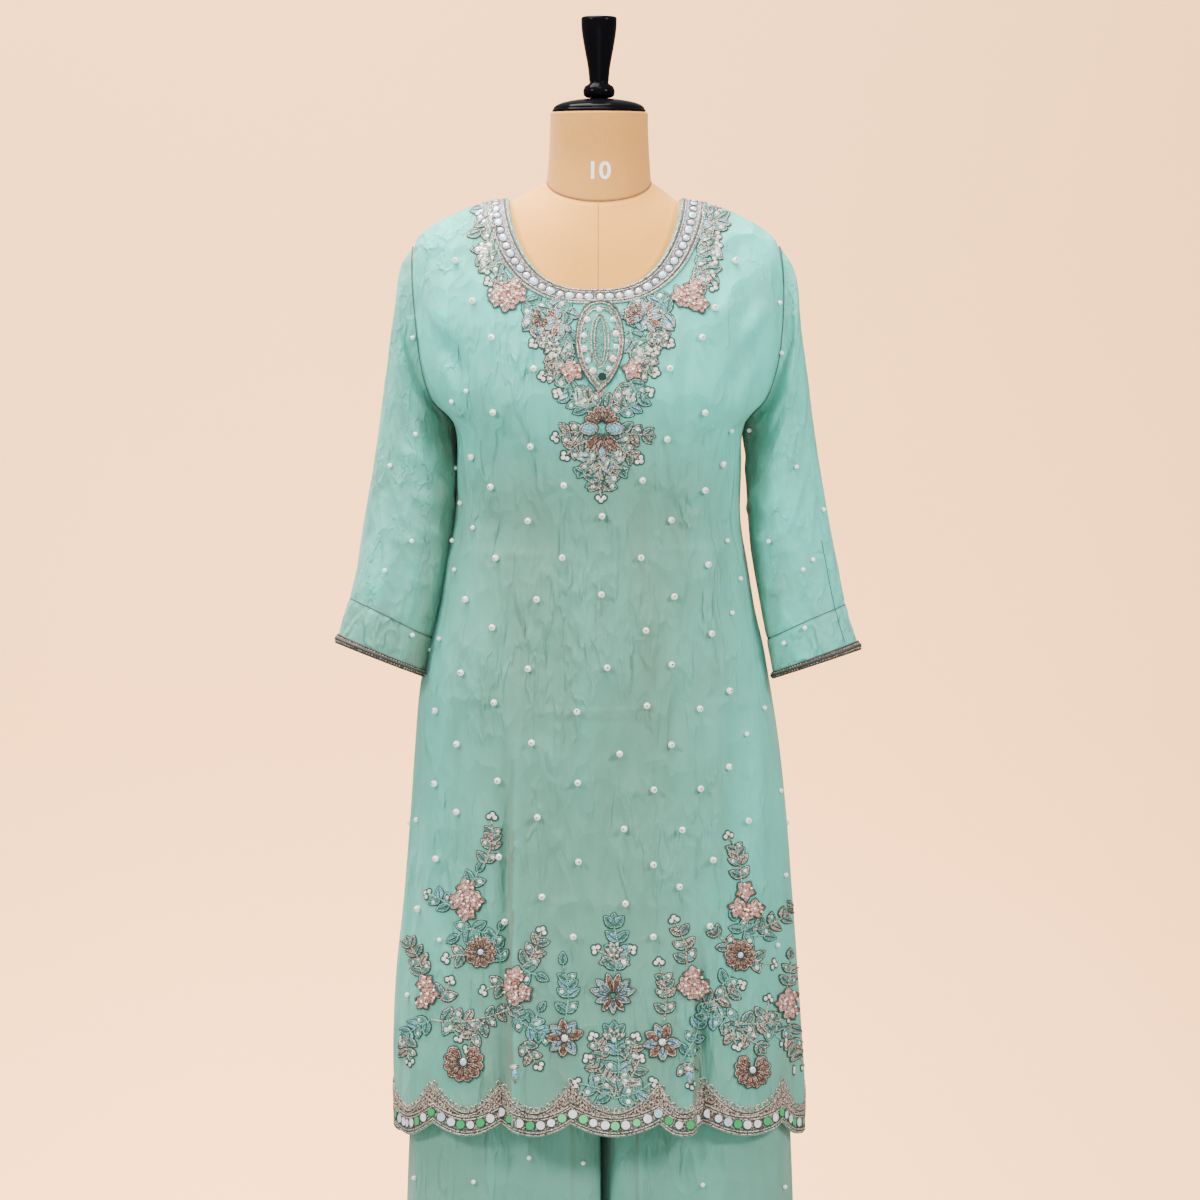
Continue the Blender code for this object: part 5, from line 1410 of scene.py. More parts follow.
    def seams(self) -> None:
        """Lay dark cords of painted shadow along the armhole's seam, the turned hem's line and, on the
        left, the hem's slit.
        """
        needle = Needle(f"sleeve_seam_{self.name}")
        for level, radius in ((lambda degrees: 0.008, 0.0008), (self.hem_at, 0.0006)):
            ring = [self.spot(4.0 * k, level(4.0 * k), -radius * 0.5) for k in range(90)]
            needle.cord_along(ring, FOLD_SHADOW, radius, True)
        if self.side > 0:
            needle.cord_along([self.spot(44.0, t, -0.0003) for t in even(0.70, 0.97, 24)], FOLD_SHADOW, 0.0005)
        needle.pieces()

    def cuff(self) -> list[Piece]:
        """Make the cuff's trim: two rows of beads between three cords."""
        needle = Needle(f"cuff_{self.name}")
        for share, finish, radius in ((0.998, UMBER, 0.0013), (0.9885, UMBER, 0.0022),
                (0.979, UMBER, 0.0013)):
            ring = [self.spot(360.0 * k / 90, share) for k in range(90)]
            needle.cord_along(ring, finish, radius, True)
        for share, finish, shift in ((0.9935, SILVER, 0.0), (0.9835, DARK_SILVER, 0.5)):
            for k in range(96):
                needle.bead_at(self.spot(360.0 * (k + shift) / 96, share, 0.0006), 0.0013, finish, 6, 3)
        pieces = needle.pieces()
        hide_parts(f"cuff_trim_{self.name}")
        return pieces


@dataclass
class Trousers:
    """The wide trousers: four panels and the waistband."""

    columns: int = 96
    rows: int = 108

    def row_at(self, z: float) -> TrouserRow:
        """Give both legs' row at a height."""
        stations = [-row.z for row in TROUSER_ROWS]
        return TrouserRow(*(through(stations, column, -z) for column in zip(*TROUSER_ROWS)))

    def leg_point(self, row: TrouserRow, facing: Facing, side: Side, share: float) -> Vector:
        """Give a leg's point: a rounded outer half, then a flat face turning to its inside."""
        depth = row.front if facing == FRONT else row.back
        front, back = LEG_INSIDES[side]
        edge = front if facing == FRONT else back
        centre = (side * row.outer + edge) / 2
        if share <= 0.5:
            turn = share * math.pi
            away = (side * row.outer - centre) * math.cos(turn) ** 0.88
            return Vector((centre + away, facing * depth * math.sin(turn) ** 0.80, 0.0))
        if share <= 0.80:
            part = (share - 0.5) / 0.30
            return Vector((centre + (edge + side * LEG_CORNER - centre) * part, facing * depth, 0.0))
        if share <= 0.88:
            turn = (share - 0.80) / 0.08 * math.pi / 2
            return Vector((edge + side * LEG_CORNER * (1 - math.sin(turn)), facing
                * (depth - LEG_CORNER * (1 - math.cos(turn))), 0.0))
        part = (share - 0.88) / 0.12
        return Vector((edge + ((front + back) / 2 - edge) * part, facing * (depth - LEG_CORNER)
            * (1 - part), 0.0))

    def point(self, row: TrouserRow, facing: Facing, side: Side, share: float) -> Vector:
        """Give a panel's point, from its outer seam (0) to its inner one (1)."""
        parted = min(max(row.parted, 0.0), 1.0)
        depth = row.front if facing == FRONT else row.back
        quarter = share * math.pi / 2
        inner = row.outer - (row.outer - SEAM_GAP / 2) * (1 - math.cos(quarter) ** 0.9)
        shared = Vector((side * inner, facing * depth * math.sin(quarter) ** 0.86, 0.0))
        tube = self.leg_point(row, facing, side, share)
        y = shared.y + (tube.y - shared.y) * parted
        return Vector((shared.x + (tube.x - shared.x) * min(1.0, parted * 1.35), y, row.z))

    def panel(self, side: Side, facing: Facing) -> Piece:
        """Make one panel."""
        name = f"trouser_{facing.name}_{side.name}".lower()
        top, bottom = TROUSER_ROWS[0].z, TROUSER_ROWS[-1].z
        shares = even(0.0, 1.0, self.columns)
        base = [[self.point(self.row_at(z), facing, side, s) for s in shares] for z
            in even(top, bottom, self.rows)]
        points, flat = [], []
        for i, row in enumerate(base):
            for j, place in enumerate(row):
                across = row[min(j + 1, self.columns)] - row[max(j - 1, 0)]
                down = base[min(i + 1, self.rows)][j] - base[max(i - 1, 0)][j]
                normal = across.cross(down).normalized()
                if normal.y * facing < -0.2 or (abs(normal.y) <= 0.2 and normal.x * side * (0.5 - shares[j])
                        < 0):
                    normal = -normal
                calm = smoothstep(0.0, 0.08, shares[j]) * (1 - smoothstep(0.92, 1.0, shares[j]))
                streak = noise.noise(Vector((place.x * 24.0, place.z * 2.2, 60.0 + facing)))
                lift = 0.0022 * streak * smoothstep(0.80, 0.60, place.z)
                lift += crumple(place.x, place.z, 70.0 + facing) + self.pleat(place, facing)
                points.append(place + normal * (CLOTH + lift * calm))
                flat.append((0.34 * shares[j], 0.99 * i / self.rows))
        faces = grid(self.rows + 1, self.columns + 1, flip=side * facing > 0)
        piece = make_piece(f"{name}_cloth", points, faces, GEORGETTE, flat, [self.tone(p) for p in points])
        thicken(piece)
        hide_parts(name)
        return piece

    @staticmethod
    def tone(point: Vector) -> float:
        """Tell how pale the trousers are painted: deep, with painted shade in thin lines along the pressed
        creases, and a little deeper towards the sides.
        """
        # Painted shade: thin dark lines along the two pressed creases.
        dark = sum(0.26 * bell(point.x - x, 0.0016) for x in (-0.0324, 0.0444))
        return 0.33 - dark - 0.06 * smoothstep(0.10, 0.22, abs(point.x))

    @staticmethod
    def pleat(place: Vector, facing: Facing) -> float:
        """Give the soft pressed pleats beside the centre and down each leg."""
        x = place.x + (0.006 if facing == BACK else 0.0)
        lift = sum(height * bell(x - middle, 0.0075) for middle, height in ((-0.036, 0.0040),
            (0.048, 0.0040), (-0.118, 0.0026), (0.128, 0.0026)))
        return lift * smoothstep(0.70, 0.45, place.z)

    def waistband(self) -> Piece:
        """Make the gathered waistband on the form's waist."""
        ring = FORM_RINGS[10]
        columns = 180
        points = []
        for k, z in enumerate(even(1.0350, 1.0650, 10)):
            for turn in around(columns):
                gather = 0.0007 * math.sin(turn * 45) * math.sin(math.pi * k / 10)
                points.append(form_point(ring, turn, 0.0022 + gather, z))
        faces = grid(11, columns, closed=True)
        piece = make_piece("waistband_cloth", points, faces, GEORGETTE, tones_and_painted_light=[0.25] * len(points))
        outward(piece)
        thicken(piece, 0.0012)
        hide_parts("waistband")
        return piece

    def make(self) -> None:
        """Make the trousers."""
        for side in Side:
            for facing in Facing:
                self.panel(side, facing)
        self.waistband()


# ---- the dress form
def form_point(ring: Ring, turn: float, grow: float = 0.0, z: float | None = None) -> Vector:
    """Give a form ring's point; turn 0 is the centre front and a quarter turn the left side."""
    facing = FRONT if math.cos(turn) >= 0 else BACK
    across = math.copysign(abs(math.sin(turn)) ** ring.side, math.sin(turn))
    fore = abs(math.cos(turn))
    depth, centre = (ring.front, ring.z_front) if facing == FRONT else (ring.back, ring.z_back)
    height = ring.z_side - (ring.z_side - centre) * fore ** ring.drop
    return Vector((ring.shift + (ring.half + grow) * across, facing * (depth + grow) * fore ** ring.face,
        height if z is None else z))


@dataclass
class DressForm:
    """The linen-covered form: torso, neck, seams, the printed size, cap and finial."""

    columns: int = 112
    rows: int = 90

    def torso(self) -> Piece:
        """Make the torso, smooth over its rings and closed below."""
        stations = list(range(len(FORM_RINGS)))
        points = []
        for t in even(0, len(FORM_RINGS) - 1, self.rows):
            ring = Ring(*(through(stations, column, t) for column in zip(*FORM_RINGS)))
            points += [form_point(ring, turn) for turn in around(self.columns)]
        faces = grid(self.rows + 1, self.columns, closed=True)
        cap_ends(points, faces, self.columns)
        piece = make_piece("form_torso_linen", points, faces, LINEN)
        outward(piece)
        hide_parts("form_torso")
        return piece

    def neck(self) -> Piece:
        """Make the neck, from its dipping seam up to the cap."""
        turns = around(self.columns)
        seam = [form_point(FORM_RINGS[0], turn) for turn in turns]
        stations = [0.0] + [row[0] for row in NECK_ROWS]
        points = []
        rows = even(0, 1, 40)
        for t in rows:
            for turn, place in zip(turns, seam):
                way = [place] + [Vector((NECK_CENTRE[0] + half * math.sin(turn), NECK_CENTRE[1] - depth
                    * math.cos(turn), 0.0)) for _, half, depth in NECK_ROWS]
                z = place.z + SEAM_GAP + (NECK_TOP_Z - place.z - SEAM_GAP) * t
                points.append(Vector((through(stations, [p.x for p in way], t),
                    through(stations, [p.y for p in way], t), z)))
        faces = grid(len(rows), self.columns, closed=True)
        cap_ends(points, faces, self.columns)
        piece = make_piece("form_neck_linen", points, faces, SHADED_NECK_LINEN)
        outward(piece)
        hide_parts("form_neck")
        return piece

    def seams(self, torso: Piece, neck: Piece) -> None:
        """Lay the form's seams: round the neck's foot and down the centres."""
        needle = Needle("form_seam")
        ring = []
        for turn in around(self.columns):
            point = form_point(FORM_RINGS[0], turn)
            normal = Vector((point.x, point.y, 0.02)).normalized()
            ring.append((point - normal * 0.0002 + Vector((0.0, 0.0, SEAM_GAP / 2)), normal))
        needle.cord_along(ring, SEAM, 0.0006, True)
        tree = surface_tree([torso])
        for sign, low in ((-1, 1.300), (1, 1.380)):
            z = 1.4500 if sign < 0 else 1.4660
            while z > low:
                stitch = []
                for share in (0.0, 0.5, 1.0):
                    origin = Vector((-0.0022, sign * 1.0, z - 0.0024 * share))
                    hit = tree.ray_cast(origin, Vector((0.0, -sign, 0.0)))
                    stitch.append((hit[0] - hit[1] * 0.0002, hit[1]))
                needle.cord_along(stitch, SEAM, 0.00035, sides=4)
                z -= 0.0032
        needle.pieces()
        self.number(neck)

    def number(self, neck: Piece) -> Piece:
        """Print the form's size number on the neck."""
        bpy.ops.object.select_all(action="DESELECT")
        bpy.ops.object.text_add(location=(0.0, 0.0, 0.0))
        text = bpy.context.object
        text.data.body = "10"
        text.data.size = 0.0290
        text.data.align_x = "CENTER"
        text.data.extrude = 0.0002
        text.data.offset = 0.0006
        text.data.space_character = 1.02
        bpy.ops.object.convert(target="MESH")
        piece = bpy.context.object
        piece.name = "size_number_print"
        tree = surface_tree([neck])
        for vertex in piece.data.vertices:
            x, z, rise = vertex.co.x - 0.0014, vertex.co.y + 1.4800, vertex.co.z
            hit = tree.ray_cast(Vector((x, -1.0, z)), Vector((0.0, 1.0, 0.0)))
            vertex.co = hit[0] + hit[1] * (0.0003 + rise)
        outward(piece)
        dress_piece(piece, PRINT)
        return piece

    def turned(self, name: str, profile: Sequence[Plan], finish: Finish, node: str,
            centre: Plan = NECK_CENTRE, depth: float = 1.0, sides: int = 72) -> Piece:
        """Turn a hard piece up from a disc, ring by ring.

        Args:
            name: the piece's name.
            profile: radius and height of each ring, from the bottom up.
            finish: its finish.
            node: the solid it stands for.
            centre: its axis in X and Y.
            depth: how deep it is for its width.
            sides: faces round it.

        Returns:
            The piece.
        """
        bpy.ops.object.select_all(action="DESELECT")
        radius, z = profile[0]
        bpy.ops.mesh.primitive_circle_add(vertices=sides, radius=radius, fill_type="NGON",
            location=(*centre, z))
        piece = bpy.context.object
        piece.name = name
        bpy.ops.object.mode_set(mode="EDIT")
        bpy.ops.mesh.select_all(action="SELECT")
        for (r0, z0), (r1, z1) in zip(profile, profile[1:]):
            bpy.ops.mesh.extrude_region_move(TRANSFORM_OT_translate={"value": (0, 0, z1 - z0)})
            bpy.ops.transform.resize(value=(r1 / r0, r1 / r0, 1.0), center_override=(*centre, z1))
        bpy.ops.mesh.select_all(action="SELECT")
        bpy.ops.transform.resize(value=(1.0, depth, 1.0), center_override=(*centre, z))
        bpy.ops.mesh.normals_make_consistent(inside=False)
        bpy.ops.object.mode_set(mode="OBJECT")
        bpy.ops.object.transform_apply(location=True, rotation=True, scale=True)
        bpy.ops.object.shade_smooth_by_angle(angle=math.radians(50))
        dress_piece(piece, finish)
        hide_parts(node)
        LOG.info("%s: turned from %d rings", name, len(profile))
        return piece

    def make(self) -> None:
        """Make the whole form with its cap and finial."""
        torso, neck = self.torso(), self.neck()
        self.seams(torso, neck)
        base = NECK_TOP_Z + SEAM_GAP
        cap = [(0.0545, base), (0.0560, base + 0.0008), (0.0562, base + 0.0030), (0.0550, base + 0.0038)]
        cap += [(0.0550 * math.cos(a), base + 0.0038 + 0.0130 * math.sin(a)) for a in even(0.10, 1.50, 12)]
        self.turned("neck_cap_lacquer", cap, BLACK, "neck_cap", depth=0.9)
        rough = ((-0.06, 0.0100), (-0.02, 0.0100), (0.00, 0.0150), (0.07, 0.0184), (0.24, 0.0191),
            (0.38, 0.0172), (0.48, 0.0120), (0.53, 0.0112), (0.60, 0.0118))
        neck_ring = [(r, 1.5789 + 0.0350 * s) for s, r in rough]
        handle = [(0.0120 + 0.0094 * smoothstep(0, 1, t) ** 0.9, 1.6000 + 0.0722 * t) for t
            in even(0.05, 1.0, 14)]
        top = [(0.0214, 1.6738), (0.0209, 1.6752), (0.0194, 1.6762), (0.0168, 1.6768), (0.0080, 1.6771)]
        self.turned("finial_lacquer", neck_ring + handle + top, BLACK, "finial")


def surface_tree(pieces: Sequence[Piece]) -> BVHTree:
    """Give a search tree over the faces of some pieces."""
    points, faces = [], []
    for piece in pieces:
        start = len(points)
        points += [v.co.copy() for v in piece.data.vertices]
        faces += [tuple(start + i for i in p.vertices) for p in piece.data.polygons]
    return BVHTree.FromPolygons(points, faces)


# ---- embroidery
class Palette(Enum):
    """Edge, filling and second filling of a sprig's leaves."""

    FROST = (SILVER, SEAFOAM, SILVER)
    SEA = (MINT_CORD, SEAFOAM, SKY)
    AIR = (SILVER, SKY, SEAFOAM)
    EARTH = (SILVER, BRONZE, BRONZE)


class Tip(Enum):
    """How a sprig ends."""

    GEMS = 1
    LEAF = 2
    LOOPS = 3


class Bloom(Enum):
    """Kinds of corded flower."""

    BROWN = 1
    FAN = 2
    STAR = 3
    LOTUS = 4
    CALYX = 5
    BLUE = 6
    PALE = 7


FROST, SEA, AIR, EARTH = Palette
GEMS, LEAF, LOOPS = Tip
BROWN, FAN, STAR, LOTUS, CALYX, BLUE, PALE = Bloom


class Sprig(NamedTuple):
    """A stem with pairs of leaves and a tip: its foot, direction in degrees, length and leaves."""

    x: float
    z: float
    angle: float
    length: float
    pairs: int
    leaf: float
    palette: Palette
    tip: Tip = Tip.GEMS


class Rose(NamedTuple):
    """A padded pink rose."""

    x: float
    z: float
    radius: float
    petals: int = 6


class Flower(NamedTuple):
    """A corded flower: where, how big, where its petals start and how far they sweep."""

    x: float
    z: float
    radius: float
    start: float
    sweep: float
    petals: int
    kind: Bloom


class Place(NamedTuple):
    """A place on the plan."""

    x: float
    z: float


YOKE_SPRIGS = table(Sprig, "x z length leaf", (-123.6, 1447.6, 190, 16.8, 1, 12, AIR, LEAF),
    (-124.8, 1424.8, 200, 19.2, 1, 13.2, FROST, LEAF), (-123.6, 1410.4, 215, 18, 1, 10.8, FROST),
    (-120, 1396, 200, 19.2, 1, 12, SEA), (-116.4, 1381.6, 205, 20.4, 1, 12, FROST),
    (-112.8, 1369.6, 210, 21.6, 1, 10.8, SEA), (-105.6, 1360, 215, 26.4, 2, 9.6, FROST),
    (-132, 1436.8, 170, 9.6, 1, 14.4, FROST), (-133.2, 1398.4, 235, 9.6, 1, 13.2, FROST, LEAF),
    (-128.4, 1381.6, 170, 9.6, 1, 13.2, FROST), (132, 1427.2, 30, 9.6, 1, 13.2, FROST, LEAF),
    (129.6, 1398.4, 10, 9.6, 1, 13.2, FROST), (124.8, 1374.4, -50, 9.6, 1, 13.2, FROST, LEAF),
    (-79.2, 1321.6, -80, 16.8, 2, 13.2, AIR, LEAF), (76.8, 1321.6, 262, 16.8, 2, 13.2, AIR, LEAF),
    (-30, 1326.4, 200, 31.2, 2, 14.4, SEA, LEAF), (30, 1326.4, -20, 31.2, 2, 14.4, SEA, LEAF),
    (-36, 1302.4, -110, 26.4, 2, 12, SEA), (36, 1300, -70, 24, 2, 12, SEA),
    (-48, 1273.6, 250, 16.8, 2, 10.8, FROST, LEAF), (52.8, 1273.6, -70, 16.8, 2, 10.8, FROST, LEAF),
    (0, 1206.4, 150, 28.8, 2, 10.8, FROST), (4.8, 1206.4, 30, 28.8, 2, 10.8, FROST),
    (0, 1160.8, 235, 31.2, 2, 12, SEA, LEAF), (4.8, 1160.8, -55, 31.2, 2, 12, SEA, LEAF),
    (2.4, 1163.2, -90, 40.8, 3, 13.2, FROST, LOOPS), (122.4, 1447.6, -12, 16.8, 1, 12, FROST),
    (123.6, 1434.4, -14, 16.8, 1, 13.2, AIR, LEAF), (121.2, 1420, -22, 18, 1, 12, FROST),
    (118.8, 1405.6, -28, 19.2, 1, 12, FROST), (116.4, 1391.2, -25, 19.2, 1, 12, SEA),
    (114, 1376.8, -30, 19.2, 1, 12, FROST), (108, 1364.8, -25, 28.8, 2, 9.6, FROST),
    (-91.2, 1336, -35, 26.4, 2, 12, SEA, LEAF), (-76.8, 1332.4, -60, 31.2, 2, 12, SEA),
    (-62.4, 1328.8, -20, 21.6, 1, 14.4, AIR, LEAF), (86.4, 1338.4, 212, 26.4, 2, 12, SEA, LEAF),
    (72, 1332.4, 240, 28.8, 2, 12, SEA), (60, 1328.8, 200, 21.6, 1, 14.4, AIR, LEAF),
    (-56.4, 1300, 215, 26.4, 2, 10.8, FROST), (57.6, 1300, -32, 28.8, 2, 10.8, FROST),
    (-40.8, 1282, 200, 19.2, 1, 10.8, SEA), (43.2, 1282, -20, 21.6, 1, 10.8, SEA),
    (-30, 1268.8, 170, 21.6, 1, 10.8, FROST), (33.6, 1273.6, 5, 21.6, 1, 10.8, FROST),
    (-40.8, 1249.6, 190, 26.4, 2, 9.6, FROST), (45.6, 1254.4, -15, 19.2, 1, 10.8, FROST),
    (-33.6, 1240, 240, 19.2, 1, 12, SEA), (36, 1240, -60, 21.6, 2, 10.8, SEA, LEAF),
    (-14.4, 1230.4, 235, 16.8, 1, 9.6, FROST), (21.6, 1232.8, -40, 19.2, 1, 9.6, FROST),
    (-12, 1201.6, 150, 43.2, 3, 10.8, SEA), (18, 1201.6, 30, 45.6, 3, 10.8, SEA),
    (-18, 1177.6, 190, 33.6, 2, 10.8, FROST), (21.6, 1180, -10, 31.2, 2, 10.8, FROST, LOOPS),
    (-14.4, 1168, 215, 31.2, 2, 10.8, FROST), (16.8, 1168, -38, 36, 3, 9.6, FROST),
    (1.2, 1117.6, 125, 36, 2, 12, FROST), (1.2, 1117.6, 55, 36, 2, 12, FROST),
    (1.2, 1115.2, 150, 24, 1, 10.8, SEA, LEAF), (1.2, 1115.2, 30, 24, 1, 10.8, SEA, LEAF),
    (1.2, 1122.4, -90, 21.6, 1, 12, EARTH))
YOKE_ROSES = table(Rose, "x z radius", (-118.8, 1345.6, 12), (-99.6, 1342, 12), (-111.6, 1332.4, 10.8),
    (-103.2, 1352.8, 8.4, 5), (-123.6, 1336, 8.4, 5), (97.2, 1340.8, 12), (112.8, 1348, 12),
    (120, 1330, 9.6), (108, 1333.6, 8.4, 5), (-33.6, 1250.8, 13.2), (39.6, 1252, 12))
YOKE_FLOWERS = table(Flower, "x z radius", (-49.2, 1309.6, 18, 100, 220, 7, BLUE),
    (54, 1314.4, 20.4, -60, 250, 9, BLUE), (-70.8, 1314.4, 10.8, 120, 200, 5, BROWN),
    (44.4, 1316.8, 14.4, 70, 150, 6, BROWN), (-60, 1283.2, 10.8, 90, 270, 6, PALE),
    (70.8, 1286.8, 10.8, -90, 270, 6, PALE), (2.4, 1187.2, 20.4, 20, 140, 7, BROWN),
    (2.4, 1182.4, 26.4, 182, 0, 1, BLUE), (2.4, 1182.4, 26.4, -2, 0, 1, BLUE),
    (2.4, 1180, 28.8, 232, 76, 4, BROWN), (2.4, 1172.8, 26.4, -90, 0, 1, BLUE))
HEM_SPRIGS = table(Sprig, "x z length leaf", (-140.4, 654.4, 80, 60, 4, 10.8, FROST),
    (-156, 634, 60, 19.2, 1, 12, SEA, LEAF), (-177.6, 606.4, 150, 31.2, 2, 10.8, SEA),
    (-153.6, 582.4, -150, 19.2, 1, 13.2, SEA, LEAF), (-153.6, 582.4, -20, 16.8, 1, 12, SEA, LEAF),
    (-132, 565.6, 55, 19.2, 1, 10.8, SEA, LEAF), (-160.8, 550, 190, 21.6, 1, 12, FROST),
    (-211.2, 522.4, 112, 40.8, 3, 10.8, FROST, LOOPS), (-120, 541.6, 100, 16.8, 1, 10.8, SEA, LOOPS),
    (-114, 514, 195, 24, 1, 12, FROST), (-93.6, 534.4, 62, 48, 3, 12, FROST),
    (-93.6, 534.4, -25, 19.2, 1, 13.2, SEA, LEAF), (-192, 496, 62, 24, 1, 13.2, FROST),
    (-201.6, 472, 215, 40.8, 3, 10.8, SEA), (-230.4, 452.8, -85, 28.8, 2, 9.6, FROST),
    (-201.6, 472, 8, 93.6, 5, 13.2, FROST, LOOPS), (-180, 474.4, -65, 24, 1, 13.2, SEA),
    (-138, 472, -120, 38.4, 2, 12, FROST), (-108, 481.6, -28, 69.6, 4, 12, SEA, LOOPS),
    (-84, 467.2, 55, 19.2, 1, 10.8, SEA, LEAF), (-91.2, 448, -60, 33.6, 2, 10.8, FROST),
    (-42, 472, 92, 67.2, 4, 12, SEA, LEAF), (16.8, 526, 90, 57.6, 3, 14.4, SEA, LOOPS),
    (16.8, 541.6, 35, 24, 1, 10.8, FROST), (16.8, 541.6, 145, 24, 1, 10.8, FROST),
    (16.8, 378.4, 90, 74.4, 3, 15.6, SEA, LOOPS), (16.8, 380.8, 125, 52.8, 3, 13.2, FROST),
    (16.8, 380.8, 55, 52.8, 3, 13.2, FROST), (16.8, 378.4, 158, 45.6, 2, 13.2, SEA),
    (16.8, 378.4, 22, 48, 2, 13.2, SEA), (4.8, 424, 115, 28.8, 2, 10.8, FROST),
    (28.8, 424, 62, 28.8, 2, 10.8, FROST), (76.8, 472, 95, 67.2, 4, 10.8, FROST),
    (104.4, 534.4, 105, 57.6, 3, 12, FROST), (120, 491.2, 25, 52.8, 3, 12, FROST),
    (99.6, 424, 72, 60, 3, 10.8, SEA, LEAF), (102, 421.6, -75, 26.4, 1, 10.8, FROST),
    (120, 491.2, -35, 50.4, 3, 12, SEA, LOOPS), (168, 469.6, 172, 40.8, 2, 12, SEA, LEAF),
    (153.6, 472, -70, 31.2, 2, 10.8, FROST), (162, 469.6, -45, 38.4, 2, 10.8, FROST, LOOPS),
    (163.2, 469.6, 5, 60, 4, 12, FROST), (194.4, 469.6, 75, 26.4, 1, 12, FROST),
    (201.6, 467.2, -50, 26.4, 1, 12, SEA), (169.2, 635.2, 105, 57.6, 4, 10.8, FROST),
    (182.4, 580, 28, 52.8, 3, 10.8, FROST, LOOPS), (170.4, 577.6, -10, 26.4, 1, 12, SEA, LEAF),
    (170.4, 577.6, 120, 16.8, 1, 10.8, SEA, LEAF), (180, 546.4, -15, 26.4, 1, 12, FROST),
    (156, 556, 130, 24, 1, 10.8, FROST, LOOPS), (146.4, 514, 55, 26.4, 1, 12, SEA),
    (223.2, 510.4, 84, 36, 2, 9.6, FROST, LEAF), (226.8, 472, -72, 57.6, 4, 10.8, FROST))
HEM_ROSES = table(Rose, "x z radius", (-159.6, 630.4, 10.8), (-169.2, 614.8, 10.8), (-150, 614.8, 10.8),
    (-159.6, 601.6, 10.8), (-157.2, 618.4, 9.6, 5), (-102, 524.8, 10.8), (-106.8, 510.4, 9.6),
    (-92.4, 504.4, 10.8), (-100.8, 498.4, 8.4, 5), (-208.8, 516.4, 9.6), (-204, 503.2, 10.8),
    (-211.2, 493.6, 8.4, 5), (174, 626.8, 10.8), (165.6, 606.4, 10.8), (184.8, 605.2, 10.8),
    (175.2, 598, 8.4, 5), (111.6, 524.8, 10.8), (103.2, 512.8, 10.8), (121.2, 510.4, 10.8),
    (112.8, 504.4, 8.4, 5), (225.6, 498.4, 10.8), (226.8, 482.8, 9.6), (218.4, 491.2, 8.4, 5))
HEM_FLOWERS = table(Flower, "x z radius", (-142.8, 553.6, 18, 0, 360, 10, BROWN),
    (168, 550, 18, 0, 360, 10, BROWN), (-163.2, 421.6, 22.8, -225, 270, 10, FAN),
    (182.4, 412, 20.4, -225, 270, 10, FAN), (-42, 450.4, 21.6, 18, 324, 8, STAR),
    (74.4, 445.6, 21.6, 70, 324, 8, STAR), (15.6, 500.8, 26.4, 15, 150, 6, LOTUS),
    (15.6, 500.8, 20.4, 200, 140, 5, CALYX), (16.8, 448, 14.4, 30, 120, 4, PALE),
    (16.8, 556, 9.6, 0, 360, 6, PALE))
# White beads of the front and the sleeves, and of the trousers below the hem.
FRONT_BEADS = table(Place, "x z", (-172.8, 1381.6), (162, 1381.6), (-152.4, 1333.6), (138, 1325.2),
    (-129.6, 1290.4), (122.4, 1290.4), (-79.2, 1253.2), (84, 1253.2), (-127.2, 1201.6), (124.8, 1201.6),
    (-82.8, 1160.8), (79.2, 1169.2), (-152.4, 1147.6), (145.2, 1139.2), (50.4, 1120), (-43.2, 1114),
    (-129.6, 1111.6), (124.8, 1108), (2.4, 1076.8), (84, 1072), (-86.4, 1070.8), (-123.6, 1026.4),
    (-45.6, 1026.4), (49.2, 1026.4), (128.4, 1018), (1.2, 982), (88.8, 979.6), (-159.6, 976), (-75.6, 976),
    (-128.4, 942.4), (55.2, 938.8), (133.2, 935.2), (85.2, 898), (8.4, 894.4), (-85.2, 893.2),
    (-165.6, 888.4), (153.6, 866.8), (-126, 853.6), (56.4, 848.8), (118.8, 845.2), (-195.6, 842.8),
    (-27.6, 840.4), (-81.6, 804.4), (-170.4, 803.2), (85.2, 802), (24, 791.2), (152.4, 775.6),
    (-122.4, 758.8), (-26.4, 756.4), (-196.8, 755.2), (120, 749.2), (63.6, 748), (-170.4, 721.6),
    (-74.4, 715.6), (177.6, 710.8), (30, 701.2), (99.6, 700), (-121.2, 667.6), (-195.6, 665.2),
    (135.6, 664), (-26.4, 661.6), (63.6, 658), (94.8, 631.6), (-69.6, 619.6), (31.2, 611.2), (-216, 605.2),
    (-114, 589.6), (130.8, 584.8), (-32.4, 571.6), (63.6, 571.6))
SMALL_BEADS = table(Place, "x z", (-224.4, 1290.4), (-220.8, 1175.2), (-250.8, 1136.8), (-226.8, 1046.8),
    (-256.8, 1010.8), (-226.8, 934), (213.6, 1332.4), (217.2, 1272.4), (235.2, 1135.6), (266.4, 1084),
    (204, 1046.8), (254.4, 1024), (243.6, 1012), (246, 942.4), (222, 924.4), (181.2, 1180), (156, 1180),
    (-176.4, 1214.8), (-159.6, 1226.8), (-151.2, 1062.4), (-175.2, 1046.8), (-172.8, 1012),
    (-165.6, 1092.4), (151.2, 1046.8), (166.8, 1001.2), (157.2, 960.4), (-171.6, 1134.4), (-190.8, 929.2),
    (-204, 916), (-220.8, 282.4), (-151.2, 277.6), (-85.2, 306.4), (-20.4, 300.4), (123.6, 274),
    (219.6, 271.6), (-218.4, 712), (-192, 568), (-229.2, 502), (211.2, 562), (220.8, 646), (195.6, 846.4),
    (214.8, 746.8), (175.2, 815.2))

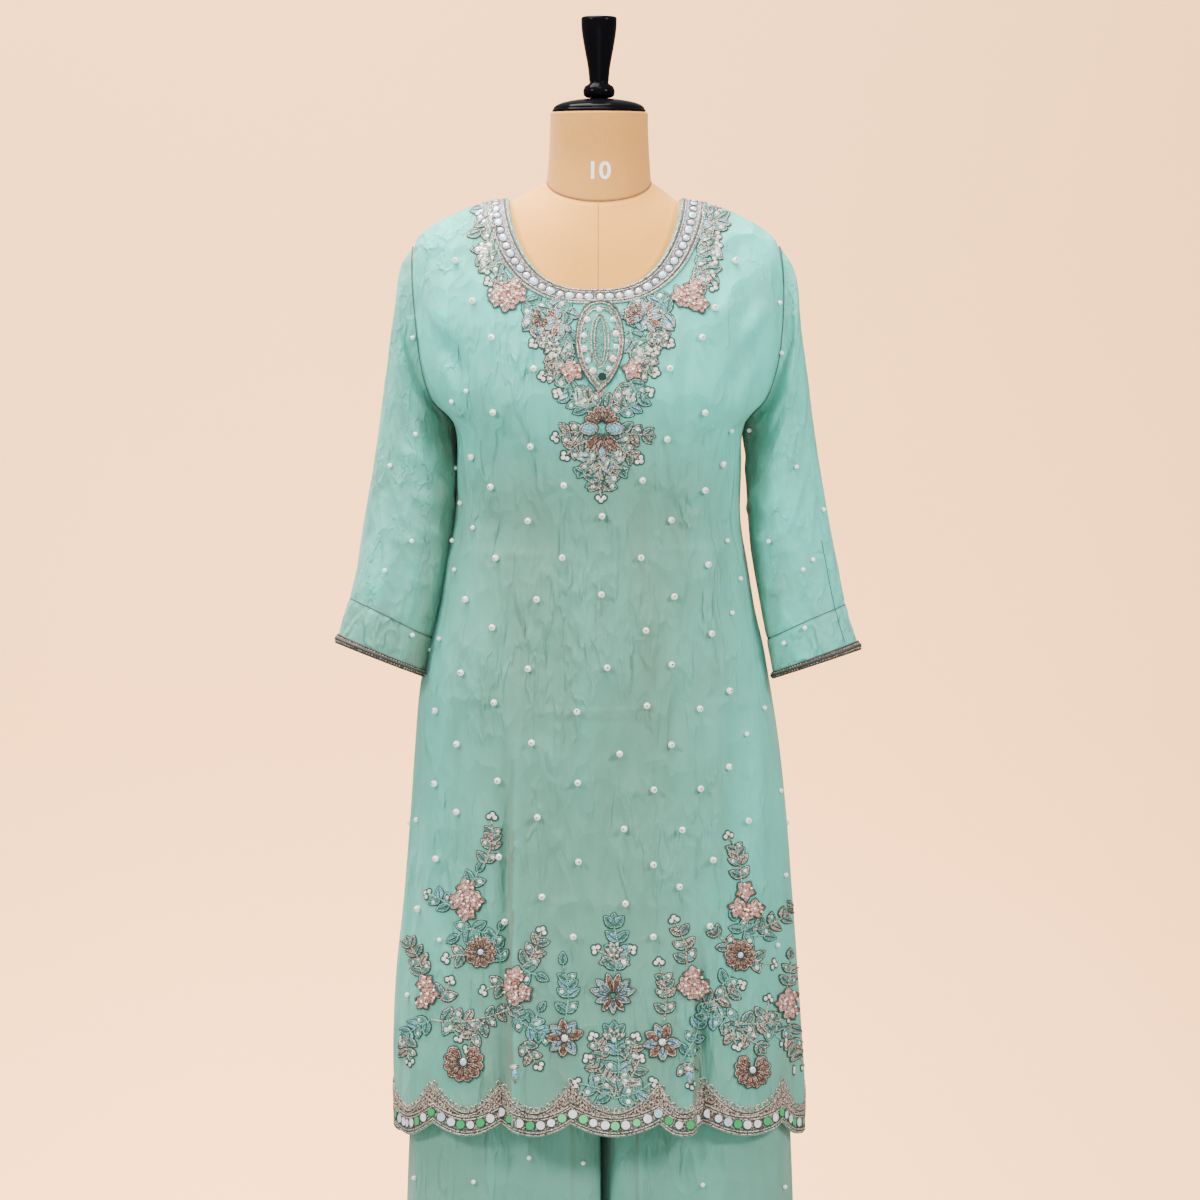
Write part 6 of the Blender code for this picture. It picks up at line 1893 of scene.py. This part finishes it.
# The medallion: half its outline from the top, its tip, its slit, leaves and stones.
MEDALLION_SIDE = table(Place, "x z", (0, 1332.4), (-12, 1330), (-21.6, 1321.6), (-27.6, 1306),
    (-30, 1286.8), (-27.6, 1268.8), (-21.6, 1253.2), (-13.2, 1240))
MEDALLION_TIP = (-0.0018, 1.2268)
SLIT_Z = 1.2868
MEDALLION_LEAVES = table(Place, "x z", (19.2, 1314.4), (20.4, 1284.4), (16.8, 1258), (9.6, 1235.2))
MEDALLION_STONES = table(Place, "x z", (-1.2, 1324), (-15.6, 1312), (-19.2, 1292.8), (-19.2, 1277.2),
    (-14.4, 1262.8), (-8.4, 1250.8), (15.6, 1312), (19.2, 1295.2), (19.2, 1279.6), (15.6, 1265.2),
    (10.8, 1253.2))


@dataclass
class Embroidery:
    """The embroidery of the yoke and of the skirt's foot, laid on the front."""

    needle: Needle
    spine: tuple[float, ...] = (0.1, 0.45, 0.8)
    blunt: tuple[Bloom, ...] = (BROWN, FAN)

    def sprig(self, sprig: Sprig) -> None:
        """Work one sprig: stem, pairs of leaves and its tip."""
        end = along(sprig.x, sprig.z, sprig.angle, sprig.length)
        bend = 0.08 if round(sprig.x * 10000) % 2 else -0.08
        way = self.needle.stem((sprig.x, sprig.z), end, bend, sprig.palette.value[0], 0.0009)
        for pair in range(sprig.pairs):
            x, z = way[min(1 + round(pair * 6 / sprig.pairs), 6)]
            size = sprig.leaf * (1.22 - 0.10 * pair)
            for side in (-1, 1):
                angle = sprig.angle + side * (50 + 6 * pair % 11)
                self.leaf(x, z, angle, size, sprig.palette, (pair + side) % 3)
        if sprig.tip is Tip.GEMS:
            self.gems(*end, sprig.angle, 0.0046)
        else:
            for turn in (-42, 0, 42) if sprig.tip is Tip.LOOPS else (0,):
                self.leaf(*end, sprig.angle + turn, sprig.leaf, sprig.palette, 1)

    def leaf(self, x: float, z: float, angle: float, length: float, palette: Palette, kind: int) -> None:
        """Work one leaf: satin over a painted shadow, in a corded edge, with a vein or a sequin."""
        edge, fill, other = palette.value
        width = length * 0.60
        # A painted shadow shows round the leaf.
        self.painted_shadow(x, z, angle, length, width)
        self.needle.satin(x, z, angle, length, width, other if kind == 0 else fill, 0.0013)
        self.needle.loop(x, z, angle, length, width, edge, 0.0007, 0.0005)
        if kind == 2:
            self.sequin(*along(x, z, angle, length * 0.62), width * 0.27)
        else:
            vein = [along(x, z, angle, length * t) for t in self.spine]
            self.needle.cord(vein, SHADE, 0.0007, lift=0.0011)

    def painted_shadow(self, x: float, z: float, angle: float, length: float, width: float,
            point: float = 0.8) -> None:
        """Lay a painted shadow: a dark sheet a little larger than a petal or leaf, which shows round it."""
        self.needle.satin(*along(x, z, angle, -SHADOW_MARGIN), angle, length + 2 * SHADOW_MARGIN, width + 2 * SHADOW_MARGIN,
            SHADE, 0.0007, None, point, 0.0004)

    def sequin(self, x: float, z: float, radius: float) -> None:
        """Sew on a cupped sequin over a dark ring of painted shadow."""
        spot = self.needle.find(x, z)
        # A dark ring of painted shadow under the sequin.
        self.needle.jewel_at(spot, ((radius + SHADOW_MARGIN, 0.0), (radius + SHADOW_MARGIN, 0.0005)), SHADE)
        self.needle.jewel_at(spot, ((radius, 0.0), (radius, 0.0012), (radius * 0.45, 0.0015)), CRYSTAL)

    def gems(self, x: float, z: float, angle: float, spread: float) -> None:
        """Set a tip of three sequins."""
        for turn, reach in ((-62, 0.9), (0, 1.15), (62, 0.9)):
            self.sequin(*along(x, z, angle + turn, spread * reach), 0.0027)

    def rose(self, rose: Rose) -> None:
        """Work one padded rose: two rounds of domed petals, the outer one over painted shadows, and its
        crystals.
        """
        start = rose.x * 40000 % 60
        needle = self.needle
        for layer, (size, lift) in enumerate(((1.12, 0.0010), (0.66, 0.0022))):
            for k in range(5):
                angle = start + (k + layer * 0.5) * 72
                length, width = rose.radius * size, rose.radius * size * 0.74
                if layer == 0:
                    # A painted shadow shows round each outer petal.
                    self.painted_shadow(rose.x, rose.z, angle, length, width)
                needle.satin(rose.x, rose.z, angle, length, width, PINK, lift)
                needle.loop(rose.x, rose.z, angle, length * 0.98, width, PINK_EDGE if k % 2 else BRONZE,
                    0.0006, lift * 0.4)
        for reach, angle in [(0.0, 0.0)] + [(0.72, start + 36 + k * 144) for k in range(3)]:
            spot = needle.find(*along(rose.x, rose.z, angle, rose.radius * reach))
            needle.bead_at(raised(spot, 0.0012), 0.0022 if reach == 0.0 else 0.0019, CRYSTAL, 7, 3)

    def flower(self, flower: Flower) -> None:
        """Work one corded flower of its kind."""
        count = flower.petals
        full = flower.sweep >= 300
        wide = 2.4 if flower.kind in self.blunt else 1.6
        width = min(wide * math.pi * flower.radius * max(flower.sweep, 60) / 360 / count, flower.radius
            * 0.60)
        for k in range(count):
            share = k / count if full else k / max(count - 1, 1)
            self.petal(flower, flower.start + flower.sweep * share, width, k)
        if full or flower.kind in (FAN, STAR, PALE):
            spot = raised(self.needle.find(flower.x, flower.z), 0.0008)
            self.needle.stone_at(spot, flower.radius * 0.21, CRYSTAL if flower.kind is STAR else BLUE_STONE)

    def petal(self, flower: Flower, angle: float, width: float, k: int) -> None:
        """Work one petal of a corded flower, a little off its centre."""
        x, z = along(flower.x, flower.z, angle, flower.radius * 0.20)
        radius = flower.radius * 0.84
        needle = self.needle
        blunt = 1.5 if flower.kind in self.blunt else 0.9
        # A painted shadow shows round the petal.
        self.painted_shadow(x, z, angle, radius, width, blunt)
        if flower.kind in self.blunt:
            needle.satin(x, z, angle, radius, width, BRONZE, 0.0015, None, blunt)
            needle.loop(x, z, angle, radius, width, SILVER, 0.0006, 0.0006, blunt)
            needle.loop(x, z, angle, radius * 0.74, width * 0.62, UMBER, 0.0005, 0.0013, blunt)
            vein = [along(x, z, angle, radius * t) for t in self.spine]
            needle.cord(vein, DARK_SILVER if k % 2 else BRONZE, 0.0006, lift=0.0013)
        elif flower.kind is BLUE:
            needle.satin(x, z, angle, radius, width * 0.9, BRONZE if k % 3 == 1 else SKY, 0.0015, SILVER)
        elif flower.kind is PALE:
            needle.satin(x, z, angle, radius, width * 0.9, SEAFOAM, 0.0010, SILVER)
            self.sequin(*along(x, z, angle, radius * 0.7), 0.0016)
        else:
            brown = {STAR: (0, 2, 4, 6), LOTUS: (2, 3), CALYX: (1, 3)}[flower.kind]
            fill = BRONZE if k in brown else SKY
            needle.satin(x, z, angle, radius, width * 0.9, fill, 0.0015, SILVER)
            needle.loop(x, z, angle, radius * 0.62, width * 0.40, UMBER, 0.0006, 0.0013)

    def medallion(self) -> None:
        """Work the drop-shaped medallion under the neckline's middle, round its slit."""
        needle = self.needle
        side = [(MEDALLION_X + (x - MEDALLION_X) * 0.93, z) for x, z in MEDALLION_SIDE]
        outline = side + [MEDALLION_TIP] + [(MEDALLION_X * 2 - x, z) for x, z in side[:0:-1]]
        # The outermost, dark ring is a painted shadow round the medallion.
        for share, lift, radius, finish in ((1.05, 0.0, 0.0012, SHADE), (1.0, 0.0004, 0.0010, SILVER),
                (0.92, 0.0004, 0.0007, DARK_SILVER), (0.86, 0.0004, 0.0010, SILVER)):
            ring = [(MEDALLION_X + (x - MEDALLION_X) * share, MEDALLION_Z + (z - MEDALLION_Z) * share)
                for x, z in outline]
            needle.cord(ring, finish, radius, True, lift)
        for across, down, radius in ((0.01032, 0.0324, 0.0010), (0.00648, 0.0276, 0.0009)):
            slit = [(MEDALLION_X + across * math.cos(a), SLIT_Z + down * math.sin(a)) for a in around(24)]
            needle.cord(slit, SILVER, radius, True, 0.0004)
        needle.satin(-0.0006, 1.2580, 90, 0.0576, 0.0108, SEAFOAM, 0.0008)
        for sign in (-1, 1):
            for x, z in MEDALLION_LEAVES:
                needle.loop(MEDALLION_X + sign * x, z, 90 + sign * 12, 0.0192, 0.0096, DARK_SILVER, 0.0007)
        for k, (x, z) in enumerate(MEDALLION_STONES):
            needle.stone_at(raised(needle.find(x, z), 0.0006), 0.0043 if k % 2 else 0.0037,
                (BLUE_STONE, ROSE_STONE)[k % 2])
        needle.mirror_at(raised(needle.find(0.0024, 1.2436), 0.0012), 0.0056, DARK_MIRROR)
        needle.satin(-0.0024, 1.2196, 62, 0.0192, 0.0072, PINK, 0.0012, SILVER)

    def pendant(self, x: float, z: float) -> None:
        """Hang a drop pendant: white cap, pale blue drop and bronze tip."""
        needle = self.needle
        needle.satin(x, z + 0.004, -90, 0.0050, 0.0085, CRYSTAL, 0.0022, SILVER)
        needle.satin(x, z, -88, 0.0150, 0.0062, SKY, 0.0026)
        needle.satin(x + 0.0004, z - 0.0130, -88, 0.0060, 0.0030, BRONZE, 0.0018)

    def make(self) -> list[Piece]:
        """Work the whole plan and give its pieces."""
        for sprigs, fuller in ((YOKE_SPRIGS, 1.25), (HEM_SPRIGS, 1.16)):
            for sprig in sprigs:
                self.sprig(sprig._replace(leaf=sprig.leaf * fuller))
        flat = self.needle.find
        self.needle.find = lambda x, z: raised(flat(x, z), 0.0009)
        for flower in YOKE_FLOWERS + HEM_FLOWERS:
            self.flower(flower)
        for rose in YOKE_ROSES + HEM_ROSES:
            self.rose(rose)
        self.needle.find = lambda x, z: raised(flat(x, z), 0.0004)
        self.medallion()
        self.pendant(-0.1020, 0.4144)
        self.pendant(0.1068, 0.4120)
        return self.needle.pieces()


@dataclass
class Borders:
    """The neck's stone band and the scalloped lace round the hem."""

    drape: KameezDrape
    columns: int = 180

    def line(self, facing: Facing, level: Callable[[float], float], lift: float = 0.0, count: int = 150,
            wave: Callable[[float], float] | None = None) -> list[Spot]:
        """Give the places of a line across a panel, at a level that may change along it."""
        reach = self.drape.edge(level(0.0), facing)
        spots = []
        for share in even(-1.0, 1.0, count):
            u = share * self.drape.edge(level(share * reach), facing)
            v = level(u) + (wave(u) if wave else 0.0)
            spots.append(self.drape.spot(u, v, facing, lift))
        return spots

    def ground(self, name: str, facing: Facing, high: Callable[[float], float],
            low: Callable[[float], float], rows: int, lift: float, finish: Finish = GROUND) -> Piece:
        """Make a border's ground: a thin strip between two levels."""
        points, flat = [], []
        count = 0
        for k in range(rows + 1):
            share = k / rows
            lift_here = lift if 0 < k < rows else lift * 0.25

            def level(u: float, t: float = share) -> float:
                """Give the strip's level at a share of its width."""
                return high(u) + (low(u) - high(u)) * t

            spots = self.line(facing, level, lift_here, self.columns)
            count = len(spots)
            points += [point for point, _ in spots]
            flat += [(0.004 * i, 0.01 * share) for i in range(count)]
        faces = grid(rows + 1, count, flip=facing == BACK)
        piece = make_piece(name, points, faces, finish, flat)
        thicken(piece, 0.0005)
        return piece

    def neck(self) -> list[Piece]:
        """Make the stone band round the front neckline."""
        drape = self.drape
        low, high = 0.0014, drape.binding + drape.trim + 0.0010
        band = self.ground("neck_band_ground", FRONT, lambda u: low, lambda u: high, 6, 0.0007, NECK_GROUND)
        needle = Needle("neck_band")
        for level, radius, finish in ((low + 0.0006, 0.0011, SILVER), (low + 0.0022, 0.0007, SHADE),
                (low + 0.0034, 0.0010, SILVER), (high - 0.0040, 0.0010, SILVER),
                (high - 0.0026, 0.0007, SHADE), (high - 0.0012, 0.0010, SILVER), (high, 0.0011, SEAFOAM)):
            needle.cord_along(self.line(FRONT, lambda u, v=level: v, 0.0008), finish, radius)
        middle = (low + high) / 2
        reach = drape.edge(middle, FRONT)
        count = round(2 * reach / 0.0122)
        for k in range(count + 1):
            u = -reach + 0.004 + (2 * reach - 0.008) * k / count
            spot = drape.spot(u, middle, FRONT, 0.0009)
            aim = drape.spot(min(u + 0.003, reach), middle, FRONT, 0.0009)[0] - spot[0]
            aim = aim.normalized() if aim.length > 1e-6 else Vector((1.0, 0.0, 0.0))
            finish = (BLUE_STONE, ROSE_STONE, BLUE_STONE, CRYSTAL)[k % 4]
            big = k % 2 == 0
            size = (0.0048 if big else 0.0042) * (0.92 + 0.04 * (k * 7 % 5))
            needle.stone_at(spot, size, finish, 1.22 if big else 0.90, aim)
            # A dark ring of painted shadow round each stone.
            ring = [(spot[0] + aim * math.cos(a) * 0.0058 + spot[1].cross(aim) * math.sin(a) * 0.0052,
                spot[1]) for a in around(10)]
            needle.cord_along(ring, SHADE, 0.0006, True)
        pieces = needle.pieces()
        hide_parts("neck_trim")
        return [band] + pieces

    def hem(self, facing: Facing) -> list[Piece]:
        """Make the scalloped lace along one panel's hem."""
        drape = self.drape
        side = facing.name.lower()

        def foot(u: float) -> float:
            """Give the lace's lower edge."""
            return drape.hem_level(u, facing) - 0.0016

        def head(u: float) -> float:
            """Give the lace's upper edge."""
            return drape.border_level(u, facing) + 0.004

        ground = self.ground(f"hem_lace_ground_{side}", facing, head, foot, 9, 0.0006)
        needle = Needle(f"hem_lace_{side}")
        for base, shift, radius, finish, ripple in ((foot, -0.0006, 0.0010, SILVER, 0.0),
                (foot, -0.0022, 0.0008, SHADE, 0.0003), (foot, -0.0038, 0.0010, SILVER, 0.0004),
                (foot, -0.0054, 0.0009, SHADE, 0.0), (foot, -0.0186, 0.0010, SILVER, 0.0),
                (foot, -0.0204, 0.0008, SHADE, 0.0005), (foot, -0.0218, 0.0010, SILVER, 0.0004),
                (head, 0.0046, 0.0009, SILVER, 0.0003), (head, 0.0030, 0.0008, SHADE, 0.0005),
                (head, 0.0012, 0.0010, SILVER, 0.0)):
            spots = self.line(facing, lambda u, b=base, s=shift: b(u) + s, 0.0007, 260, lambda u,
                r=ripple: r * math.sin(u * 1400))
            needle.cord_along(spots, finish, radius)
        reach = drape.edge(drape.hem, facing)
        self.loops(needle, facing, head, reach)
        self.mirrors(needle, facing, foot, reach)
        pieces = needle.pieces()
        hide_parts(f"hem_border_{side}")
        return [ground] + pieces

    def loops(self, needle: Needle, facing: Facing, head: Callable[[float], float], reach: float) -> None:
        """Work the row of small loops along the lace's upper edge, and the filling under it."""
        drape = self.drape
        count = round(2 * reach / 0.0068)
        for k in range(count):
            u = -reach + 2 * reach * (k + 0.5) / count
            for shift, size, radius in ((-0.0020, 0.0029, 0.0009), (0.0078, 0.0025, 0.0008),
                    (0.0136, 0.0025, 0.0008), (0.0194, 0.0025, 0.0008)):
                level = head(u) + shift
                if shift > 0 and level > drape.hem_level(u, facing) - 0.026:
                    continue
                ring = [drape.spot(u + size * math.cos(a), level + size * math.sin(a) * 1.15, facing,
                    0.0008) for a in around(8)]
                needle.cord_along(ring, SILVER, radius, True)

    def mirrors(self, needle: Needle, facing: Facing, foot: Callable[[float], float], reach: float) -> None:
        """Set the row of round mirrors."""
        drape = self.drape
        count = round(2 * reach / 0.0126)
        for k in range(count):
            u = -reach + 2 * reach * (k + 0.5) / count
            finish = GREEN_MIRROR if k % 5 in (1, 3) and k % 11 != 3 else MIRROR
            finish = BLUE_STONE if k % 7 == 2 and finish is MIRROR else finish
            size = 0.0057 if k % 4 else 0.0051
            # Each mirror sits in a dark ring of painted shadow.
            needle.mirror_at(drape.spot(u, foot(u) - 0.0124, facing, 0.0009), size, finish, SHADE)


# ---- studio
# Each light's name, place, aim, size, power and colour.
LIGHTS = (("key", (-2.6, -2.0, 2.6), (0.0, 0.0, 1.10), 0.8, 108.0, (1.0, 0.995, 0.990)),
    ("fill", (2.7, -2.0, 2.5), (0.0, 0.0, 1.05), 0.9, 128.0, (1.0, 0.995, 0.990)),
    ("crown", (0.0, -1.2, 3.4), (0.0, 0.0, 1.10), 1.0, 30.0, (1.0, 0.990, 0.980)),
    ("foot", (0.0, -3.2, 0.5), (0.0, 0.0, 0.55), 1.6, 16.0, (0.94, 0.98, 1.0)),
    ("wall wash", (-0.9, 0.5, 4.3), (-0.5, 1.5, 0.5), 2.4, 535.0, (1.0, 0.985, 0.960)),
    ("low wash", (-0.2, 0.75, 0.06), (-0.15, 1.6, 0.35), 2.0, 64.0, (1.0, 0.99, 0.97)),)


@dataclass
class Studio:
    """Pale floor and wall, soft lights and the camera."""

    half: float = 1.2
    wall: tuple[float, float, float] = (0.960, 0.510, 0.225)
    floor: tuple[float, float, float] = (0.420, 0.440, 0.430)

    def paint(self, name: str) -> bpy.types.Material:
        """Give the backdrop its soft plaster colour."""
        nodes = Nodes(name)
        cloud = nodes.ramp(nodes.noise(0.9, 3.0), 0.25, 0.80)
        deep = tuple(c * 0.955 for c in self.wall)
        apart = nodes.add("ShaderNodeSeparateXYZ")
        nodes.link(nodes.place.outputs["Object"], apart.inputs["Vector"])
        behind = nodes.ramp(apart.outputs["Y"], 0.60, 0.95)
        plaster = nodes.mix(cloud, deep, self.wall)
        nodes.dress(nodes.mix(behind, self.floor, plaster))
        nodes.set(roughness=0.95, specular_ior_level=0.1)
        return nodes.material

    def sheet(self, name: str, points: Sequence[Vector], columns: int,
            material: bpy.types.Material) -> None:
        """Lay out one sheet of the studio, two rows of points, and stage it."""
        mesh = bpy.data.meshes.new(name)
        mesh.from_pydata([tuple(p) for p in points], [], grid(2, columns, flip=True))
        mesh.shade_smooth()
        mesh.materials.append(material)
        sheet = bpy.data.objects.new(name, mesh)
        bpy.context.collection.objects.link(sheet)
        sheet.visible_glossy = False

    def backdrop(self) -> None:
        """Build the wide floor, and the roll of backing that sweeps up into the wall."""
        profile = [(-7.0, 0.0), (0.9, 0.0)]
        profile += [(0.9 + 0.8 * math.sin(a), 0.8 - 0.8 * math.cos(a)) for a in even(0, math.pi / 2, 12)]
        profile += [(1.7, 4.2)]
        points = [Vector((x, y, z)) for x in (-self.half, self.half) for y, z in profile]
        self.sheet("studio_sweep", points, len(profile), self.paint("studio plaster"))
        boards = Nodes("studio floor")
        boards.set(base_color=(*self.floor, 1.0), roughness=0.95, specular_ior_level=0.1)
        points = [Vector((x, y, -0.002)) for x in (-6.0, 6.0) for y in (-7.0, 6.0)]
        self.sheet("studio_floor", points, 2, boards.material)

    def light(self, name: str, place: Sequence[float], aim: Sequence[float], size: float, power: float,
            colour: Sequence[float]) -> None:
        """Hang one soft square light."""
        data = bpy.data.lights.new(name, "AREA")
        data.size = size
        data.energy = power
        data.color = colour
        lamp = bpy.data.objects.new(name, data)
        lamp.location = place
        direction = Vector(aim) - Vector(place)
        lamp.rotation_euler = direction.to_track_quat("-Z", "Y").to_euler()
        bpy.context.collection.objects.link(lamp)

    def camera(self) -> None:
        """Set up the camera, level with the suit's middle."""
        data = bpy.data.cameras.new("camera")
        data.lens = 350.0
        data.sensor_width = 36.0
        camera = bpy.data.objects.new("camera", data)
        camera.location = EYE
        camera.rotation_euler = (math.pi / 2, 0.0, 0.0)
        bpy.context.collection.objects.link(camera)
        bpy.context.scene.camera = camera

    def make(self) -> None:
        """Set up the studio."""
        self.backdrop()
        world = bpy.data.worlds.new("studio air")
        world.use_nodes = True
        background = world.node_tree.nodes["Background"]
        background.inputs["Color"].default_value = (1.0, 0.955, 0.920, 1.0)
        background.inputs["Strength"].default_value = 0.42
        bpy.context.scene.world = world
        for name, place, aim, size, power, colour in LIGHTS:
            self.light(name, place, aim, size, power, colour)


# ---- the whole suit
def sew_beads(front: Piece, cloths: Sequence[Piece], drape: KameezDrape) -> None:
    """Sew the white beads on the front, the sleeves, the trousers and the back."""
    find = looker(surface_tree([front] + list(cloths)))
    needle = Needle("beads", find, 20.0)
    for x, z in FRONT_BEADS:
        needle.bead_at(find(x, z), 0.0042, PEARL, 8, 4)
        needle.bead_at(raised(find(x, z), 0.0070), 0.0013, SILVER, 5, 2)
    for x, z in SMALL_BEADS:
        needle.bead_at(find(x, z), 0.0030, PEARL, 7, 4)
    for row in range(17):
        z = 1.294 - row * 0.0451
        for column in range(-3, 4):
            u = 0.087 * (column if row % 2 else column + 0.5)
            level = level_of(drape, z, u)
            if abs(u) < drape.edge(level, BACK) - 0.022:
                needle.bead_at(drape.spot(u, level, BACK), 0.0042)
    needle.pieces()


def level_of(drape: KameezDrape, z: float, across: float) -> float:
    """Find the back panel's level at a height, by halving."""
    high, low = 0.0, drape.hem
    for _ in range(16):
        middle = (high + low) / 2
        if drape.hang(across, middle, BACK).z > z:
            high = middle
        else:
            low = middle
    return (high + low) / 2


def looker(tree: BVHTree) -> Callable[[float, float], Spot]:
    """Give a finder of the cloth's place that is drawn at x and z on the plan."""
    @lru_cache(maxsize=None)
    def find(x: float, z: float) -> Spot:
        """Find the place and its normal, looking from the plan's eye."""
        ray = (Vector((x, 0.0, z)) - EYE).normalized()
        point, normal, _, _ = tree.ray_cast(EYE, ray)
        if point is None:
            point, normal, _, _ = tree.find_nearest(Vector((x, -0.05, z)))
        return point, normal if normal.dot(ray) < 0.2 else -normal
    return find


def main() -> None:
    """Load the frame, dress it and set up the studio."""
    logging.basicConfig(level=logging.INFO, format="%(name)s: %(message)s")
    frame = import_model()
    LOG.info("nodes: %d", len(frame["nodes"]))
    Studio().camera()
    drape = KameezDrape()
    kameez = Kameez(drape)
    front, back = kameez.panel(FRONT, "kameez_front_cloth"), kameez.panel(BACK, "kameez_back_cloth")
    kameez.binding()
    sleeves = [Sleeve(Side.RIGHT, RIGHT_SLEEVE, drape), Sleeve(Side.LEFT, LEFT_SLEEVE, drape)]
    sleeve_cloths = [sleeve.make() for sleeve in sleeves]
    cuffs = [sleeve.cuff() for sleeve in sleeves]
    for sleeve in sleeves:
        sleeve.seams()
    trousers = Trousers()
    trousers.make()
    borders = Borders(drape)
    front_trims = borders.neck() + borders.hem(FRONT)
    back_trims = borders.hem(BACK)
    front_trims += Embroidery(Needle("embroidery", looker(surface_tree([front])))).make()
    sew_beads(front, sleeve_cloths + [o for o in bpy.data.objects if o.name.startswith("trouser_")
        and o.name.endswith("_cloth")], drape)
    kameez.declare(FRONT)
    kameez.declare(BACK)
    DressForm().make()
    for node, finish in (("stand_base", BLACK), ("stand_pole", STEEL)):
        for slot in frame["nodes"][node].material_slots:
            slot.material = finish.material()
    Studio().make()


if __name__ == "__main__":
    main()
